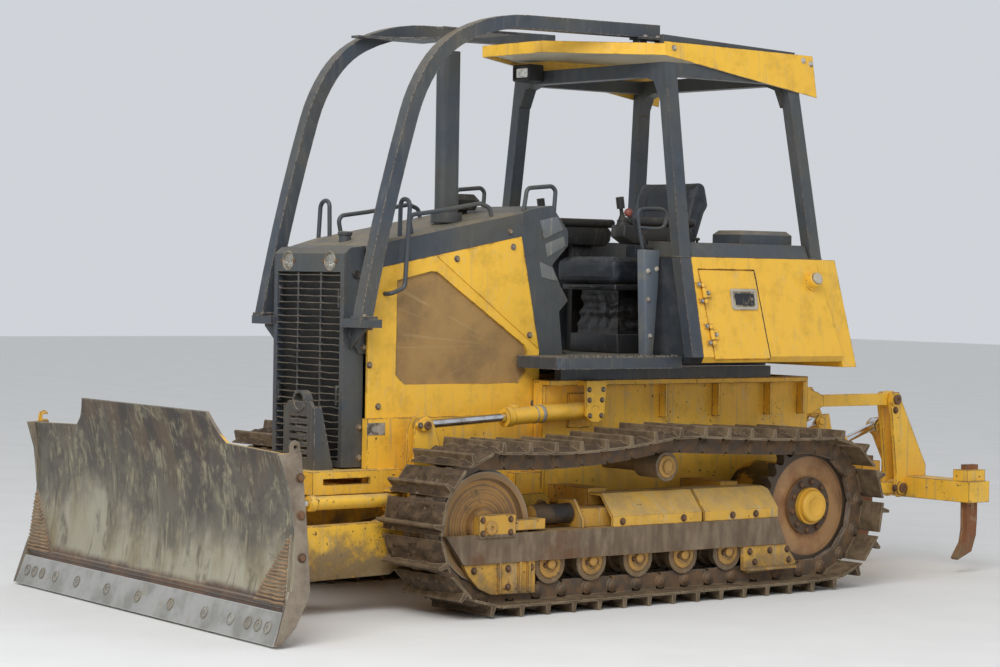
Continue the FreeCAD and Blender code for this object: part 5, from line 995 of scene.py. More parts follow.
def console_finish():
    """Black arm pods and a slate lever stand, told apart by how far out they are."""
    tree, shader, out = weathered("console_plastic", srgb(36, 37, 40), bare=srgb(64, 64, 64), Chips=0.3,
                                  Specks=0.1,
                                  Dusting=0.10, Streaks=0.05, Scratches=0.1, Gloss=0.42)
    across = sums(tree, "SUBTRACT", parts_of(tree, "Object")["X"], DATUM.x)
    stand = ramp(tree, across, STAND_FROM, STAND_FROM + 0.01)
    patch = mottle(tree, 6.0, 6.0)
    slate = blend(tree, patch, 0.4, 0.65, srgb(98, 106, 116), srgb(124, 124, 116))
    feed(tree, shader.inputs["Base Color"], mix(tree, stand, out["Color"], slate))


PARKING_KNOB, KNOB_R = (0.470, 0.118, 1.925), 0.023


def control_finish():
    """Black levers and a red-brown knob on the parking lever."""
    tree, shader, out = weathered("control_plastic", srgb(34, 35, 38), bare=srgb(64, 64, 64), Chips=0.3,
                                  Specks=0.1,
                                  Dusting=0.12, Streaks=0.0, Scratches=0.1, Gloss=0.40)
    where = add(tree, "TexCoord").outputs["Object"]
    centred = add(tree, "Mapping", Vector=where,
                  Location=tuple(-value for value in at(*PARKING_KNOB))).outputs[0]
    away = add(tree, "VectorMath", operation="LENGTH", Vector=centred).outputs["Value"]
    near = ramp(tree, away, KNOB_R + 0.0005, KNOB_R - 0.0005)
    feed(tree, shader.inputs["Base Color"], mix(tree, near, out["Color"], srgb(124, 66, 54)))


def lamp_finishes():
    """Lamp bowls and their clear covers."""
    made, tree, shader = material("lamp_bowl")
    facets = mottle(tree, 60.0, 2.0)
    colour = blend(tree, facets, 0.4, 0.6, srgb(226, 224, 214), srgb(184, 180, 168))
    cover(tree, shader, colour, ramp(tree, facets, 0.3, 0.7, 0.12, 0.3), facets, 0.002)
    shader.inputs["Metallic"].default_value = 0.7
    made, tree, shader = material("clear_glass")
    film = mottle(tree, 30.0, 4.0)
    colour = blend(tree, film, 0.4, 0.7, srgb(250, 250, 246), srgb(226, 220, 204))
    ribs = add(tree, "TexWave", wave_type="BANDS", bands_direction="X", Scale=40.0).outputs["Fac"]
    cover(tree, shader, colour, ramp(tree, film, 0.3, 0.7, 0.03, 0.14), ribs, 0.0008)
    shader.inputs["Transmission Weight"].default_value = 0.85


BUILDERS = (paint_finishes, side_frame_finish, idler_finish, sprocket_finish, final_drive_finish,
            blade_finish,
            bracket_finish, edge_plate_finish, wear_rib_finish, track_finishes, chrome_finish,
            screen_finish,
            radiator_finish, roof_finish, side_box_finish, vinyl_finish, rubber_finish, console_finish,
            control_finish, lamp_finishes)

# The carried-over pieces in each finish
FINISHED = {
    "body_yellow": ("lift_saddles", "side_panel_left", "side_panel_right", "side_door", "door_hinges",
                    "fuel_tank",
                     "lift_barrels", "ripper_upper_links", "ripper_barrels"),
    "box_yellow": ("side_box_left", "side_box_right"),
    "low_yellow": ("main_frame", "c_frame", "blade_yoke", "angle_barrel_left", "angle_barrel_right",
                   "tilt_barrel",
                   "ripper_lower_links", "ripper_beam"),
    "bracket_yellow": ("blade_brackets",),
    "cover_yellow": ("track_covers",),
    "track_frame": ("track_frame_left", "track_frame_right"),
    "frame_slate": ("grille_frame", "dash_cowl", "exhaust_stack", "grab_rails", "canopy_frame"),
    "dusty_slate": ("hood", "deck_covers"),
    "worn_slate": ("sweeps", "operator_platform", "hose_guard"),
    "bar_black": ("grille_bars",),
    "radiator_fins": ("radiator",),
    "oily_grey": ("engine",),
    "clear_glass": ("lamps",),
    "screen_mesh": ("side_screens",),
    "plastic": ("precleaner",),
    "black_rubber": ("seat_base",),
    "console_plastic": ("arm_consoles",),
    "control_plastic": ("controls",),
    "worn_vinyl": ("seat_cushion", "seat_back"),
    "canopy_roof": ("canopy_roof",),
    "blade_board": ("blade",),
    "edge_plate": ("cutting_edges",),
    "shank_rust": ("ripper_shanks",),
    "shoe_plate": ("track_left", "track_right"),
    "sprocket_steel": ("sprocket_left", "sprocket_right"),
    "drive_casting": ("final_drives",),
    "idler_cast": ("idlers",),
    "roller_steel": ("track_rollers",),
    "polished_chrome": ("lift_rods", "angle_rod_left", "angle_rod_right", "tilt_rod", "ripper_rods"),
}


class DOZER_OT_finishes(bpy.types.Operator):
    """Builds the finishes and gives every carried-over piece its own"""

    bl_idname = "dozer.finishes"
    bl_label = "Finishes"

    def execute(self, context):
        edge_wear_effect()
        scratch_effect()
        weather_effect()
        for build in BUILDERS:
            build()
        for name, nodes in FINISHED.items():
            for node in nodes:
                for slot in NODES[node].material_slots:
                    slot.material = bpy.data.materials[name]
        return {"FINISHED"}


# Tracks

LINK_X = (0.046, 0.080)     # inner and outer face of each link
LINK = ((0.020, -PIN_TO_RAIL + 0.002), (0.024, -PIN_TO_RAIL), (0.150, -PIN_TO_RAIL),
        (0.154, -PIN_TO_RAIL + 0.002),
        (0.150, -0.020), (0.141, -0.006), (0.136, 0.018), (0.130, PIN_TO_PLATE + 0.001),
        (0.029, PIN_TO_PLATE + 0.001), (0.023, 0.018), (0.016, -0.006), (0.010, -0.022),
        (0.010, -PIN_TO_RAIL + 0.006))
LINK_BOSS = ((0.031, 0.0), (0.033, 0.002), (0.033, 0.019), (0.030, 0.021))
LINK_PIN = ((0.016, -0.092), (0.019, -0.090), (0.019, 0.090), (0.016, 0.092))
BUSHING = ((0.027, -0.045), (0.027, 0.045))
SHOE_TOP = PIN_TO_PLATE + SHOE_PLATE
SHOE = ((0.001, 0.041), (0.012, PIN_TO_PLATE), (0.146, PIN_TO_PLATE), (0.157, 0.043), (0.155, SHOE_TOP),
        (0.054, SHOE_TOP), (0.048, TIP - 0.003), (0.045, TIP), (0.035, TIP), (0.032, TIP - 0.003),
        (0.026, SHOE_TOP),
        (0.012, SHOE_TOP), (0.001, SHOE_TOP - 0.001))
SHOE_BOLT = ((0.0125, SHOE_TOP - 0.001), (0.0125, SHOE_TOP + 0.007), (0.009, SHOE_TOP + 0.010))
SHOE_BOLTS = [(x, y) for x in (-0.078, -0.050, 0.050, 0.078) for y in (0.078, 0.118)]
MUD_PADS = 6                # different ones, laid at random


def track_pins():
    """Pin places round the loop, evenly spaced, as (y, z) from the datum, going up the front."""
    dense = []

    def arc(cy, cz, radius, start, end):
        steps = 60
        for k in range(steps + 1):
            a = math.radians(start + (end - start) * k / steps)
            dense.append((cy + radius * math.cos(a), cz + radius * math.sin(a)))

    def sag(p, q, depth):
        steps = 40
        for k in range(1, steps):
            t = k / steps
            dense.append((p[0] + (q[0] - p[0]) * t, p[1] + (q[1] - p[1]) * t - 4 * depth * t * (1 - t)))

    arc(IDLER_Y, IDLER_Z, IDLER_PIN_R, 270, 94)
    carried = (CARRIER[0], CARRIER[1] + CARRIER_PIN_R)
    sag(dense[-1], carried, SAG_FRONT)
    dense.append(carried)
    rear = math.radians(88)
    sag(carried, (SPROCKET_Y + SPROCKET_R * math.cos(rear), SPROCKET_Z + SPROCKET_R * math.sin(rear)),
        SAG_REAR)
    arc(SPROCKET_Y, SPROCKET_Z, SPROCKET_R, 88, -88)
    dense.append((LAST_ROLLER_Y + 0.060, TIP))
    dense.append(dense[0])
    length = [0.0]
    for p, q in zip(dense, dense[1:]):
        length.append(length[-1] + math.dist(p, q))
    count = round(length[-1] / PITCH)
    pins = []
    k = 0
    for i in range(count):
        want = length[-1] * i / count
        while length[k + 1] < want:
            k += 1
        t = (want - length[k]) / (length[k + 1] - length[k])
        pins.append([a + (b - a) * t for a, b in zip(dense[k], dense[k + 1])])
    return pins


def link_places(side):
    """Where each link goes: X across the chain, Y along it from pin to pin and Z out of the loop."""
    pins = track_pins()
    places = []
    for (y0, z0), (y1, z1) in zip(pins, pins[1:] + pins[:1]):
        size = math.dist((y0, z0), (y1, z1))
        ay, az = (y1 - y0) / size, (z1 - z0) / size
        turn = Matrix(((1, 0, 0), (0, ay, -az), (0, az, ay))).to_4x4()
        places.append(Matrix.Translation((side * CHAIN_X, y0, z0)) @ turn)
    return places


def track_shoe():
    """One shoe: a plate with its lips and its bar, and eight bolt heads behind the bar."""
    shoe = side_plate("shoe", SHOE, -SHOE_WIDTH / 2, SHOE_WIDTH / 2)
    pick(shoe, lambda middle, normal: abs(normal.x) > 0.9)
    bpy.ops.mesh.inset(thickness=0.003, depth=0.0)
    close_edit()
    heads = repeated("heads", turned("head", SHOE_BOLT, 6), [Matrix.Translation((x, y, 0)) for x,
                                                             y in SHOE_BOLTS])
    shoe = joined("shoe", [shoe, heads])
    coat(shoe, "shoe_plate")
    return shoe


def track_link():
    """One pair of links with its pin and bushing; the rails that the rollers ride on are polished."""
    parts = [side_plate("link", LINK, side * LINK_X[0], side * LINK_X[1]) for side in (1, -1)]
    boss = turned("boss", LINK_BOSS, 16)
    places = []
    for side in (1, -1):
        for out, along in ((0.066, 0.0), (0.042, PITCH)):
            places.append(facing((side * out, along, 0.0), (side, 0, 0)))
    parts.append(repeated("bosses", boss, places))
    for name, steps in (("pin", LINK_PIN), ("bushing", BUSHING)):
        rod = turned(name, steps, 14)
        rod.data.transform(facing((0, 0, 0), LEFT))
        parts.append(rod)
    whole = joined("link", parts)
    coat(whole, "link_steel", "polished_rail")
    for side in whole.data.polygons:
        if side.normal.z < -0.9 and side.center.z < -PIN_TO_RAIL + 0.003:
            side.material_index = 1
    return whole


def mud_pad(draw, depth):
    """A lumpy strip of mud packed on a shoe, thin at the shoe's ends, closed underneath."""
    foot = SHOE_TOP - 0.001
    begin()
    bpy.ops.mesh.primitive_grid_add(x_subdivisions=30, y_subdivisions=9, size=1)
    pad = bpy.context.object
    shift = Vector((draw.uniform(0, 50), draw.uniform(0, 50), 0))
    for corner in pad.data.vertices:
        u, v = corner.co.x, corner.co.y
        inside = min(1.0, (0.5 - abs(u)) * 9) * min(1.0, (0.5 - abs(v)) * 12)
        lumps = noise.fractal(Vector((u * 9, v * 4, 0)) + shift, 0.7, 2.1, 4)
        height = max(0.0, 0.62 + 0.75 * lumps) * depth * inside
        corner.co = (u * (SHOE_WIDTH - 0.010), PITCH / 2 + v * (PITCH - 0.004), foot + height)
    pick(pad, lambda middle, normal: False)
    bpy.ops.mesh.select_mode(type="EDGE")
    bpy.ops.mesh.select_non_manifold()
    bpy.ops.mesh.edge_face_add()
    close_edit(outward=True)
    coat(pad, "packed_mud")
    return pad


class DOZER_OT_tracks(bpy.types.Operator):
    """Builds both track chains link by link, with packed mud between the bars"""

    bl_idname = "dozer.tracks"
    bl_label = "Tracks"

    def execute(self, context):
        depth = settings()[2].mud_depth
        draw = random.Random(7)
        shoe = track_shoe()
        link = track_link()
        pads = [mud_pad(draw, depth) for k in range(MUD_PADS)]
        for name, side in (("left", 1), ("right", -1)):
            parts = []
            for place in link_places(side):
                parts.append(copied(shoe, place))
                parts.append(copied(link, place))
                parts.append(copied(draw.choice(pads), place))
            chain = hand_over(joined("chain_" + name, parts), "chassis")
            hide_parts("track_" + name)
        for master in [shoe, link] + pads:
            bpy.data.objects.remove(master)
        return {"FINISHED"}


# Blade

BLADE_LOW, BLADE_HIGH = (1.334, 0.010), (1.262, 0.972)      # half its width, and the height, at foot and top
EDGE_FOOT, EDGE_HEAD = (-2.452, 0.010), (-2.400, 0.150)     # cutting edge's front face, (y, z)
EDGE_BOLT_Z = 0.080
EDGE_BOLTS = (0.0, 0.33, 0.66, 0.905, 1.06, 1.15, 1.235)
EDGE_RING = ((0.029, -0.001), (0.029, 0.0035), (0.023, 0.0055), (0.021, 0.003), (0.010, 0.003),
             (0.008, 0.001))
WEAR_FOOT, WEAR_TIP = (1.040, -2.390, 0.176), (1.297, -2.356,
                                               0.480)    # inner corner and tip of a wear corner
WEAR_RIBS = 17
RIB_SPAN, RIB_WANDER = 0.035, 0.003     # between a rib's points, and how far they stray
RIB_RADII = (0.0055, 0.0068)
END_PLATE = 0.018
END_BOLTS = ((-2.315, 0.720), (-2.315, 0.560), (-2.315, 0.380))


def between(low, high, share):
    return tuple(a + (b - a) * share for a, b in zip(low, high))


def blade_half(z):
    return between(BLADE_LOW, BLADE_HIGH, (z - BLADE_LOW[1]) / (BLADE_HIGH[1] - BLADE_LOW[1]))[0]


class DOZER_OT_blade_fittings(bpy.types.Operator):
    """Adds the edge's ringed bolts, the weld ribs on the corners and the bolts of the end plates"""

    bl_idname = "dozer.blade_fittings"
    bl_label = "Blade fittings"

    def execute(self, context):
        rise = Vector((0, EDGE_HEAD[0] - EDGE_FOOT[0], EDGE_HEAD[1] - EDGE_FOOT[1])).normalized()
        front = (0, -rise.z, rise.y)
        share = (EDGE_BOLT_Z - EDGE_FOOT[1]) / (EDGE_HEAD[1] - EDGE_FOOT[1])
        y = between(EDGE_FOOT, EDGE_HEAD, share)[0]
        spots = [((side * x, y, EDGE_BOLT_Z), front) for x in EDGE_BOLTS for side in (1, -1) if x or side > 0]
        ring = turned("ring", EDGE_RING, 24, "worn_ring")
        set_out("edge_bolts", ring, spots, "blade", on_blade())
        self.add_ribs()
        spots = [((blade_half(z) + END_PLATE, y, z), LEFT) for y, z in END_BOLTS]
        bolted("end_bolts", both_sides(spots), "blade", "rusty_bolt", 1.1, on_blade())
        return {"FINISHED"}

    def add_ribs(self):
        draw = random.Random(3)
        ribs = []
        for side in (1, -1):
            for k in range(WEAR_RIBS):
                inner, y, z = between(WEAR_FOOT, WEAR_TIP, (k + 0.6) / (WEAR_RIBS + 1))
                outer = blade_half(z) - 0.006
                count = max(3, round((outer - inner) / RIB_SPAN))
                points = []
                for n in range(count + 1):
                    x = inner + (outer - inner) * n / count
                    points.append((side * x, y - 0.001, z + draw.uniform(-RIB_WANDER, RIB_WANDER)))
                ribs.append(tube("rib", points, draw.uniform(*RIB_RADII), 8))
        assembled("wear_ribs", ribs, "weld_ribs", "blade", place=on_blade())


# Grille and lamps

GRILLE_Y = -1.515           # front of the grille's frame
GRILLE_HALF = 0.2657
BARS = 27
BAR_LOW, BAR_STEP = 0.700, 0.9 / BARS
BAR_R, BAR_DEPTH = 0.0036, 2.1          # half a bar's height, and its depth against its height
BAR_SPANS = 28
UPRIGHT_X, UPRIGHT_HALF, UPRIGHT_BACK = 0.096, 0.005, 0.018
STRIPS = ((-0.252, 1.444, 1.531), (0.252, 1.430, 1.520), (-0.252, 0.967, 1.065),
          (0.242, 0.963, 1.058))     # (x, z, z)
LAMP_X, LAMP_Z = 0.178, 1.652
LAMP_DEEP = 0.058
LAMP_BOWL = ((0.043, 0.0), (0.043, 0.053), (0.040, 0.053), (0.037, 0.040), (0.027, 0.018), (0.009, 0.010))
LAMP_BULB = ((0.006, 0.008), (0.0075, 0.024), (0.003, 0.030))
LAMP_COVER = ((0.0395, 0.0485), (0.0395, 0.051), (0.034, 0.055), (0.018, 0.058), (0.004, 0.059))
LAMP_RIM = (0.0445, 0.0028, 0.009)      # radius, thickness and width
RIM_LIFT = 0.0565
LAMP_CLIP = ((0.044, -0.009, 0.054), (0.060, 0.009, 0.062))


def bend_bar(bar, number, reach):
    """Bends one bar of the grille as brush has: the lower it is, the more."""
    reach *= 0.25 + 1.1 * (1 - number / (BARS - 1)) ** 1.5
    for corner in bar.data.vertices:
        x = corner.co.x
        wave = noise.noise(Vector((x * 8, number * 0.4, 3.0))) + 0.5 * noise.noise(Vector((x * 22,
                                                                                           number * 0.8,
                                                                                           9.0)))
        corner.co.z += reach * wave
        corner.co.y += 0.4 * reach * noise.noise(Vector((x * 7, number * 0.7, 20.0)))


class DOZER_OT_grille(bpy.types.Operator):
    """Builds the grille's bent bars with their uprights"""

    bl_idname = "dozer.grille"
    bl_label = "Grille"

    def execute(self, context):
        span = 2 * GRILLE_HALF / BAR_SPANS
        master = turned("bar", [(BAR_R, span * k - GRILLE_HALF) for k in range(BAR_SPANS + 1)], 8,
                        "bar_black")
        master.data.transform(ACROSS @ Matrix.Diagonal((BAR_DEPTH, 1, 1, 1)))
        parts = []
        for k in range(BARS):
            bar = copied(master, Matrix.Translation((0, GRILLE_Y + 0.009, BAR_LOW + BAR_STEP * (k + 0.5))))
            bend_bar(bar, k, settings()[2].grille_bend)
            parts.append(bar)
        bpy.data.objects.remove(master)
        top = BAR_LOW + BAR_STEP * BARS
        uprights = [(side * UPRIGHT_X, BAR_LOW + 0.0005, top - 0.0005, 0.004) for side in (-1, 1)]
        uprights += [(x, z0, z1, -0.0015) for x, z0, z1 in STRIPS]
        for x, z0, z1, front in uprights:
            low = (x - UPRIGHT_HALF, GRILLE_Y + front, z0)
            post = block("upright", low, (x + UPRIGHT_HALF, GRILLE_Y + UPRIGHT_BACK, z1), 0.0015)
            coat(post, "bar_black")
            parts.append(post)
        grille = hand_over(joined("bent_grille", parts), "chassis")
        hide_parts("grille_bars")
        return {"FINISHED"}


class DOZER_OT_lamps(bpy.types.Operator):
    """Builds the two round lamps, each a bowl with its bulb, rim, clips and clear cover"""

    bl_idname = "dozer.lamps"
    bl_label = "Lamps"

    def execute(self, context):
        inside = joined("bowl", [turned("bowl", LAMP_BOWL, 32), turned("bulb", LAMP_BULB, 12)])
        coat(inside, "lamp_bowl")
        rim = hoop("rim", *LAMP_RIM)
        rim.data.transform(Matrix.Translation((0, 0, RIM_LIFT)))
        coat(rim, "plate_grey")
        clips = [block("clip", *sided(LAMP_CLIP, side), 0.002) for side in (1, -1)]
        for clip in clips:
            coat(clip, "rusty_bolt")
        glass = turned("glass", LAMP_COVER, 32, "clear_glass")
        lamp = joined("lamp", [inside, rim, glass] + clips)
        spots = [facing((side * LAMP_X, GRILLE_Y + LAMP_DEEP, LAMP_Z), AHEAD) for side in (1, -1)]
        lit = hand_over(repeated("head_lamps", lamp, spots), "chassis")
        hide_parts("lamps")
        return {"FINISHED"}


# Front end and panels

CHEEK_X = 0.296
PANEL_X = 0.330
RAISED = ((-0.990, 1.684), (-0.470, 1.785), (-0.345, 1.232))      # raised corner of each side panel, (y, z)
FACETS = (((-0.346, 1.874), (-0.234, 1.897), (-0.192, 1.831), (-0.318, 1.782)),
          ((-0.311, 1.757), (-0.190, 1.799), (-0.176, 1.750), (-0.296, 1.691)),
          ((-0.345, 1.668), (-0.262, 1.640), (-0.222, 1.570), (-0.330, 1.590)))
PANEL_BOLTS = ((PANEL_X + 0.005, -0.871, 1.674), (PANEL_X + 0.005, -0.519, 1.739),
               (PANEL_X + 0.005, -0.407, 1.301), (PANEL_X, -1.385, 1.159), (PANEL_X, -0.537, 1.814),
               (PANEL_X, -1.330, 0.960), (PANEL_X, -0.372, 0.960))
GUSSET = ((-1.487, 1.338), (-1.487, 1.295), (-1.429, 1.211), (-1.388, 1.211), (-1.388, 1.338))
GUSSET_THICK = 0.012
WEB = ((0, 0), (0.135, 0), (0.135, -0.012), (0.012, -0.105), (0, -0.105))      # (out, rearwards)
WEB_THICK = 0.010
WEB_PLACE = (-1.480, 1.339)
CHEEK_BOLTS = (((CHEEK_X + GUSSET_THICK, -1.405, 1.243), LEFT), ((CHEEK_X, -1.416, 0.860), LEFT),
               ((CHEEK_X, -1.416, 0.714), LEFT), ((CHEEK_X, -1.430, 1.452), LEFT),
               ((0.452, -1.505, 1.393), UP),
               ((0.386, -1.440, 1.393), UP), ((0.430, -1.455, 1.339), DOWN))
PLUG = ((0.021, -0.001), (0.021, 0.005), (0.017, 0.010), (0.013, 0.007), (0.005, 0.007))
PLUG_PLACE = (CHEEK_X, -1.444, 1.589)
HOOD_CAP = ((0.030, -0.012), (0.030, 0.026), (0.036, 0.030), (0.037, 0.043), (0.024, 0.048))
CAP_PLACE = (0, -1.304, 1.752)
BLANK_PLATE = ((-1.403, 0.824), (-1.297, 0.824), (-1.297, 0.883), (-1.403, 0.883))      # (y, z)
BLANK_X = 0.345


class DOZER_OT_front_fittings(bpy.types.Operator):
    """Adds the sweeps' brackets, the cheeks' bolts and plugs, the hood's cap and the rail's blank plate"""

    bl_idname = "dozer.front_fittings"
    bl_label = "Front fittings"

    def execute(self, context):
        parts = []
        for side in (1, -1):
            parts.append(side_plate("gusset", GUSSET, side * CHEEK_X, side * (CHEEK_X + GUSSET_THICK)))
            web = extruded("web", WEB, WEB_THICK)
            y, z = WEB_PLACE
            web.data.transform(Matrix(((side, 0, 0, side * CHEEK_X), (0, 0, 1, y), (0, 1, 0, z),
                                       (0, 0, 0, 1))))
            choose(web)
            bpy.ops.object.mode_set(mode="EDIT")
            close_edit(outward=True)
            parts.append(web)
        assembled("sweep_brackets", parts, "frame_slate", "chassis", edge=0.002)
        bolted("cheek_bolts", both_sides(CHEEK_BOLTS), "chassis", "bolt_steel", 0.85)
        plug = turned("plug", PLUG, 20, "black_rubber")
        set_out("cheek_plugs", plug, both_sides([(PLUG_PLACE, LEFT)]), "chassis")
        cap = turned("cap", HOOD_CAP, 20, "frame_slate")
        set_out("hood_cap", cap, [(CAP_PLACE, UP)], "chassis")

        plate = sunk_plate("blank_plate", BLANK_PLATE, 0.002, 0.003, 0.001)
        plate.data.transform(Matrix.Translation((BLANK_X, 0, 0)) @ ACROSS)
        coat(plate, "plate_grey")
        hand_over(plate, "chassis")
        return {"FINISHED"}


class DOZER_OT_panel_fittings(bpy.types.Operator):
    """Adds the side panels' raised corners and bolts, and the cowl's pressed facets"""

    bl_idname = "dozer.panel_fittings"
    bl_label = "Panel fittings"

    def execute(self, context):
        self.raise_plates("raised_corners", [RAISED], 0.005, "body_yellow", "yellow_paint")
        self.raise_plates("cowl_facets", FACETS, 0.003, "facet_grey", "slate_paint")
        spots = [(place, LEFT) for place in PANEL_BOLTS]
        bolted("panel_bolts", both_sides(spots), "chassis", "bolt_steel", 0.85)
        return {"FINISHED"}

    def raise_plates(self, name, outlines, height, finish, slot):
        parts = []
        for side in (1, -1):
            for outline in outlines:
                parts.append(side_plate("raised", outline, side * (PANEL_X - 0.001),
                                        side * (PANEL_X + height)))
        plates = modified(joined(name, parts), "BEVEL", width=height * 0.45, segments=3)
        coat(plates, finish)
        hand_over(plates, "chassis")


# Left side: door, filler, deck

HINGE_HEIGHTS = (1.262, 1.472)          # foot of each hinge
HINGE_PROUD = 0.0095
DOOR_EDGE, DOOR_EDGE_Z, DOOR_LEAN = 0.352, 1.640, 0.16      # the door's front edge
LATCH = (0.562, 1.440, 0.182, 0.108)    # y, z, width, height
LATCH_CUT = 0.012                       # how far its corners are cut off
LOCK = ((0.009, 0.004), (0.009, 0.012), (0.006, 0.013))
LOCK_IN = 0.045
FILLER_NECK = ((0.047, -0.004), (0.047, 0.004), (0.040, 0.007), (0.040, 0.040), (0.035, 0.045))
FILLER_CAP = ((0.029, 0.044), (0.031, 0.047), (0.031, 0.057), (0.025, 0.062), (0.009, 0.063))
FILLER_PLACE = (1.149, 1.588)           # (y, z)
FILLER_UP = 0.25                        # how much more it looks up than the side does
DECK_KNOB = ((0.007, -0.004), (0.007, 0.010), (0.014, 0.012), (0.016, 0.020), (0.010, 0.026))
KNOB_PLACE = (0.600, 0.473, 1.780)
POST_BEADS = (((0.6735, 0.2295, 1.701), (0.7415, 0.3095, 1.708)),
              ((0.6730, 1.1580, 1.7055), (0.7405, 1.2380, 1.7125)))
STEP_X, STEP_Z = (0.648, 0.6585), 1.1995
STEP_FRONT, STEP_REAR = -0.438, 0.310
TOOTH_PITCH = 0.026
TOOTH_HEIGHTS = (0.006, 0.011)


def door_y(z):
    return DOOR_EDGE + (DOOR_EDGE_Z - z) * DOOR_LEAN


class DOZER_OT_door_fittings(bpy.types.Operator):
    """Adds the service door's recessed latch and the bolts of its hinges"""

    bl_idname = "dozer.door_fittings"
    bl_label = "Door fittings"

    def execute(self, context):
        y, z, wide, high = LATCH
        cut = LATCH_CUT
        outline = [(cut, 0), (wide - cut, 0), (wide, cut), (wide - 0.004, high - cut), (wide - cut, high),
                   (0, high),
                   (-0.006, high - cut), (0, cut)]
        ring = sunk_plate("latch_frame", outline, 0.007, 0.013, 0.005)
        coat(ring, "latch_beige")
        grip = [(0.030, 0.026), (wide - 0.026, 0.026), (wide - 0.030, high - 0.024), (0.024, high - 0.024)]
        paddle = extruded("paddle", grip, 0.010)
        pick(paddle, lambda middle, normal: normal.z > 0.9)
        bpy.ops.mesh.inset(thickness=0.010, depth=-0.004)
        close_edit()
        modified(paddle, "BEVEL", width=0.002, segments=2)
        coat(paddle, "plastic")
        lock = turned("lock", LOCK, 16, "bolt_steel")
        lock.data.transform(Matrix.Translation((wide - LOCK_IN, high / 2, 0)))
        latch = joined("door_latch", [ring, paddle, lock])
        latch.data.transform(on_side(y, z, -0.0005))
        hand_over(latch, "side_door")

        fixed = [z + rise for z in HINGE_HEIGHTS for rise in (0.012, 0.096)]
        hung = [z + 0.053 for z in HINGE_HEIGHTS]
        for name, heights, shift, body in (("hinge_bolts", fixed, -0.025, "chassis"),
                                           ("door_bolts", hung, 0.027, "side_door")):
            spots = [((lean_x(z) + HINGE_PROUD, door_y(z) + shift, z), LEAN_OUT) for z in heights]
            bolted(name, spots, body, "bright_bolt", 0.62)
        return {"FINISHED"}


def step_teeth():
    """The worn teeth along a step, as an outline of (y, z) points."""
    draw = random.Random(5)
    teeth = [(STEP_FRONT, STEP_Z)]
    y = STEP_FRONT + 0.002
    while y < STEP_REAR:
        crown = STEP_Z + draw.uniform(*TOOTH_HEIGHTS)
        root = STEP_Z + 0.001
        teeth += [(y, crown), (y + 0.010, crown), (y + 0.016, root), (y + 0.022, root)]
        y += TOOTH_PITCH
    teeth.append((y - 0.002, STEP_Z))
    return teeth[::-1]


class DOZER_OT_deck_fittings(bpy.types.Operator):
    """Adds the filler, the deck's knob, the posts' weld beads and the step's worn teeth"""

    bl_idname = "dozer.deck_fittings"
    bl_label = "Deck fittings"

    def execute(self, context):
        neck = turned("neck", FILLER_NECK, 28, "body_yellow")
        cap = turned("cap", FILLER_CAP, 24, "bright_bolt")
        y, z = FILLER_PLACE
        tilted = (LEAN_OUT[0], 0.0, LEAN_OUT[2] + FILLER_UP)
        spots = [((lean_x(z) - 0.004, y, z), tilted)]
        set_out("filler", joined("filler", [neck, cap]), spots, "chassis")
        knob = turned("knob", DECK_KNOB, 16, "plastic")
        set_out("deck_knob", knob, [(KNOB_PLACE, UP)], "chassis")
        beads = [block("bead", *sided(bead, side), 0.002) for side in (1, -1) for bead in POST_BEADS]
        assembled("post_beads", beads, "worn_slate", "chassis")
        strips = [side_plate("teeth", step_teeth(), side * STEP_X[0], side * STEP_X[1]) for side in (1, -1)]
        assembled("step_teeth", strips, "worn_slate", "chassis")
        return {"FINISHED"}


# Undercarriage

ROLLERS_Y = (0.470, 0.170, -0.130, -0.430, -0.692)      # those that show between the guards
ROLLER_Z = 0.221
ROLLER_FACE = 0.8674
ROLLER_HUB = ((0.068, -0.001), (0.068, 0.003), (0.060, 0.0042), (0.043, 0.0042), (0.040, 0.002),
              (0.024, 0.002),
              (0.024, 0.018), (0.019, 0.021), (0.008, 0.021))
ROLLER_NUTS = (-0.032, 0.032)
RING_BOLTS, RING_R = 10, 0.126          # round the sprocket's middle
COVER_BOLTS_Y, COVER_BOLT_Z = (-0.257, 0.145, 0.479, 0.640), 0.408
GUARD_BOLTS = ((0.605, 0.216), (0.745, 0.216), (0.868, 0.216), (0.640, 0.162),
               (0.880, 0.162))      # rear guard, (y, z)
NOSE_BOLTS = ((-1.170, 0.216), (-0.965, 0.216), (-0.825, 0.216), (-0.965, 0.130))       # front guard
BEARING_FACE = 0.9068
CARRIER_HUB = ((0.056, -0.001), (0.056, 0.005), (0.050, 0.009), (0.036, 0.009), (0.034, 0.0175),
               (0.027, 0.019),
               (0.024, 0.0165), (0.008, 0.0165))
CARRIER_FACE = 0.8725


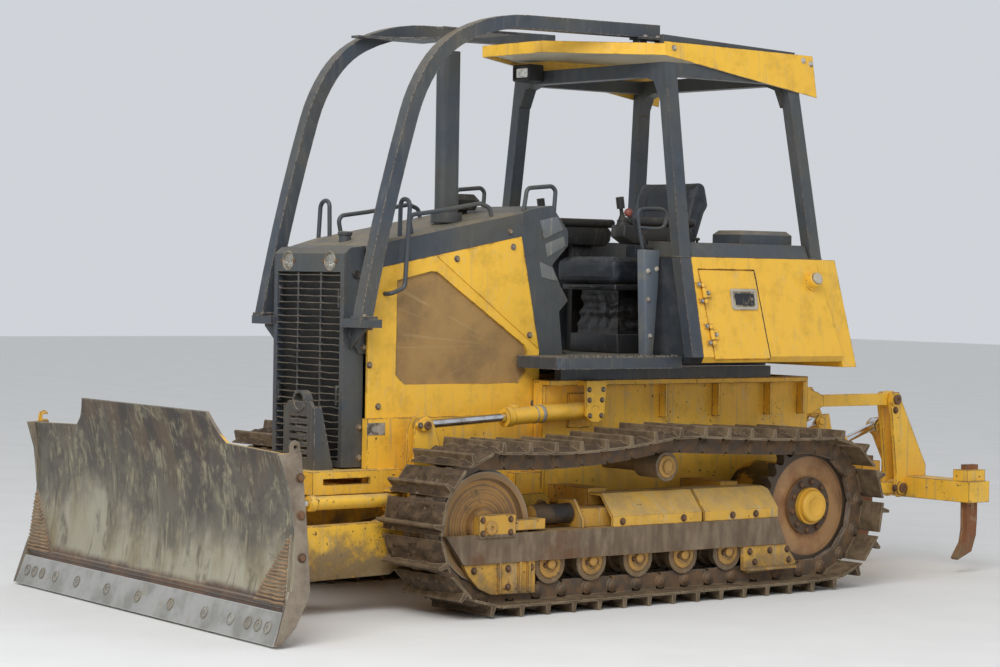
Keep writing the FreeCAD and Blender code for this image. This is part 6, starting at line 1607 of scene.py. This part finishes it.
class DOZER_OT_undercarriage_fittings(bpy.types.Operator):
    """Adds the rollers' and idlers' hubs and the bolts of the sprockets, track covers and guards"""

    bl_idname = "dozer.undercarriage_fittings"
    bl_label = "Undercarriage fittings"

    def execute(self, context):
        ring = []
        for k in range(RING_BOLTS):
            a = 2 * math.pi * (k + 0.3) / RING_BOLTS
            ring.append((SPROCKET_Y + RING_R * math.cos(a), SPROCKET_Z + RING_R * math.sin(a)))
        spots = both_sides(on_face(CHAIN_X + 0.036, ring))
        bolted("sprocket_bolts", spots, "chassis", "rusty_bolt", 1.05)
        spots = both_sides(on_face(0.894, [(y, COVER_BOLT_Z) for y in COVER_BOLTS_Y]))
        bolted("cover_bolts", spots, "chassis", "rusty_bolt", 0.95)
        spots = both_sides(on_face(0.892, GUARD_BOLTS) + on_face(0.890, NOSE_BOLTS))
        bolted("guard_bolts", spots, "chassis", "rusty_bolt", 0.9)

        hub = turned("hub", ROLLER_HUB, 24, "ochre_hub")
        spots = both_sides(on_face(ROLLER_FACE, [(y, ROLLER_Z) for y in ROLLERS_Y]))
        set_out("roller_hubs", hub, spots, "chassis")
        nuts = [(y + shift, ROLLER_Z - 0.004) for y in ROLLERS_Y for shift in ROLLER_NUTS]
        spots = both_sides(on_face(ROLLER_FACE + 0.004, nuts))
        bolted("roller_nuts", spots, "chassis", "rusty_bolt", 0.62)

        corners = [(IDLER_Y + y, IDLER_Z + rise) for y in (-0.048, 0.118) for rise in (-0.024, 0.038)]
        spots = both_sides(on_face(BEARING_FACE, corners))
        bolted("bearing_bolts", spots, "chassis", "rusty_bolt", 0.8)
        spots = both_sides(on_face(BEARING_FACE, [(IDLER_Y, IDLER_Z)]))
        set_out("idler_caps", pin_end(0.034, "ochre_hub"), spots, "chassis")
        hub = turned("hub", CARRIER_HUB, 28, "ochre_hub")
        set_out("carrier_hubs", hub, both_sides(on_face(CARRIER_FACE, [CARRIER])), "chassis")
        return {"FINISHED"}


# Cylinders and linkage

LIFT_X = 0.473
LIFT_PIN = (-0.140, 0.930)              # the trunnion, (y, z)
LIFT_EYE = (-1.179, 0.876)
LIFT_BANDS = ((0.290, 0.022), (0.330, 0.008), (-0.060, 0.012))      # share of the way to the eye, and width
BAND_R, BAND_THICK = 0.0437, 0.0022
LIFT_PORTS = ((0.45, 0.016, 0.020, 0.060), (-0.03, 0.014, 0.016,
                                            0.056))    # share, half width and length, top
PORT_FOOT = 0.036
KEEPER = ((-1.204, 0.850), (-1.160, 0.852), (-1.150, 0.872), (-1.166, 0.896), (-1.190, 0.902),
          (-1.236, 0.888),
          (-1.242, 0.876), (-1.232, 0.864))
KEEPER_X = (0.508, 0.5275)
KEEPER_BOLT = (-1.222, 0.877)
PIVOT_X, PIVOT = 0.520, (-0.460, 0.455)
SADDLE_X = 0.540
SADDLE_BOLTS = ((-0.040, 0.052), (0.042, 0.052), (-0.036, -0.026), (0.038, -0.026), (-0.042, 0.104),
                (0.050, 0.104))         # from the trunnion
RIPPER_PINS = ((2.190, 0.940), (2.250, 0.445))
RIPPER_OUT, RIPPER_IN, RIPPER_PLATE = 0.406, 0.274, 0.393
RIPPER_NUTS = ((2.195, 0.445), (2.190, 0.880))


class DOZER_OT_linkage_fittings(bpy.types.Operator):
    """Adds the lift cylinders' bands and bolts, the pins' keepers and the ends of the ripper's pins"""

    bl_idname = "dozer.linkage_fittings"
    bl_label = "Linkage fittings"

    def execute(self, context):
        along = (0, LIFT_EYE[0] - LIFT_PIN[0], LIFT_EYE[1] - LIFT_PIN[1])
        bands = []
        for share, width in LIFT_BANDS:
            y, z = between(LIFT_PIN, LIFT_EYE, share)
            for side in (1, -1):
                band = hoop("band", BAND_R, BAND_THICK, width)
                band.data.transform(facing((side * LIFT_X, y, z), along))
                bands.append(band)
        assembled("lift_bands", bands, "plate_grey", "lift_barrels")

        ports = []
        for side in (1, -1):
            for share, wide, long, top in LIFT_PORTS:
                y, z = between(LIFT_PIN, LIFT_EYE, share)
                corners = (LIFT_X - wide, y - long, z + PORT_FOOT), (LIFT_X + wide, y + long, z + top)
                ports.append(block("port", *sided(corners, side), 0.003))
        assembled("lift_ports", ports, "body_yellow", "lift_barrels")

        plates = [side_plate("keeper", KEEPER, side * KEEPER_X[0], side * KEEPER_X[1]) for side in (1, -1)]
        assembled("lift_keepers", plates, "body_yellow", "c_frame", edge=0.002)
        spots = both_sides(on_face(KEEPER_X[1], [KEEPER_BOLT]))
        bolted("keeper_bolts", spots, "c_frame", "bolt_steel", 0.8)
        spots = both_sides(on_face(KEEPER_X[1], [LIFT_EYE]))
        set_out("lift_pins", pin_end(0.021, "rusty_bolt"), spots, "c_frame")
        spots = both_sides(on_face(PIVOT_X, [PIVOT]))
        set_out("pivot_pins", pin_end(0.034, "rusty_bolt"), spots, "chassis")

        saddle = [(LIFT_PIN[0] + y, LIFT_PIN[1] + z) for y, z in SADDLE_BOLTS]
        spots = both_sides(on_face(SADDLE_X, saddle))
        bolted("saddle_bolts", spots, "chassis", "bolt_steel", 0.7)
        spots = both_sides(on_face(RIPPER_OUT, RIPPER_PINS) + on_face(RIPPER_IN, RIPPER_PINS, RIGHT))
        set_out("ripper_pin_ends", pin_end(0.028, "rusty_bolt"), spots, "ripper_beam")
        spots = both_sides(on_face(RIPPER_PLATE, RIPPER_NUTS))
        bolted("ripper_keepers", spots, "ripper_beam", "rusty_bolt", 1.0)
        return {"FINISHED"}


# Seat and controls

CUSHION = ((-0.241, 0.224, 1.567), (0.241, 0.681, 1.692))
CUSHION_EDGE = 0.034
BACKREST = ((0.701, 1.612), (0.752, 1.612), (0.894, 1.990), (0.873, 2.100), (0.826, 2.116), (0.786, 2.040),
            (0.708, 1.762))
BACKREST_HALF, BACKREST_EDGE = 0.236, 0.022
PAD_CELL = 0.006                        # size of the squares that a pad is remeshed in
SWELL_FRAMES = 20
SEAM_X = 0.130
SEAM_R, SEAM_STEPS = 0.0035, 10
SEAM_RUN, RISING_RUN = 0.42, 0.40       # across or along a pad, and up the backrest
SEAT_HANDLE = ((-0.10, 0.262, 1.544), (-0.10, 0.205, 1.544), (-0.07, 0.196, 1.544), (0.07, 0.196, 1.544),
               (0.10, 0.205, 1.544), (0.10, 0.262, 1.544))


def puffed(piece, reach):
    """Blows a padded shape up as cloth, with no point moving further than reach."""
    choose(piece)
    piece.data.remesh_voxel_size = PAD_CELL
    bpy.ops.object.voxel_remesh()
    before = [corner.co.copy() for corner in piece.data.vertices]
    cloth = piece.modifiers.new("cloth", "CLOTH")
    cloth.settings.use_pressure = True
    cloth.settings.uniform_pressure_force = 4.0
    cloth.settings.effector_weights.gravity = 0.0
    scene = bpy.context.scene
    for step in range(1, SWELL_FRAMES + 1):
        scene.frame_set(step)
    choose(piece)
    bpy.ops.object.modifier_apply(modifier="cloth")
    scene.frame_set(1)
    for corner, start in zip(piece.data.vertices, before):
        step = corner.co - start
        if step.length > reach:
            corner.co = start + step * (reach / step.length)
    modified(piece, "SMOOTH", factor=0.5, iterations=3)
    return modified(piece, "SUBSURF", levels=1, render_levels=1)


def seam(piece, start, axis, direction, run=SEAM_RUN):
    """A welt: points from a start along one axis, each pushed on until it meets the padded piece."""
    route = []
    for k in range(SEAM_STEPS + 1):
        point = Vector(start)
        point[axis] = start[axis] + run * k / SEAM_STEPS
        hit, place, normal, index = piece.ray_cast(point - Vector(direction) * 0.5, Vector(direction))
        if hit:
            route.append(place + normal * SEAM_R * 0.2)
    return tube("seam", route, SEAM_R, 8)


class DOZER_OT_seat(bpy.types.Operator):
    """Builds the seat's cushion and backrest as padded vinyl with welts, and the handle below"""

    bl_idname = "dozer.seat"
    bl_label = "Seat"

    def execute(self, context):
        low, high = CUSHION
        cushion = puffed(block("cushion_pad", low, high, CUSHION_EDGE), 0.009)
        left, front = low[0] + 0.03, low[1] + 0.02
        lines = [seam(cushion, (x, front, 1.7), 1, DOWN) for x in (-SEAM_X, SEAM_X)]
        lines.append(seam(cushion, (left, 0.290, 1.7), 0, DOWN))
        lines.append(seam(cushion, (left, 0.3, 1.600), 0, BACK))
        self.finish_pad("cushion", [cushion] + lines, "seat_cushion", 0.75)

        back = side_plate("back_pad", BACKREST, -BACKREST_HALF, BACKREST_HALF)
        back = puffed(modified(back, "BEVEL", width=BACKREST_EDGE, segments=3), 0.008)
        lines = [seam(back, (x, 0.8, 1.66), 2, BACK, RISING_RUN) for x in (-SEAM_X, SEAM_X)]
        lines += [seam(back, (left, 0.8, z), 0, BACK) for z in (1.790, 1.960)]
        self.finish_pad("backrest", [back] + lines, "seat_back", 0.7)
        assembled("handle", [tube("handle", SEAT_HANDLE, 0.0075, 12)], "plastic", "chassis")
        return {"FINISHED"}

    def finish_pad(self, name, parts, node, fill):
        pad = joined(name, parts)
        coat(pad, "worn_vinyl")
        hand_over(pad, "chassis", smooth=60)
        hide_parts(node)


FLOOR_Z = 1.2003                        # just above the operator's platform
PLINTH = ((-0.190, 0.300, FLOOR_Z), (0.190, 0.640, 1.300))
BELLOWS = ((-0.163, 0.326, 1.299), (0.163, 0.622, 1.532))
SEAT_PAN = ((-0.215, 0.260, 1.528), (0.215, 0.690, 1.560))
BELLOWS_CUTS, BELLOWS_FOLDS = 34, 3


def creased_bellows():
    """A soft boot that is drawn in at its folds and creased all over."""
    low, high = BELLOWS
    boot = block("bellows", low, high)
    pick(boot, lambda middle, normal: True)
    bpy.ops.mesh.subdivide(number_cuts=BELLOWS_CUTS)
    close_edit()
    centre = [(a + b) / 2 for a, b in zip(low, high)]
    for corner in boot.data.vertices:
        rise = (corner.co.z - low[2]) / (high[2] - low[2])
        fold = 0.045 * (1 + math.cos(2 * math.pi * BELLOWS_FOLDS * rise)) * math.sin(math.pi * rise)
        crease = noise.fractal(corner.co * 13, 0.8, 2.1, 4) * math.sin(math.pi * min(1.0, max(0.0, rise)))
        width = 1 - 0.10 * rise - fold + 0.07 * crease
        for axis in (0, 1):
            corner.co[axis] = centre[axis] + (corner.co[axis] - centre[axis]) * width
        corner.co.z += 0.010 * crease
    return boot


class DOZER_OT_seat_base(bpy.types.Operator):
    """Builds the seat's creased bellows with the plinth below and the pan above"""

    bl_idname = "dozer.seat_base"
    bl_label = "Seat base"

    def execute(self, context):
        bellows = creased_bellows()
        coat(bellows, "bellows_skin")
        plinth = block("plinth", *PLINTH, 0.006)
        pan = block("pan", *SEAT_PAN, 0.008)
        coat(plinth, "control_plastic")
        coat(pan, "control_plastic")
        base = hand_over(joined("bellows_base", [bellows, plinth, pan]), "chassis",
                         smooth=50)
        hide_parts("seat_base")
        return {"FINISHED"}


POD = ((0.172, 1.805), (0.178, 1.8663), (0.622, 1.8663), (0.650, 1.840), (0.640, 1.788), (0.600, 1.762),
       (0.240, 1.768))
POD_X = (0.266, 0.376)
POD_LEG = ((0.300, 0.400, FLOOR_Z), (0.345, 0.540, 1.770))
ARM_PAD = ((0.253, 0.266, 1.862), (0.387, 0.668, 1.908))
STAND = ((0.200, FLOOR_Z), (0.248, FLOOR_Z), (0.276, 1.560), (0.284, 1.735), (0.178, 1.740), (0.188, 1.500))
STAND_X = (0.472, 0.530)


class DOZER_OT_consoles(bpy.types.Operator):
    """Builds the arm pods with their rounded pads, and the lever stand at the left doorway"""

    bl_idname = "dozer.consoles"
    bl_label = "Consoles"

    def execute(self, context):
        parts = []
        for side in (1, -1):
            pod = side_plate("pod", POD, side * POD_X[0], side * POD_X[1])
            parts.append(modified(pod, "BEVEL", width=0.010, segments=3))
            parts.append(block("leg", *sided(POD_LEG, side), 0.006))
            parts.append(modified(block("pad", *sided(ARM_PAD, side)), "BEVEL", width=0.020, segments=5))
        parts.append(modified(side_plate("stand", STAND, *STAND_X), "BEVEL", width=0.004, segments=2))
        consoles = assembled("consoles", parts, "console_plastic", "chassis")
        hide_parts("arm_consoles")
        return {"FINISHED"}


BOOT_FOLDS, BOOT_FOLD, BOOT_TAPER = 5, 0.011, 0.005         # count, height, draw-in
BOOT_PLACE, BOOT_LEAN = (0.320, 0.212, 1.866), (0, -0.12, 1)
GRAB_X = 0.500
GRAB_LOOP = ((0.195, 1.738), (0.168, 1.830), (0.152, 1.920), (0.172, 1.946), (0.250, 1.950), (0.330, 1.948),
             (0.354, 1.925), (0.344, 1.865), (0.305, 1.846), (0.230, 1.846), (0.172, 1.850))
STAND_BOLTS = ((0.263, 1.642), (0.205, 1.631), (0.206, 1.486), (0.226, 1.300))
PEDAL_X, PEDAL_HALF = 0.120, 0.040
PEDAL_FRONT, PEDAL_REAR = (-0.150, 1.2275), (-0.024, 1.2015)        # its slope, (y, z)
TREADS = 5


class DOZER_OT_control_fittings(bpy.types.Operator):
    """Adds the joysticks' boots, the grab loop, the lever stand's bolts and the pedals' treads"""

    bl_idname = "dozer.control_fittings"
    bl_label = "Control fittings"

    def execute(self, context):
        steps = [(0.036, 0.0)]
        for k in range(BOOT_FOLDS):
            taper, rise = BOOT_TAPER * k, BOOT_FOLD * k
            steps += [(0.035 - taper, 0.004 + rise), (0.031 - taper, 0.009 + rise)]
        boot = turned("boot", steps + [(0.012, 0.062)], 20, "black_rubber")
        set_out("boots", boot, both_sides([(BOOT_PLACE, BOOT_LEAN)]), "chassis")
        grab = tube("grab_loop", [(GRAB_X, y, z) for y, z in GRAB_LOOP], 0.009, 12)
        assembled("grab_loop", [grab], "frame_slate", "chassis")
        spots = on_face(STAND_X[1], STAND_BOLTS)
        bolted("stand_bolts", spots, "chassis", "bright_bolt", 0.7)

        treads = []
        for side in (1, -1):
            for k in range(TREADS):
                y, z = between(PEDAL_FRONT, PEDAL_REAR, 0.12 + 0.18 * k)
                corners = (PEDAL_X - PEDAL_HALF, y - 0.004, z + 0.006), (PEDAL_X + PEDAL_HALF, y + 0.004,
                                                                         z + 0.016)
                treads.append(block("tread", *sided(corners, side), 0.002))
        assembled("pedal_treads", treads, "black_rubber", "chassis")
        return {"FINISHED"}


# Canopy

SKIRT_BOLTS = ((1.209, 2.755), (1.262, 2.740), (0.290, 2.762))      # (y, z)
SWEEP_BOLTS_X, SWEEP_BOLTS_Y, SWEEP_BOLTS_Z = 0.466, (0.215, 0.300, 0.385), 2.8207
WORK_LAMP = ((-0.505, 0.128, 2.632), (-0.360, 0.2325, 2.722))
ROOF_BRACKET = ((0.499, 2.7825), (0.515, 2.822), (0.560, 2.834), (0.700, 2.834), (0.735, 2.818),
                (0.748, 2.7825))
ROOF_BRACKET_X = (0.270, 0.330)


class DOZER_OT_canopy_fittings(bpy.types.Operator):
    """Adds the canopy's bolts, the work lamp under its nose and the bracket on its roof"""

    bl_idname = "dozer.canopy_fittings"
    bl_label = "Canopy fittings"

    def execute(self, context):
        skirt = [((lean_x(z) + 0.010, y, z), LEAN_OUT) for y, z in SKIRT_BOLTS]
        ends = [((SWEEP_BOLTS_X, y, SWEEP_BOLTS_Z), UP) for y in SWEEP_BOLTS_Y]
        bolted("canopy_bolts", both_sides(skirt + ends), "chassis", "bright_bolt", 0.8)

        shell = block("shell", *WORK_LAMP, 0.010)
        pick(shell, lambda middle, normal: normal.y < -0.9)
        bpy.ops.mesh.inset(thickness=0.010, depth=0.0)
        bpy.ops.mesh.inset(thickness=0.002, depth=-0.012)
        close_edit()
        coat(shell, "plastic", "lamp_bowl")
        ahead = [side for side in shell.data.polygons if side.normal.y < -0.9 and side.area > 0.002]
        deepest = max(side.center.y for side in ahead)
        for side in ahead:
            if side.center.y > deepest - 0.001:
                side.material_index = 1
        hand_over(shell, "chassis")
        bracket = side_plate("bracket", ROOF_BRACKET, *ROOF_BRACKET_X)
        assembled("bracket", [bracket], "body_yellow", "chassis", edge=0.005)
        return {"FINISHED"}


# Stage

FLOOR_SIZE = 90
KEY_PLACE, KEY_AIM, KEY_SIZE = (6.0, -7.5, 8.5), (0, 0, 1.2), 7.0
SKY_COLOUR = srgb(236, 240, 246)


class DOZER_OT_stage(bpy.types.Operator):
    """Adds the floor, the lights and the camera"""

    bl_idname = "dozer.stage"
    bl_label = "Stage"

    def execute(self, context):
        stage = settings()[1]
        begin()
        bpy.ops.mesh.primitive_plane_add(size=FLOOR_SIZE, location=(0, 0, 0))
        floor = context.object
        floor.name = "floor"
        made, tree, shader = material("pale_floor")
        tint = (*(0.96 * value for value in stage.floor[:3]), 1.0)
        feed(tree, shader.inputs["Base Color"], blend(tree, mottle(tree, 2.0, 4.0), 0.3, 0.7, stage.floor,
                                                      tint))
        shader.inputs["Roughness"].default_value = 0.85
        floor.data.materials.append(made)

        world = bpy.data.worlds.new("soft_sky")
        context.scene.world = world
        world.use_nodes = True
        back = world.node_tree.nodes["Background"]
        back.inputs["Color"].default_value = SKY_COLOUR
        back.inputs["Strength"].default_value = stage.sky

        lamp = bpy.data.lights.new("key", "AREA")
        lamp.energy = stage.key
        lamp.size = KEY_SIZE
        key = bpy.data.objects.new("key", lamp)
        context.collection.objects.link(key)
        key.location = KEY_PLACE
        key.rotation_euler = (Vector(KEY_AIM) - key.location).to_track_quat("-Z", "Y").to_euler()

        self.add_camera(context)
        context.scene.view_settings.view_transform = "Standard"
        return {"FINISHED"}

    def add_camera(self, context):
        yaw, pitch, roll = (math.radians(v) for v in (CAMERA_YAW, CAMERA_PITCH, CAMERA_ROLL))
        ahead = Vector((-math.cos(yaw) * math.cos(pitch), math.sin(yaw) * math.cos(pitch),
                        -math.sin(pitch)))
        right = ahead.cross(Vector((0, 0, 1))).normalized()
        up = right.cross(ahead)
        turned_right = right * math.cos(roll) + up * math.sin(roll)
        turned_up = up * math.cos(roll) - right * math.sin(roll)
        lens = bpy.data.cameras.new("camera")
        lens.sensor_width = SENSOR_MM
        lens.lens = FOCAL_PIXELS * SENSOR_MM / PHOTO_WIDTH
        lens.clip_end = 200
        camera = bpy.data.objects.new("camera", lens)
        context.collection.objects.link(camera)
        turn = Matrix((turned_right, turned_up, -ahead)).transposed().to_4x4()
        camera.matrix_world = Matrix.Translation(at(*CAMERA_PLACE)) @ turn
        context.scene.camera = camera


class DOZER_PT_sidebar(bpy.types.Panel):
    """Lists the dozer's operators and settings"""

    bl_label = "Dozer"
    bl_idname = "DOZER_PT_sidebar"
    bl_space_type = "VIEW_3D"
    bl_region_type = "UI"
    bl_category = "Dozer"

    def draw(self, context):
        for group in settings():
            for name in group.__annotations__:
                self.layout.prop(group, name)
        for operator in OPERATORS:
            self.layout.operator(operator.bl_idname)


OPERATORS = (DOZER_OT_stage, DOZER_OT_finishes, DOZER_OT_tracks, DOZER_OT_grille, DOZER_OT_lamps,
             DOZER_OT_seat,
             DOZER_OT_seat_base, DOZER_OT_consoles, DOZER_OT_blade_fittings, DOZER_OT_front_fittings,
             DOZER_OT_panel_fittings, DOZER_OT_door_fittings,
             DOZER_OT_deck_fittings, DOZER_OT_undercarriage_fittings, DOZER_OT_linkage_fittings,
             DOZER_OT_control_fittings, DOZER_OT_canopy_fittings)
CLASSES = (DozerFinish, DozerStage, DozerFittings, *OPERATORS, DOZER_PT_sidebar)


def register():
    for one in CLASSES:
        bpy.utils.register_class(one)
    bpy.types.Scene.dozer_finish = bpy.props.PointerProperty(type=DozerFinish)
    bpy.types.Scene.dozer_stage = bpy.props.PointerProperty(type=DozerStage)
    bpy.types.Scene.dozer_fittings = bpy.props.PointerProperty(type=DozerFittings)


def unregister():
    del bpy.types.Scene.dozer_fittings
    del bpy.types.Scene.dozer_stage
    del bpy.types.Scene.dozer_finish
    for one in reversed(CLASSES):
        bpy.utils.unregister_class(one)


def main():
    register()
    bpy.ops.dozer.stage()
    bpy.ops.dozer.finishes()
    bpy.ops.dozer.tracks()
    bpy.ops.dozer.grille()
    bpy.ops.dozer.lamps()
    bpy.ops.dozer.seat()
    bpy.ops.dozer.seat_base()
    bpy.ops.dozer.consoles()
    bpy.ops.dozer.blade_fittings()
    bpy.ops.dozer.front_fittings()
    bpy.ops.dozer.panel_fittings()
    bpy.ops.dozer.door_fittings()
    bpy.ops.dozer.deck_fittings()
    bpy.ops.dozer.undercarriage_fittings()
    bpy.ops.dozer.linkage_fittings()
    bpy.ops.dozer.control_fittings()
    bpy.ops.dozer.canopy_fittings()


if __name__ == "__main__":
    main()
